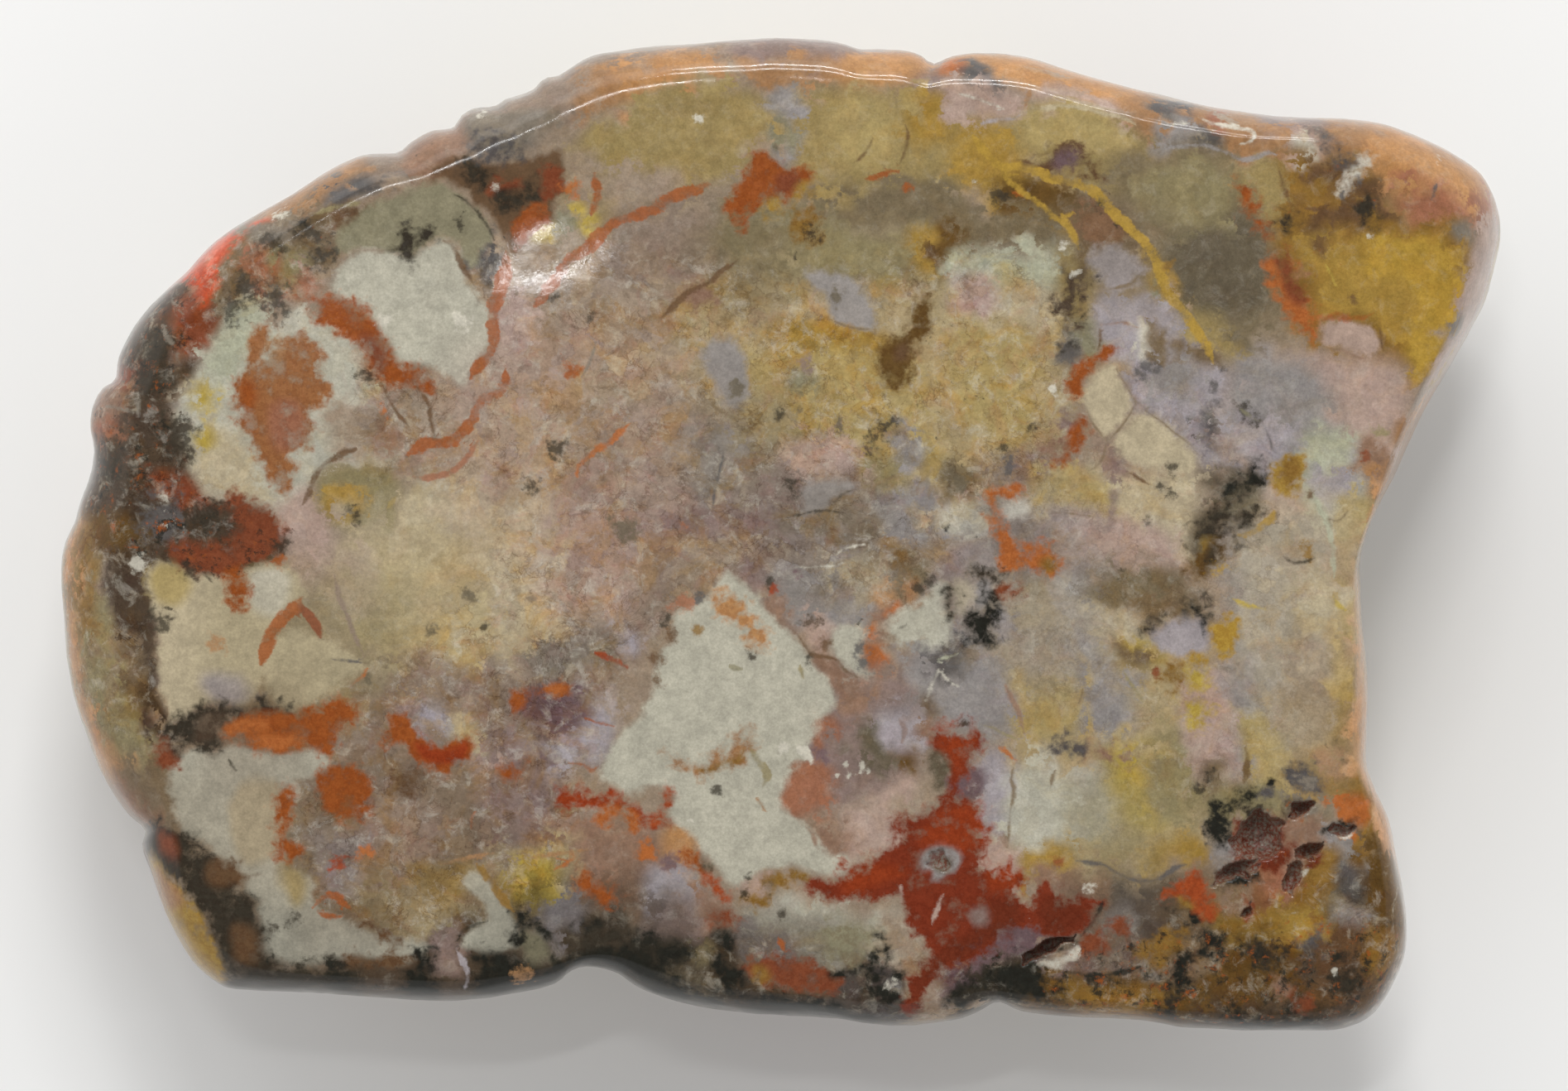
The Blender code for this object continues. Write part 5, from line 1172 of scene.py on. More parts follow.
# Veins, with painted highlights among them: the double line along the top rim and a pale line on the
# upper-left rim; colour, half width and points, in pixels
VEINS_AND_HIGHLIGHTS = (
    # the west end: the dark rim, the ring with the leaf, the cream block and the foot
    # partly a painted highlight: a pale line along the upper-left rim
    ("khaki", 3, ((371, 262), (400, 250), (425, 247), (440, 243))),
    ("ash", 3.3, ((193, 388), (197, 402), (203, 415), (210, 426))),
    ("ash", 3, ((120, 493), (143, 492), (158, 498), (172, 504))),
    ("ash", 2.4, ((200, 352), (212, 368), (221, 380))),
    ("ash", 2.1, ((212, 428), (216, 436), (221, 443))),
    ("umber", 4.5, ((364, 612), (375, 592), (380, 575), (393, 560), (408, 552), (434, 540))),
    ("rust", 6.8, ((368, 716), (358, 734), (344, 744), (332, 762), (320, 790), (314, 806))),
    ("brick", 6, ((358, 722), (368, 738), (380, 755), (386, 775))),
    ("bog", 1.6, ((243, 688), (250, 697), (256, 706))),
    ("bog", 1.8, ((278, 918), (284, 926), (291, 933))),
    ("bog", 1.8, ((196, 735), (205, 736), (212, 740))),
    ("rust", 5.2, ((374, 1102), (388, 1088), (404, 1083), (418, 1094), (430, 1104))),
    ("rust", 4.5, ((380, 1104), (398, 1110), (418, 1110))),
    ("taupe", 3.3, ((404, 690), (418, 735), (432, 775), (440, 795))),
    ("slate", 2, ((396, 797), (415, 799), (440, 801))),
    # west of the middle: the scalloped rim, the brown block, the upper island, the cream field
    ("umber", 3.5, ((532, 290), (545, 300), (554, 318), (566, 336), (576, 350))),
    ("bog", 2.5, ((546, 237), (562, 243), (578, 258), (590, 276), (596, 292))),
    ("rust", 7.5, ((612, 300), (611, 322), (606, 340), (600, 356), (594, 372), (593, 390), (594, 412),
                   (588, 430), (576, 446), (566, 462))),
    ("rust", 5.1, ((717, 203), (718, 222), (721, 238), (716, 255), (709, 264))),
    ("rust", 7.5, ((864, 220), (848, 226), (830, 235), (800, 247), (778, 257), (758, 263), (742, 268),
                   (730, 280), (716, 296), (700, 308), (684, 322), (672, 338), (660, 355), (642, 376))),
    ("umber", 2.5, ((455, 458), (468, 478), (482, 502), (500, 520))),
    ("umber", 2.8, ((502, 466), (516, 486), (522, 506), (525, 530))),
    ("rust", 6.9, ((612, 446), (613, 468), (600, 480), (580, 486), (572, 500), (562, 514), (546, 530),
                   (530, 535), (514, 536), (500, 545), (489, 552))),
    ("terracotta", 3.9, ((579, 526), (570, 540), (560, 557), (546, 567), (530, 574), (512, 578),
                         (494, 575))),
    ("orange", 4.2, ((763, 510), (750, 521), (738, 534), (724, 543), (710, 553), (700, 565), (699, 580))),
    ("ash", 1.8, ((724, 408), (712, 432), (700, 456))),
    ("red", 3.9, ((713, 787), (730, 795), (745, 800), (760, 809))),
    ("rust", 2.1, ((704, 865), (725, 872), (746, 879))),
    ("rust", 2.7, ((682, 921), (700, 925), (714, 932), (723, 924))),
    ("plum", 3.9, ((648, 898), (658, 913), (674, 924))),
    ("ochre", 5.1, ((576, 1042), (592, 1060), (606, 1080), (622, 1102))),
    ("tan", 2.7, ((528, 1046), (560, 1035), (600, 1032))),
    ("tan", 2.7, ((636, 1036), (680, 1032), (718, 1027))),
    ("orange", 2.7, ((666, 1054), (684, 1043), (702, 1034))),
    ("lilac", 3.9, ((553, 1146), (561, 1162), (566, 1180), (558, 1198))),
    ("black", 2.6, ((553, 1140), (560, 1126), (574, 1120), (592, 1113))),
    ("olive", 3.3, ((476, 598), (470, 610), (464, 618))),
    ("rust", 2.4, ((575, 980), (570, 990), (568, 1002))),
    ("orange", 3.3, ((445, 806), (434, 818), (420, 830))),
    # the middle: the olive top, the mustard and lilac centre, the great pale island
    ("umber", 3.4, ((892, 309), (882, 320), (870, 326), (862, 336), (850, 345), (836, 350), (826, 357),
                    (819, 366), (810, 375), (799, 383))),
    ("umber", 2.6, ((1092, 148), (1098, 168), (1092, 190), (1084, 202))),
    ("umber", 2, ((1056, 164), (1050, 180), (1040, 192), (1029, 201))),
    ("rust", 3.9, ((1040, 220), (1058, 212), (1078, 204), (1092, 203))),
    ("bog", 1.6, ((965, 300), (961, 308), (962, 317))),
    ("drab", 1.1, ((962, 330), (965, 345), (976, 351), (988, 352))),
    ("drab", 1.3, ((1000, 384), (1020, 393), (1045, 399), (1057, 396))),
    ("drab", 1.6, ((845, 480), (860, 490), (875, 500), (892, 506), (908, 508))),
    ("slate", 1.8, ((876, 540), (873, 556), (870, 576), (866, 595), (862, 616))),
    ("bog", 2.2, ((1035, 592), (1022, 598), (1012, 605), (1004, 613))),
    ("bog", 1.4, ((947, 626), (960, 621), (976, 618), (1000, 620), (1032, 625))),
    ("sage", 3, ((876, 801), (886, 804), (898, 806))),
    ("khaki", 2.7, ((967, 803), (968, 811), (971, 822))),
    ("khaki", 5.7, ((902, 896), (908, 908), (918, 920), (928, 931), (926, 942), (920, 953))),
    ("umber", 2.4, ((962, 764), (972, 780), (984, 793), (1000, 796), (1014, 799), (1025, 811),
                    (1042, 820))),
    ("bog", 2.2, ((1044, 743), (1040, 750), (1035, 756))),
    ("chalk", 1.5, ((957, 691), (970, 687), (986, 685), (1005, 684), (1022, 679))),
    ("chalk", 1.5, ((1010, 671), (1022, 663), (1036, 658), (1052, 656))),
    ("bog", 1.6, ((1082, 762), (1090, 759), (1096, 756))),
    ("chalk", 1.8, ((1114, 852), (1122, 834), (1130, 816), (1136, 806), (1144, 818), (1160, 830))),
    ("pale_green", 2.1, ((1130, 796), (1144, 790), (1160, 786))),
    ("rust", 3, ((939, 1128), (945, 1140), (951, 1152))),
    ("tan", 2.7, ((911, 962), (918, 972), (924, 984))),
    ("clay", 3.3, ((968, 996), (978, 1004), (984, 1020), (990, 1030))),
    ("chalk", 1.8, ((828, 994), (834, 991), (841, 997))),
    ("mauve", 3.8, ((1086, 865), (1094, 880), (1090, 900))),
    # the upper east: the gold arc, the lilac field and the rust veins
    ("gold", 6.3, ((1172, 158), (1182, 172), (1194, 186), (1205, 198), (1225, 200), (1246, 205),
                   (1265, 212), (1286, 217), (1306, 222), (1322, 231), (1334, 242), (1346, 254),
                   (1356, 266), (1366, 276), (1378, 290), (1388, 303), (1397, 316), (1404, 332),
                   (1412, 350), (1424, 365), (1438, 384), (1450, 404), (1462, 430), (1468, 444))),
    ("gold", 3.9, ((1204, 200), (1216, 215), (1234, 230), (1250, 245), (1264, 256), (1276, 265),
                   (1290, 276), (1300, 290), (1306, 304))),
    ("gold", 3, ((1302, 254), (1290, 262), (1278, 264))),
    ("umber", 2.6, ((1212, 194), (1226, 193), (1242, 195), (1256, 197))),
    ("umber", 2.6, ((1331, 392), (1331, 410), (1326, 428))),
    ("drab", 1.6, ((1312, 488), (1320, 506), (1330, 520), (1338, 532), (1348, 526), (1358, 512),
                   (1370, 494), (1374, 482))),
    ("drab", 1.6, ((1338, 534), (1336, 548), (1326, 562), (1312, 570))),
    ("drab", 1.4, ((1348, 444), (1358, 458), (1366, 470), (1374, 482), (1386, 496), (1400, 509),
                   (1414, 524), (1432, 534), (1450, 546))),
    ("drab", 1.8, ((1336, 352), (1350, 349), (1364, 345), (1376, 334), (1386, 326))),
    ("clay", 2.4, ((1328, 390), (1345, 392), (1360, 390), (1376, 397))),
    ("black", 2.2, ((1305, 386), (1311, 380), (1319, 373))),
    ("drab", 1.3, ((1262, 621), (1280, 620), (1300, 621), (1322, 626))),
    ("umber", 2, ((1362, 570), (1378, 577), (1392, 584))),
    ("ochre", 5.1, ((1404, 330), (1414, 318), (1424, 311))),
    ("mist", 2.7, ((1389, 166), (1402, 175), (1420, 176), (1436, 177), (1456, 175), (1469, 180),
                   (1485, 188), (1503, 193), (1520, 188), (1533, 184), (1545, 190))),
    ("chalk", 2.7, ((1447, 141), (1462, 146), (1480, 149), (1500, 152), (1514, 160), (1508, 170),
                    (1494, 173))),
    ("chalk", 2.1, ((1408, 152), (1424, 149), (1440, 148))),
    # the pink and cream lines below are painted highlights: the double line of the tube lamps on the top
    # rim, over some pale colour of the rim
    ("pink", 3.3, ((1248, 112), (1268, 112), (1300, 116), (1325, 121), (1345, 128), (1360, 137))),
    ("cream", 3, ((1232, 139), (1245, 132), (1262, 130), (1284, 129), (1310, 132), (1335, 136),
                    (1360, 144), (1376, 153))),
    ("chalk", 1.8, ((1150, 114), (1168, 118), (1186, 122), (1204, 128), (1216, 132))),
    ("lilac", 2.4, ((1180, 150), (1205, 145), (1226, 143), (1236, 136))),
    ("tan", 4.5, ((1243, 104), (1240, 118), (1236, 132))),
    ("chalk", 1.4, ((1354, 387), (1366, 391), (1376, 396))),
    ("mist", 2.1, ((1368, 482), (1384, 486), (1400, 482), (1416, 474))),
    ("mist", 2.1, ((1384, 490), (1392, 474), (1396, 458))),
    # the lower east: the cream block, the red band, the pits and the dark foot
    ("drab", 1.4, ((1311, 828), (1309, 840), (1304, 852))),
    ("khaki", 2.2, ((1356, 806), (1364, 820), (1374, 835), (1384, 853))),
    ("khaki", 2.1, ((1184, 875), (1200, 880), (1216, 886), (1236, 894))),
    ("clay", 2.7, ((1216, 822), (1226, 846), (1236, 866), (1243, 890))),
    ("orange", 3.3, ((1202, 900), (1214, 905), (1224, 912), (1234, 918))),
    ("drab", 2, ((1228, 922), (1224, 942), (1226, 960), (1222, 985), (1219, 1010), (1221, 1028))),
    ("drab", 2.4, ((1276, 924), (1270, 940), (1266, 956))),
    ("slate", 3, ((1300, 1040), (1318, 1042), (1334, 1047), (1350, 1055), (1366, 1061), (1382, 1063),
                    (1396, 1060), (1410, 1051), (1424, 1045), (1436, 1043))),
    ("black", 3.6, ((1334, 1086), (1330, 1098), (1324, 1110), (1316, 1120), (1304, 1131))),
    ("black", 2.6, ((1278, 1171), (1298, 1172), (1320, 1176), (1345, 1176), (1362, 1174), (1378, 1166))),
    ("bronze", 5.1, ((1502, 900), (1508, 915), (1507, 932), (1503, 950))),
    ("clay", 4.5, ((1206, 1010), (1214, 1014), (1218, 1026))),
    ("pink", 3, ((1143, 1076), (1136, 1090), (1131, 1104), (1127, 1116))),
    ("pink", 2.7, ((1091, 1068), (1091, 1082), (1089, 1096))),
    ("pale_green", 3.9, ((1588, 596), (1596, 616), (1603, 634), (1608, 655), (1611, 680), (1612, 700))),
    ("drab", 1.2, ((1601, 624), (1614, 632), (1625, 626), (1634, 614))),
    ("mustard", 5.4, ((1490, 646), (1508, 646), (1524, 639), (1536, 629), (1542, 616))),
    ("bog", 2, ((1548, 671), (1562, 679), (1578, 679), (1589, 676))),
    ("slate", 1.5, ((1526, 512), (1530, 528), (1536, 544), (1548, 552))),
    ("lemon", 2.4, ((1484, 721), (1496, 726), (1508, 730), (1520, 733), (1534, 735))),
    ("lemon", 3, ((1612, 716), (1618, 730), (1628, 738))),
    ("rust", 5.1, ((1592, 388), (1610, 384), (1632, 385), (1650, 384), (1664, 378))),
    ("umber", 3, ((1666, 396), (1669, 412), (1672, 428))),
    ("clay", 2.7, ((1604, 422), (1624, 423), (1642, 432), (1656, 434))),
    ("umber", 2.4, ((1576, 249), (1592, 252), (1612, 256))),
    ("umber", 3.4, ((1546, 200), (1551, 216), (1556, 232), (1563, 246))),
    ("slate", 3, ((1738, 219), (1733, 229), (1728, 239))),
    ("slate", 3, ((1624, 226), (1620, 236), (1627, 244))),
    ("brick", 3.6, ((1640, 560), (1654, 552), (1640, 546))),
    ("lemon", 3.3, ((1602, 318), (1612, 336), (1618, 352))),
    ("umber", 2, ((1752, 410), (1758, 398), (1764, 384), (1770, 372))),
    ("sage", 3.6, ((1496, 494), (1508, 500), (1524, 507))),
)
DARK_SPECKS = (
    (0.55, 12, ((225, 330), (240, 400), (215, 470), (230, 560), (300, 610), (345, 660), (330, 690),
                (190, 690), (110, 640), (60, 640), (60, 560), (100, 440), (170, 340))),
    (0.5, 10, ((280, 330), (330, 285), (400, 250), (405, 320), (350, 370), (320, 392), (275, 385))),
    (0.4, 8, ((135, 690), (190, 690), (205, 860), (200, 1010), (150, 1000), (175, 860))),
    (0.4, 10, ((440, 185), (600, 130), (760, 60), (900, 50), (900, 80), (760, 100), (640, 175),
               (520, 205), (440, 205))),
    (0.42, 20, ((1130, 330), (1300, 330), (1320, 420), (1290, 560), (1220, 600), (1130, 600))),
    (0.5, 12, ((1290, 320), (1320, 300), (1330, 390), (1290, 400))),
    (0.6, 14, ((1250, 1185), (1480, 1120), (1600, 1130), (1700, 1110), (1710, 1250), (1240, 1250))),
    (0.5, 12, ((270, 1170), (500, 1160), (700, 1150), (860, 1150), (1000, 1210), (1240, 1170),
               (1240, 1250), (270, 1250))),
    (0.45, 12, ((1140, 640), (1210, 650), (1220, 780), (1130, 790))),
    (0.4, 14, ((1440, 560), (1540, 560), (1520, 700), (1440, 700))),
    (0.4, 14, ((1340, 570), (1450, 570), (1450, 655), (1340, 650))),
    (0.4, 10, ((1520, 1120), (1600, 1120), (1600, 1200), (1520, 1200))),
    (0.45, 8, ((520, 200), (680, 185), (670, 280), (600, 290), (560, 240))),
    (0.36, 16, ((1140, 200), (1320, 200), (1320, 300), (1140, 300))),
)
RUST_SPECKS = (
    (0.5, 12, ((240, 400), (215, 470), (230, 560), (300, 610), (345, 660), (330, 690), (190, 690),
               (90, 640), (60, 560), (100, 440), (170, 340))),
    (0.45, 10, ((290, 300), (400, 260), (400, 330), (300, 380))),
    (0.5, 14, ((1250, 1180), (1480, 1110), (1700, 1100), (1710, 1250), (1240, 1250))),
    (0.4, 10, ((1140, 60), (1400, 100), (1540, 140), (1500, 180), (1380, 140), (1150, 100))),
    (0.4, 10, ((1560, 200), (1700, 190), (1700, 290), (1560, 330))),
    (0.4, 12, ((440, 380), (520, 440), (520, 560), (440, 560), (420, 460))),
    (0.36, 14, ((880, 880), (1100, 860), (1080, 960), (940, 980))),
    (0.5, 10, ((1500, 980), (1600, 980), (1600, 1080), (1500, 1090))),
)
PALE_SPECKS = (
    (0.42, 10, ((140, 590), (215, 590), (215, 690), (150, 700))),
    # thick pale specks in the main hollow: partly painted glints off its crystals
    (0.4, 10, ((1500, 985), (1560, 985), (1560, 1050), (1500, 1050))),
    (0.34, 12, ((1090, 1060), (1260, 1080), (1250, 1150), (1090, 1120))),
    (0.36, 12, ((1000, 905), (1060, 905), (1060, 940), (1000, 940))),
    (0.36, 8, ((180, 900), (230, 930), (250, 1010), (190, 1000))),
)
BUSY = (
    (1.0, 40, ((470, 330), (700, 300), (980, 330), (1250, 320), (1320, 420), (1250, 600), (1150, 640),
               (1180, 800), (1100, 760), (900, 700), (740, 820), (700, 1000), (600, 1130),
               (350, 1100), (330, 860), (440, 820), (600, 620), (440, 560))),
    (0.45, 40, ((1280, 420), (1570, 580), (1600, 800), (1500, 960), (1240, 900), (1170, 640))),
    (0.8, 30, ((60, 560), (110, 420), (210, 330), (330, 270), (420, 250), (400, 330), (260, 400),
               (230, 560), (330, 640), (330, 700), (190, 700), (200, 900), (130, 900))),
    (0.7, 24, ((830, 1150), (1000, 1130), (1240, 1150), (1700, 1080), (1710, 1260), (830, 1260))),
)
TONES = (
    ("pink", 50, ((560, 430), (830, 450), (820, 620), (700, 760), (560, 640))),
    ("cream", 40, ((420, 640), (640, 620), (650, 760), (440, 780))),
    ("smoky", 34, ((850, 250), (940, 250), (960, 330), (900, 370), (840, 330))),
    ("smoky", 34, ((1290, 250), (1410, 250), (1400, 350), (1300, 340))),
    ("ash", 36, ((930, 590), (1060, 590), (1080, 700), (960, 720))),
    ("ash", 30, ((835, 480), (945, 490), (945, 590), (840, 590))),
    ("fawn", 36, ((700, 470), (820, 470), (820, 600), (710, 600))),
    ("cream", 36, ((1530, 600), (1620, 600), (1610, 830), (1530, 830))),
    ("warm_cream", 36, ((1530, 840), (1620, 840), (1620, 940), (1540, 930))),
    ("mist", 36, ((1180, 600), (1290, 600), (1290, 830), (1190, 830))),
    ("khaki", 36, ((1300, 950), (1400, 960), (1400, 1050), (1310, 1060))),
    ("bronze", 30, ((1400, 1060), (1530, 1060), (1540, 1150), (1400, 1160))),
    # the peat, bog, peat and bog tones below darken the face towards the bottom edge, partly as painted
    # shade
    ("peat", 30, ((1290, 1080), (1410, 1080), (1400, 1170), (1300, 1170))),
    ("bog", 26, ((250, 1080), (370, 1110), (370, 1190), (250, 1190))),
    ("peat", 26, ((370, 1110), (490, 1120), (480, 1190), (370, 1190))),
    ("bog", 24, ((560, 1110), (830, 1100), (830, 1180), (600, 1190))),
    ("drab", 40, ((130, 940), (250, 930), (360, 960), (370, 1070), (250, 1080), (180, 1040))),
    ("drab", 40, ((370, 950), (600, 960), (600, 1060), (490, 1120), (370, 1110))),
    ("khaki", 40, ((250, 720), (480, 720), (480, 830), (260, 830))),
    ("umber", 36, ((250, 845), (370, 845), (370, 930), (250, 930))),
    # darkens the face towards the bottom edge, partly as painted shade
    ("peat", 26, ((840, 1130), (1060, 1150), (1060, 1220), (850, 1210))),
)


def smooth_step(value):
    """0 below 0, 1 above 1, and a smooth rise between."""
    t = np.clip(value, 0.0, 1.0)
    return t * t * (3.0 - 2.0 * t)


def curve_through(points, spacing, closed=True):
    """A smooth line through the points, with a sample about every spacing."""
    corners = np.array(points, float)
    if not closed:
        ends = (2.0 * corners[:1] - corners[1:2], 2.0 * corners[-1:] - corners[-2:-1])
        corners = np.concatenate((ends[0], corners, ends[1]))
    ahead = np.roll(corners, -1, axis=0) - corners
    chord = np.linalg.norm(ahead, axis=1, keepdims=True)
    behind = np.roll(ahead, 1, axis=0)
    chord_behind = np.roll(chord, 1, axis=0)
    slope = (ahead / chord * chord_behind + behind / chord_behind * chord) / (chord + chord_behind)
    samples = []
    for i in range(len(corners)) if closed else range(1, len(corners) - 2):
        j = (i + 1) % len(corners)
        reach = chord[i, 0]
        for t in np.linspace(0.0, 1.0, max(2, round(reach / spacing)), endpoint=False):
            rise = t * t * (3.0 - 2.0 * t)
            bend = (t * (1.0 - t) ** 2 * slope[i] - t * t * (1.0 - t) * slope[j]) * reach
            samples.append(corners[i] * (1.0 - rise) + corners[j] * rise + bend)
    if not closed:
        samples.append(corners[-2])
    return np.array(samples)


def softened(line, reach):
    """The closed line evened out over the reach, so that its notches are gone."""
    spacing = np.linalg.norm(line - np.roll(line, 1, axis=0), axis=1).mean()
    half = int(3.0 * reach / spacing)
    weights = np.exp(-0.5 * (np.arange(-half, half + 1) * spacing / reach) ** 2)
    weights /= weights.sum()
    return sum(w * np.roll(line, k, axis=0) for w, k in zip(weights, range(-half, half + 1)))


def ray_indices(line):
    """Which samples of the fine outline carry a column of the mesh."""
    walked = np.cumsum(np.linalg.norm(np.roll(line, -1, axis=0) - line, axis=1))
    count = round(walked[-1] / RAY_STEP)
    return np.searchsorted(walked, (np.arange(count) + 0.5) * walked[-1] / count)


def shoulder_at(bearing):
    """Width, exponent and lowest height of the shoulder at each bearing, in degrees."""
    marks = np.array(SHOULDER).T
    return [np.interp(bearing, marks[0], values, period=360.0) for values in marks[1:]]


def face_height(x, y):
    """Height of the polished face."""
    height = THICKNESS - CROWN * ((x / HALF_LENGTH) ** 2 + (y / HALF_WIDTH) ** 2)
    for centre_x, centre_y, reach, rise in SWELLS:
        distance = np.hypot(x - centre_x, y - centre_y) / reach
        height = height + rise * np.exp(-distance * distance)
    return height


def crease_depth(x, y):
    """How deep the creases of the back are below a place."""
    depth = 0.0
    for start, end, half_width, deepest in CREASES:
        run = np.subtract(end, start)
        along = np.dot((x - start[0], y - start[1]), run) / np.dot(run, run)
        foot = np.add(start, run * min(max(along, 0.0), 1.0))
        distance = math.hypot(x - foot[0], y - foot[1]) / half_width
        fade = 1.0 - smooth_step(along)
        depth = max(depth, deepest * fade * math.exp(-distance * distance))
    return depth


def lump(x, y, z):
    """Height of the back's natural lumps at a point."""
    place = Vector((x, y, z)) / LUMP_SIZE
    return LUMP_HEIGHT * (noise.noise(place) + FINE_LUMPS * noise.noise(place * FINE_LUMP_RATE))


def wear(point):
    """Height of the small bumps that tumbling left at a point."""
    return sum(height * noise.noise(Vector(point) / size) for size, height in WEAR)


def shoulder_row(rim, edge, exponent, girth, share):
    """A row of points between the rim of the face and the widest level."""
    turn = share * math.pi / 2.0
    out = np.sin(turn) ** (2.0 / exponent)
    up = np.cos(turn) ** (2.0 / exponent) if share < 1.0 else np.zeros_like(exponent)
    place = rim + (edge - rim) * out[:, None]
    top = face_height(*rim.T)
    row = np.column_stack((place, girth + (top - girth) * up))
    outward = (edge - rim) / np.linalg.norm(edge - rim, axis=1)[:, None]
    rub = smooth_step(4.0 * share) * np.array([wear(point) for point in row])
    row[:, :2] += outward * (rub * (share < 1.0))[:, None]
    return row


def back_row(edge, soft_edge, girth, share):
    """A row of points between the widest level and the resting spot."""
    turn = share * math.pi / 2.0
    inward = math.cos(turn) ** (2.0 / BELLY) if share < 1.0 else 0.0
    down = math.sin(turn) ** (2.0 / BELLY)
    notch = 1.0 - smooth_step(share / NOTCH_DEPTH)
    outline = soft_edge + (edge - soft_edge) * notch
    spot = np.array(SPOT_CENTRE) + soft_edge * SPOT_SHARE
    row = np.column_stack((spot + (outline - spot) * inward, girth * (1.0 - down)))
    bulge = math.sin(math.pi * share)
    for point, drop in zip(row, girth * down):
        rise = (lump(*point) - crease_depth(point[0], point[1])) * bulge
        rise += wear(point) * smooth_step(4.0 * bulge)
        outward = Vector((point[0], point[1], -UNDERSIDE_PULL * drop)).normalized()
        point += np.array(outward) * rise
        point[2] = max(point[2], 0.0)
    return row


def vug_place(x, y, vug):
    """Ragged distance of each place from a vug's middle, 1 at its wall."""
    centre_x, centre_y, half_length, half_width, bearing, _ = vug
    turn = math.radians(bearing)
    along = ((x - centre_x) * math.cos(turn) + (y - centre_y) * math.sin(turn)) / half_length
    across = ((y - centre_y) * math.cos(turn) - (x - centre_x) * math.sin(turn)) / half_width
    stray = [noise.noise(Vector((a * VUG_GRAIN + centre_x, b * VUG_GRAIN, centre_y)))
             for a, b in zip(along, across)]
    return np.hypot(along, across) * (1.0 - VUG_RAGGED * np.array(stray))


def vug_depth(x, y):
    """How far the face is sunk by its open vugs at each place."""
    depth = np.zeros_like(x)
    for size, reach in VUG_STRAY:
        strays = np.array([noise.noise_vector(Vector((a, b, 0.0)) / size) for a, b in zip(x, y)])
        x, y = x + reach * strays[:, 0], y + reach * strays[:, 1]
    for vug in VUGS:
        near = np.hypot(x - vug[0], y - vug[1]) < 1.6 * vug[2]
        inside = np.clip(1.0 - vug_place(x[near], y[near], vug) ** 2, 0.0, 1.0)
        floor = [noise.noise(Vector((a, b, vug[5])) * VUG_FLOOR_GRAIN) for a, b in zip(x[near], y[near])]
        sunk = vug[5] * np.sqrt(inside) * (1.0 + VUG_FLOOR * np.array(floor))
        depth[near] = np.maximum(depth[near], sunk)
    return depth


def rows_of_points(low, high, spacing):
    """Evenly spaced places in a box, in staggered rows."""
    places = []
    for row, y in enumerate(np.arange(low[1], high[1], spacing * math.sqrt(0.75))):
        start = low[0] + 0.5 * spacing * (row % 2)
        places += [(x, y) for x in np.arange(start, high[0], spacing)]
    return np.array(places)


def inside_rim(places, rim, gap):
    """Which places lie inside the face's rim by more than the gap."""
    bearing = np.arctan2(rim[:, 1], rim[:, 0])
    reach = np.interp(np.arctan2(places[:, 1], places[:, 0]), *np.array(sorted(zip(
        bearing, np.linalg.norm(rim, axis=1)))).T, period=math.tau)
    return np.linalg.norm(places, axis=1) < reach - gap


def fine_spots():
    """Middle and reach of each vug and small mark of the face, in millimetres."""
    spots = [(vug[0], vug[1], vug[2] + 0.4) for vug in VUGS]
    scale = PIXEL * (CAMERA_DISTANCE - THICKNESS + WIDEST_LEVEL) / CAMERA_DISTANCE
    for _, _, points in MARKS:
        corners = np.array(points, float)
        middle = corners.mean(axis=0)
        reach = np.linalg.norm(corners - middle, axis=1).max() + MARK_MARGIN
        x = CAMERA_X + (middle[0] - PICTURE_MIDDLE[0]) * scale
        y = CAMERA_Y - (middle[1] - PICTURE_MIDDLE[1]) * scale
        spots.append((x, y, reach * scale))
    return spots


def near_spots(places, spots):
    """Which places lie in or beside one of the spots."""
    close = np.zeros(len(places), bool)
    for x, y, reach in spots:
        close |= np.hypot(places[:, 0] - x, places[:, 1] - y) < reach
    return close


def face_places(rim):
    """The rim's own places, then those of the face inside it, closer together near small things."""
    low, high = rim.min(axis=0), rim.max(axis=0)
    spots = fine_spots()
    coarse = rows_of_points(low, high, GRAIN)
    fine = rows_of_points(low, high, VUG_MESH)
    coarse = coarse[~near_spots(coarse, spots)]
    fine = fine[near_spots(fine, spots)]
    inner = np.concatenate((coarse, fine))
    return np.concatenate((rim, inner[inside_rim(inner, rim, RIM_GAP)]))


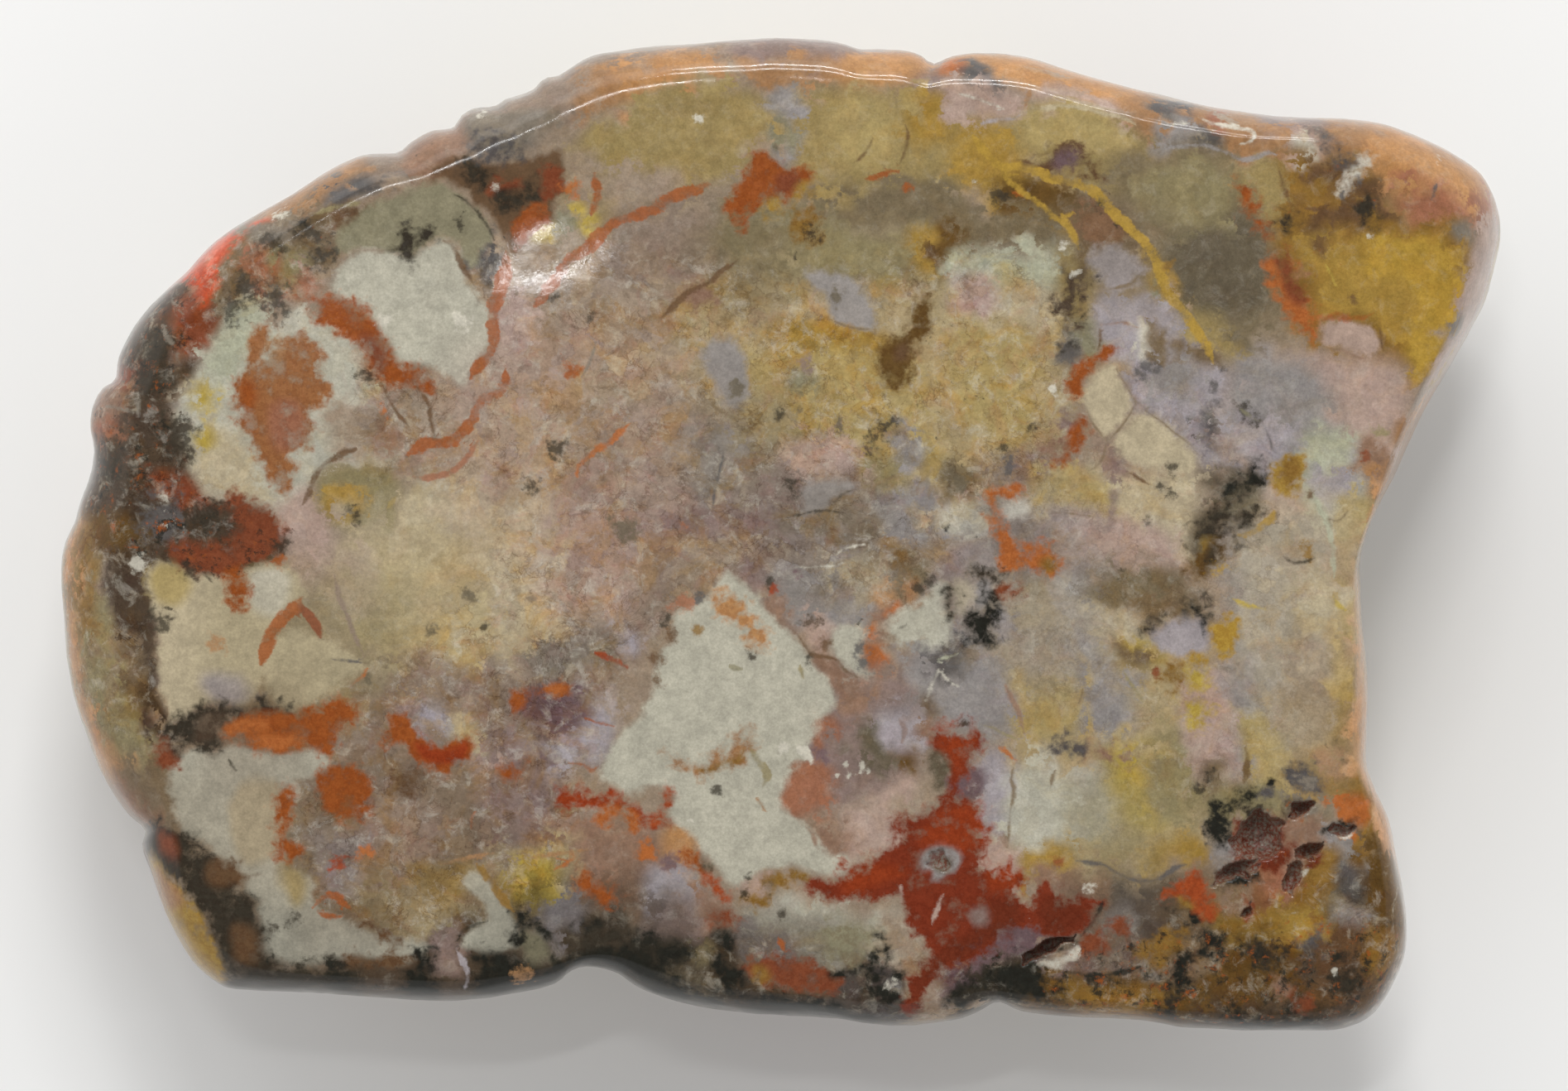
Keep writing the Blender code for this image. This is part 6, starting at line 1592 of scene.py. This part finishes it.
def stone_surface():
    """Points of the stone in millimetres, its faces and how deep each point lies in a vug."""
    line = curve_through(OUTLINE, FINE)
    soft_line = softened(line, SOFTEN_REACH)
    rays = ray_indices(line)
    edge, soft_edge = line[rays], soft_line[rays]
    bearing = np.degrees(np.arctan2(soft_edge[:, 1], soft_edge[:, 0]))
    width, exponent, girth = shoulder_at(bearing)
    distance = np.linalg.norm(soft_edge, axis=1)
    rim = soft_edge * (1.0 - width / distance)[:, None]
    places = face_places(rim)
    sunk = vug_depth(*places.T)
    points = [np.column_stack((places, face_height(*places.T) - sunk))]
    count = len(rim)
    found = delaunay_2d_cdt([Vector(p) for p in places], [], [list(range(count))], 1, 1e-7)
    faces = [tuple(face) for face in found[2]]
    shares = smooth_step(np.linspace(0.0, 1.0, SHOULDER_ROWS + 1))[1:]
    rows = [shoulder_row(rim, edge, exponent, girth, share) for share in shares]
    shares = np.linspace(0.0, 1.0, BACK_ROWS + 1)[1:]
    rows += [back_row(edge, soft_edge, girth, share) for share in shares]
    middle = np.array((*SPOT_CENTRE, 0.0))
    lowest = rows[-1]
    rows += [middle + (lowest - middle) * share for share in np.linspace(1.0, 0.0, SPOT_ROWS + 1)[1:-1]]
    upper = np.arange(count)
    start = len(places)
    for row in rows:
        lower = np.arange(start, start + count)
        around = zip(upper, lower, np.roll(lower, -1), np.roll(upper, -1))
        faces += [tuple(int(v) for v in quad) for quad in around]
        points.append(row)
        upper = lower
        start += count
    points.append(middle[None])
    faces += [(start, int(b), int(a)) for a, b in zip(upper, np.roll(upper, -1))]
    points = np.concatenate(points)
    depth = np.zeros(len(points))
    depth[:len(sunk)] = sunk
    return points, faces, depth


# The markings

def wavering(points, size, reach):
    """Smooth noise at each point, as two numbers of about the reach."""
    values = [noise.noise_vector(Vector(point) / size) for point in points]
    return np.array(values)[:, :2] * reach


def marking_places(points):
    """The pixel of the photograph that shows each point; on the back the pattern moves on."""
    x, y, z = points.T
    growth = CAMERA_DISTANCE / (CAMERA_DISTANCE - (z - WIDEST_LEVEL)) / PIXEL
    seen = np.column_stack((PICTURE_MIDDLE[0] + (x - CAMERA_X) * growth,
                            PICTURE_MIDDLE[1] - (y - CAMERA_Y) * growth))
    deep = smooth_step((DRIFT_TOP - z) / DRIFT_TOP)[:, None]
    moved = np.array(PICTURE_MIDDLE) + (seen - PICTURE_MIDDLE) * (1.0 - DRIFT_SHRINK * deep)
    moved += deep * (np.array(DRIFT) + wavering(points, 11.0, DRIFT_WAVER))
    margin = FOLD_MARGIN * (1.0 - smooth_step(deep / FOLD_DEPTH))
    low, high = np.array(FOLD_LOW) - margin, np.array(FOLD_HIGH) + margin
    folded = low + np.abs(moved - low)
    return high - np.abs(high - folded)


def linear(name):
    """The share of light that a colour of the palette gives back."""
    value = np.array(PALETTE[name]) / 255.0
    return np.where(value <= 0.04045, value / 12.92, ((value + 0.055) / 1.055) ** 2.4) / LIGHT_LEVEL


def patch_depth(places, points, reach):
    """Distance of each place inside a closed curve, less than 0 outside, as far as the reach."""
    line = curve_through(points, 6.0)
    near = np.all((places > line.min(axis=0) - reach) & (places < line.max(axis=0) + reach), axis=1)
    depth = np.full(len(places), -reach, float)
    x, y = places[near].T
    gap = np.full(len(x), reach * reach)
    inside = np.zeros(len(x), bool)
    for (ax, ay), (bx, by) in zip(line, np.roll(line, -1, axis=0)):
        run_x, run_y = bx - ax, (by - ay) or 1e-6
        share = np.clip(((x - ax) * run_x + (y - ay) * run_y) / (run_x ** 2 + run_y ** 2), 0.0, 1.0)
        away = (x - ax - share * run_x) ** 2 + (y - ay - share * run_y) ** 2
        gap = np.minimum(away, gap)
        inside ^= ((ay > y) != (by > y)) & (x < ax + (y - ay) * run_x / run_y)
    distance = np.sqrt(gap)
    depth[near] = np.where(inside, distance, -distance)
    return depth


def paint_ground(places, patches, base):
    """Soft patches of colour, the later over the earlier, at each place."""
    colours = np.tile(linear(base), (len(places), 1))
    for name, softness, points in patches:
        reach = SOFT * softness
        share = smooth_step(0.5 + 0.5 * patch_depth(places, points, reach + 1.0) / reach)
        colours += (linear(name) - colours) * share[:, None]
    return colours


def paint_tones(colours, places, patches, most):
    """Pulls the colours part of the way to each patch's own."""
    for name, softness, points in patches:
        share = most * smooth_step(0.5 + 0.5 * patch_depth(places, points, softness + 1.0) / softness)
        colours += (linear(name) - colours) * share[:, None]
    return colours


def paint_crisp(places, patches):
    """Depth in the nearest crisp patch, as a share of its softness, and the layer's colour there."""
    depth = np.full(len(places), -CRISP_REACH)
    colours = np.zeros((len(places), 3))
    for name, softness, points in patches:
        here = patch_depth(places, points, CRISP_REACH) / softness
        close = here > -CRISP_REACH / softness
        share = np.where(here >= depth, 1.0, smooth_step(0.5 + 0.5 * here)) * close
        colours += (linear(name) - colours) * share[:, None]
        depth = np.where(close, np.maximum(depth, here), depth)
    return depth, colours


def paint_veins_and_highlights(places, veins):
    """Signed distance from the middle of the nearest vein or painted highlight line, the distance, its half
    width and its colour.
    """
    side = np.full(len(places), VEIN_AND_HIGHLIGHT_REACH)
    gap = np.full(len(places), VEIN_AND_HIGHLIGHT_REACH)
    nearest = np.full(len(places), VEIN_AND_HIGHLIGHT_REACH)
    width = np.zeros(len(places))
    colours = np.zeros((len(places), 3))
    for name, half_width, points in veins:
        line = curve_through(points, 5.0, closed=False)
        steps = np.linalg.norm(np.diff(line, axis=0), axis=1)
        walked = np.concatenate(((0.0,), np.cumsum(steps)))
        reach = VEIN_AND_HIGHLIGHT_REACH + half_width
        near = np.all((places > line.min(axis=0) - reach) & (places < line.max(axis=0) + reach), axis=1)
        spots = places[near]
        best = np.full(len(spots), reach)
        best_side = np.zeros(len(spots))
        best_walk = np.zeros(len(spots))
        for a, b, done in zip(line, line[1:], walked):
            run = b - a
            offset = spots - a
            share = np.clip(offset @ run / (run @ run), 0.0, 1.0)
            away = np.linalg.norm(offset - share[:, None] * run, axis=1)
            closer = away < best
            cross = run[0] * offset[:, 1] - run[1] * offset[:, 0]
            best[closer] = away[closer]
            best_side[closer] = np.sign(cross[closer])
            best_walk[closer] = done + share[closer] * math.sqrt(run @ run)
        taper = np.minimum(best_walk, walked[-1] - best_walk) / min(VEIN_AND_HIGHLIGHT_TAPER, 0.5 * walked[-1])
        here = half_width * smooth_step(0.15 + taper) * (best < reach) * (taper > 0.0)
        margin = best - here
        old = nearest[near]
        better = (margin < old) & (here > 0.0)
        rows = np.flatnonzero(near)[better]
        nearest[rows] = margin[better]
        side[rows] = (best * best_side)[better]
        gap[rows] = best[better]
        width[rows] = here[better]
        colours[rows] = linear(name)
    return side, gap, width, colours


def paint_density(places, patches):
    """How thickly specks are strewn at each place, from 0 to 1."""
    density = np.zeros(len(places))
    for thickness, softness, points in patches:
        share = smooth_step(0.5 + 0.5 * patch_depth(places, points, softness + 1.0) / softness)
        density = np.maximum(density, thickness * share)
    return density


def store_numbers(mesh, name, values):
    """Keeps one number for each point of the mesh under a name."""
    mesh.attributes.new(name, "FLOAT", "POINT").data.foreach_set("value", np.float32(values))


def store_colours(mesh, name, colours):
    """Keeps one colour for each point of the mesh under a name."""
    full = np.column_stack((colours, np.ones(len(colours)))).ravel()
    mesh.attributes.new(name, "FLOAT_COLOR", "POINT").data.foreach_set("color", np.float32(full))


def paint_stone(mesh, points, sunk):
    """Paints the stone's markings on its points."""
    places = marking_places(points)
    waver = wavering(points, 3.4, 9.0) + wavering(points, 1.1, 4.0)
    stray = wavering(points + 50.0, 2.6, 34.0) + wavering(points + 90.0, 0.9, 14.0)
    for name, strayed in (("ground", places + waver), ("ground_stray", places + stray)):
        colours = paint_ground(strayed, GROUND, "fawn")
        store_colours(mesh, name, paint_tones(colours, strayed, TONES, TONE_SHARE))
    # the stain layer also holds painted shade along the bottom edge and in two vugs
    for name, patches in (("clot", CLOTS), ("stain_and_shade", STAINS_AND_SHADE), ("mark", MARKS)):
        depth, colours = paint_crisp(places + waver, patches)
        if name == "clot":
            colours = paint_tones(colours, places + waver, TONES, CLOT_TONE_SHARE)
        store_numbers(mesh, name + "_depth", depth)
        store_colours(mesh, name + "_colour", colours)
    # the vein layer also holds the painted highlight lines along the top rim and the upper-left rim
    side, gap, width, colours = paint_veins_and_highlights(places + 0.6 * waver, VEINS_AND_HIGHLIGHTS)
    store_numbers(mesh, "vein_and_highlight_side", side)
    store_numbers(mesh, "vein_and_highlight_gap", gap)
    store_numbers(mesh, "vein_and_highlight_width", width)
    store_colours(mesh, "vein_and_highlight_colour", colours)
    store_numbers(mesh, "dark_specks", paint_density(places + waver, DARK_SPECKS))
    store_numbers(mesh, "rust_specks", paint_density(places + waver, RUST_SPECKS))
    store_numbers(mesh, "pale_specks", paint_density(places + waver, PALE_SPECKS))
    store_numbers(mesh, "busy", paint_density(places + waver, BUSY))
    store_numbers(mesh, "sunk", sunk)


# The stone's material

MIX_A, MIX_B, MIX_OUT = 6, 7, 2  # colour sockets of a mix node
GRAIN_SCALE = 1000.0  # object coordinates are metres; the pattern is set in millimetres
OCHRE_TINT = (1.0, 0.84, 0.55)
ROSE_TINT = (0.97, 0.84, 0.86)
DUSK_TINT = (0.62, 0.58, 0.56)
HAIRLINE_TINT = (0.42, 0.34, 0.3)
CELL_RATE = 0.85  # cells to a millimetre
CELL_WARP = 2.6
CELL_SHARE = 0.42
CELL_DARK = (0.7, 0.66, 0.64)
CELL_OCHRE = (1.0, 0.86, 0.62)
CELL_LILAC = (0.9, 0.9, 1.02)


def add(tree, kind, inputs=None, **settings):
    """A node with its settings, and with a value or a link for each named input."""
    node = tree.nodes.new(kind)
    for name, value in settings.items():
        setattr(node, name, value)
    for name, value in (inputs or {}).items():
        if isinstance(value, bpy.types.NodeSocket):
            tree.links.new(value, node.inputs[name])
        else:
            node.inputs[name].default_value = value
    return node


def number_at(tree, name):
    """A number painted on the mesh."""
    return add(tree, "ShaderNodeAttribute", attribute_name=name).outputs["Fac"]


def colour_at(tree, name):
    """A colour painted on the mesh."""
    return add(tree, "ShaderNodeAttribute", attribute_name=name).outputs["Color"]


def cloud(tree, place, rate, detail=4.0, rough=0.55, warp=0.0):
    """Cloudy noise around 0.5, with so many lumps to a millimetre."""
    inputs = {"Vector": place, "Scale": rate, "Detail": detail, "Roughness": rough, "Distortion": warp}
    return add(tree, "ShaderNodeTexNoise", inputs).outputs["Fac"]


def maths(tree, operation, first, second=0.0, clamp=False):
    """The result of one sum."""
    node = add(tree, "ShaderNodeMath", {0: first, 1: second}, operation=operation)
    node.use_clamp = clamp
    return node.outputs[0]


def between(tree, value, low, high, out_low=0.0, out_high=1.0):
    """The value's smooth rise from out_low to out_high as it goes from low to high."""
    inputs = {"Value": value, "From Min": low, "From Max": high, "To Min": out_low, "To Max": out_high}
    node = add(tree, "ShaderNodeMapRange", inputs, interpolation_type="SMOOTHSTEP")
    return node.outputs["Result"]


def mixed(tree, share, first, second, blend="MIX"):
    """Two colours mixed."""
    inputs = {0: share, MIX_A: first, MIX_B: second}
    node = add(tree, "ShaderNodeMix", inputs, data_type="RGBA", blend_type=blend)
    return node.outputs[MIX_OUT]


def flat(name):
    """A colour of the palette with full opacity."""
    return (*linear(name), 1.0)


def crisp_share(tree, name, noises, strays, soft):
    """Where a layer of crisp patches shows, with an edge that strays by each noise in turn."""
    depth = number_at(tree, name + "_depth")
    for value, stray in zip(noises, strays):
        depth = maths(tree, "ADD", depth, centred(tree, value, stray))
    return between(tree, depth, -soft, soft)


def centred(tree, value, size):
    """Noise moved to lie about 0, at a size."""
    return maths(tree, "MULTIPLY", maths(tree, "SUBTRACT", value, 0.5), size)


def shaded(tree, colour, share, tint):
    """A colour multiplied by a tint where the share says so."""
    return mixed(tree, share, colour, (*tint, 1.0), "MULTIPLY")


def moved(tree, place, shift):
    """The place moved, so that the next noise is another one."""
    return add(tree, "ShaderNodeVectorMath", {0: place, 1: (shift,) * 3}, operation="ADD").outputs[0]


def curdled(tree, colour, place):
    """The colour broken into small warped cells of differing tints, with dark seams between."""
    warp = add(tree, "ShaderNodeTexNoise", {"Vector": place, "Scale": 0.7, "Detail": 4.0, "Roughness": 0.65})
    bent = add(tree, "ShaderNodeVectorMath", {0: warp.outputs["Color"], 1: (CELL_WARP,) * 3},
               operation="MULTIPLY").outputs[0]
    bent = add(tree, "ShaderNodeVectorMath", {0: place, 1: bent}, operation="ADD").outputs[0]
    cell = add(tree, "ShaderNodeTexVoronoi", {"Vector": bent, "Scale": CELL_RATE}).outputs["Color"]
    cell = add(tree, "ShaderNodeSeparateColor", {"Color": cell})
    for channel, tint in (("Red", CELL_DARK), ("Green", CELL_OCHRE), ("Blue", CELL_LILAC)):
        share = between(tree, cell.outputs[channel], 0.45, 0.95, 0.0, CELL_SHARE)
        colour = shaded(tree, colour, share, tint)
    seam = add(tree, "ShaderNodeTexVoronoi", {"Vector": bent, "Scale": CELL_RATE},
               feature="DISTANCE_TO_EDGE").outputs["Distance"]
    where = between(tree, cloud(tree, moved(tree, place, 23.0), 0.5, 4.0), 0.46, 0.62, 0.0, 0.45)
    share = maths(tree, "MULTIPLY", between(tree, seam, 0.0, 0.09, 1.0, 0.0), where)
    return shaded(tree, colour, share, HAIRLINE_TINT)


def vein_and_highlight_share(tree, middling, small):
    """Where the veins and painted highlight lines show: narrowing, widening and fading with the noise."""
    width = number_at(tree, "vein_and_highlight_width")
    reach = maths(tree, "MULTIPLY", width, between(tree, middling, 0.3, 0.7, 0.5, 1.4))
    gap = maths(tree, "SUBTRACT", reach, maths(tree, "ABSOLUTE", number_at(tree, "vein_and_highlight_side")))
    gap = maths(tree, "ADD", gap, centred(tree, small, 9.0))
    spare = maths(tree, "SUBTRACT", number_at(tree, "vein_and_highlight_gap"), width)
    beside = maths(tree, "MULTIPLY", between(tree, spare, 3.4, 2.4), between(tree, width, 0.1, 0.4))
    share = maths(tree, "MULTIPLY", between(tree, gap, -1.8, 2.4), beside)
    return maths(tree, "MULTIPLY", share, between(tree, middling, 0.36, 0.56, 0.4, 0.86))


def mottled(tree, plain, place):
    """The colour under washes of ochre and rose, pale clouds and dark hairlines."""
    colour = plain
    ochre = cloud(tree, moved(tree, place, 31.0), 0.42, 6.0, 0.68, 0.7)
    colour = shaded(tree, colour, between(tree, ochre, 0.47, 0.66, 0.0, 0.8), OCHRE_TINT)
    rose = cloud(tree, moved(tree, place, 57.0), 0.55, 6.0, 0.68, 0.7)
    colour = shaded(tree, colour, between(tree, rose, 0.49, 0.66, 0.0, 0.8), ROSE_TINT)
    pale = cloud(tree, moved(tree, place, 83.0), 0.9, 6.0, 0.72, 0.5)
    colour = mixed(tree, between(tree, pale, 0.5, 0.68, 0.0, 0.42), colour, flat("chalk"))
    dusk = cloud(tree, moved(tree, place, 109.0), 0.75, 6.0, 0.74, 0.4)
    colour = shaded(tree, colour, between(tree, dusk, 0.52, 0.68, 0.0, 0.75), DUSK_TINT)
    line = cloud(tree, moved(tree, place, 131.0), 0.4, 6.0, 0.62, 1.4)
    line = maths(tree, "ABSOLUTE", maths(tree, "SUBTRACT", line, 0.5))
    where = between(tree, cloud(tree, moved(tree, place, 17.0), 0.25, 4.0), 0.46, 0.6, 0.0, 0.6)
    share = maths(tree, "MULTIPLY", between(tree, line, 0.0, 0.014, 1.0, 0.0), where)
    colour = curdled(tree, shaded(tree, colour, share, HAIRLINE_TINT), place)
    busy = between(tree, number_at(tree, "busy"), 0.0, 1.0, 0.3, 1.0)
    return mixed(tree, busy, plain, colour)


def agate_colour(tree, place):
    """The stone's colours, from its soft ground up to its specks."""
    middling = cloud(tree, place, 0.8, 6.0, 0.62)
    small = cloud(tree, place, 2.6, 6.0, 0.68)
    grain = cloud(tree, place, 7.0, 3.0, 0.6)
    ripple = cloud(tree, moved(tree, place, 7.0), 1.5, 3.0, 0.5, 0.4)
    noises = (ripple, small, middling)
    # where two strayed grounds meet, their colours mottle
    share = maths(tree, "ADD", between(tree, middling, 0.4, 0.6), centred(tree, small, 1.6))
    colour = mixed(tree, between(tree, share, 0.32, 0.68), colour_at(tree, "ground"),
                   colour_at(tree, "ground_stray"))
    colour = mottled(tree, colour, place)
    share = crisp_share(tree, "clot", noises, (3.6, 1.2, 3.5), 1.5)
    colour = mixed(tree, maths(tree, "MULTIPLY", share, 0.93), colour, colour_at(tree, "clot_colour"))
    # the stain layer holds real stains and, along the bottom edge and in two vugs, painted shade
    stain_and_shade = shaded(tree, colour_at(tree, "stain_and_shade_colour"), between(tree, small, 0.42, 0.6, 0.0, 0.9),
                   (0.72, 0.66, 0.64))
    share = crisp_share(tree, "stain_and_shade", noises, (7.0, 4.0, 6.0), 1.8)
    share = maths(tree, "MULTIPLY", share, between(tree, middling, 0.3, 0.5, 0.6, 1.0))
    colour = mixed(tree, share, colour, stain_and_shade)
    share = crisp_share(tree, "mark", noises, (8.0, 10.0, 6.0), 1.8)
    colour = mixed(tree, maths(tree, "MULTIPLY", share, 0.85), colour, colour_at(tree, "mark_colour"))
    # the vein layer also paints highlight lines along the top rim
    colour = mixed(tree, vein_and_highlight_share(tree, middling, small), colour, colour_at(tree, "vein_and_highlight_colour"))
    # cloudy lights and darks
    shade = between(tree, middling, 0.3, 0.7, 0.88, 1.12)
    for value, low, high in ((small, 0.9, 1.1), (grain, 0.92, 1.08)):
        shade = maths(tree, "MULTIPLY", shade, between(tree, value, 0.3, 0.7, low, high))
    tone = add(tree, "ShaderNodeCombineColor", {"Red": shade, "Green": shade, "Blue": shade})
    colour = mixed(tree, 1.0, colour, tone.outputs[0], "MULTIPLY")
    # specks, which stand in drifts
    drift = centred(tree, middling, 0.5)
    for name, rate, tint in (("dark_specks", 1.4, "black"), ("rust_specks", 1.7, "rust"),
                             ("pale_specks", 3.0, "chalk")):
        speck = maths(tree, "ADD", cloud(tree, place, rate, 6.0, 0.72, 0.3), drift)
        edge = between(tree, number_at(tree, name), 0.0, 1.0, 0.88, 0.4)
        share = between(tree, maths(tree, "SUBTRACT", speck, edge), -0.07, 0.1, 0.0, 0.88)
        colour = mixed(tree, share, colour, flat(tint))
    return colour


def agate():
    """Polished agate: mottled colours, a glassy skin with tiny pits, and open vugs."""
    material = bpy.data.materials.new("agate")
    material.use_nodes = True
    tree = material.node_tree
    shader = tree.nodes["Principled BSDF"]
    place = add(tree, "ShaderNodeTexCoord").outputs["Object"]
    place = add(tree, "ShaderNodeVectorMath", {0: place, 1: (GRAIN_SCALE,) * 3}, operation="MULTIPLY")
    place = place.outputs[0]
    colour = agate_colour(tree, place)
    hollow = between(tree, number_at(tree, "sunk"), 0.02, 0.35)
    crust = mixed(tree, between(tree, cloud(tree, place, 5.0, 6.0, 0.7), 0.42, 0.6),
                  flat("oxblood"), flat("ash"))
    colour = mixed(tree, maths(tree, "MULTIPLY", hollow, 0.8), colour, crust)
    tree.links.new(colour, shader.inputs["Base Color"])
    polish = between(tree, cloud(tree, place, 1.6, 5.0, 0.65), 0.35, 0.7, 0.08, 0.17)
    polish = maths(tree, "ADD", polish, maths(tree, "MULTIPLY", hollow, 0.3))
    tree.links.new(polish, shader.inputs["Roughness"])
    shader.inputs["IOR"].default_value = 1.54
    shader.inputs["Specular IOR Level"].default_value = 0.22
    pits = cloud(tree, place, 9.0, 4.0, 0.6)
    waves = cloud(tree, place, 0.9, 3.0, 0.5)
    relief = maths(tree, "ADD", maths(tree, "MULTIPLY", pits, 0.06), waves)
    bump = add(tree, "ShaderNodeBump", {"Height": relief, "Strength": 0.1, "Distance": 0.00012})
    tree.links.new(bump.outputs["Normal"], shader.inputs["Normal"])
    return material


def make_stone():
    """The whole stone, finely meshed and painted."""
    points, faces, sunk = stone_surface()
    middle = (points.min(axis=0) + points.max(axis=0)) / 2.0
    shift = np.array((middle[0], middle[1], 0.0))
    mesh = bpy.data.meshes.new("stone")
    mesh.from_pydata((points - shift) * METRE, [], faces)
    mesh.shade_smooth()
    paint_stone(mesh, points - shift, sunk)
    stone = bpy.data.objects.new("stone", mesh)
    bpy.context.scene.collection.objects.link(stone)
    stone.data.materials.append(agate())
    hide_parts("coprolite")
    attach(stone, "root")
    return stone


# The studio

FLOOR_SIZE = 3.0
FLOOR_COLOUR = (0.88, 0.88, 0.87, 1.0)
SKY_TOP = 0.12
SKY_SIDE = 1.12
SKY_LEAN = (0.8, 1.15)  # its strength at the near and at the far side
SKY_TURNS = (0.6, 0.9)  # the sine of the height at which the sky starts to dim, and is at its dimmest


def make_floor():
    """A plain pale floor under the stone."""
    bpy.ops.mesh.primitive_plane_add(size=FLOOR_SIZE)
    floor = bpy.context.object
    floor.name = "floor"
    material = bpy.data.materials.new("floor")
    material.use_nodes = True
    shader = material.node_tree.nodes["Principled BSDF"]
    shader.inputs["Base Color"].default_value = FLOOR_COLOUR
    shader.inputs["Roughness"].default_value = 0.9
    shader.inputs["Specular IOR Level"].default_value = 0.0
    floor.data.materials.append(material)


def lamp_place(lean, turn, distance):
    """A place so far from the stone, leaning from overhead towards +Y and turned towards +X."""
    lean, turn = math.radians(lean), math.radians(turn)
    way = (math.sin(lean) * math.sin(turn), math.sin(lean) * math.cos(turn), math.cos(lean))
    return np.array(way) * distance


def make_lamp(name, place, target, size, power):
    """A rectangular soft lamp that shines at a target."""
    lamp = bpy.data.lights.new(name, "AREA")
    lamp.shape = "RECTANGLE"
    lamp.size, lamp.size_y = size
    lamp.energy = power
    obj = bpy.data.objects.new(name, lamp)
    obj.location = place
    obj.rotation_euler = (Vector(target) - Vector(place)).to_track_quat("-Z", "Y").to_euler()
    bpy.context.scene.collection.objects.link(obj)


def make_sky():
    """A pale sky that is dim straight overhead, and brightest beyond the long lobed side."""
    world = bpy.data.worlds.new("sky")
    world.use_nodes = True
    tree = world.node_tree
    background = tree.nodes["Background"]
    background.inputs["Color"].default_value = (1.0, 1.0, 1.0, 1.0)
    way = add(tree, "ShaderNodeTexCoord").outputs["Generated"]
    way = add(tree, "ShaderNodeSeparateXYZ", {"Vector": way})
    strength = between(tree, way.outputs["Z"], SKY_TURNS[0], SKY_TURNS[1], SKY_SIDE, SKY_TOP)
    strength = maths(tree, "MULTIPLY", strength, between(tree, way.outputs["Y"], -0.8, 0.8, *SKY_LEAN))
    tree.links.new(strength, background.inputs["Strength"])
    bpy.context.scene.world = world


def make_lights():
    """Soft light, with two tubes and a window beyond the stone's long lobed side."""
    make_sky()
    middle = (0.0, 0.0, 0.0)
    make_lamp("tube_low", lamp_place(46.0, 3.0, 0.9), middle, (0.24, 0.014), 1.5)
    make_lamp("tube_high", lamp_place(33.0, 3.0, 0.9), middle, (0.24, 0.014), 1.2)
    make_lamp("window", lamp_place(50.0, -12.0, 1.4), middle, (0.9, 0.7), 3.5)
    make_lamp("glare", lamp_place(13.6, -19.4, 0.9), middle, (0.1, 0.022), 0.45)


def make_camera():
    """A camera that looks straight down on the face."""
    camera = bpy.data.objects.new("camera", bpy.data.cameras.new("camera"))
    camera.data.lens = LENS
    camera.data.sensor_width = SENSOR
    camera.location = np.array((CAMERA_X, CAMERA_Y, WIDEST_LEVEL + CAMERA_DISTANCE)) * METRE
    bpy.context.scene.collection.objects.link(camera)
    bpy.context.scene.camera = camera


noise.seed_set(SEED)
make_camera()
make_stone()
make_floor()
make_lights()
bpy.context.scene.view_settings.view_transform = "Standard"
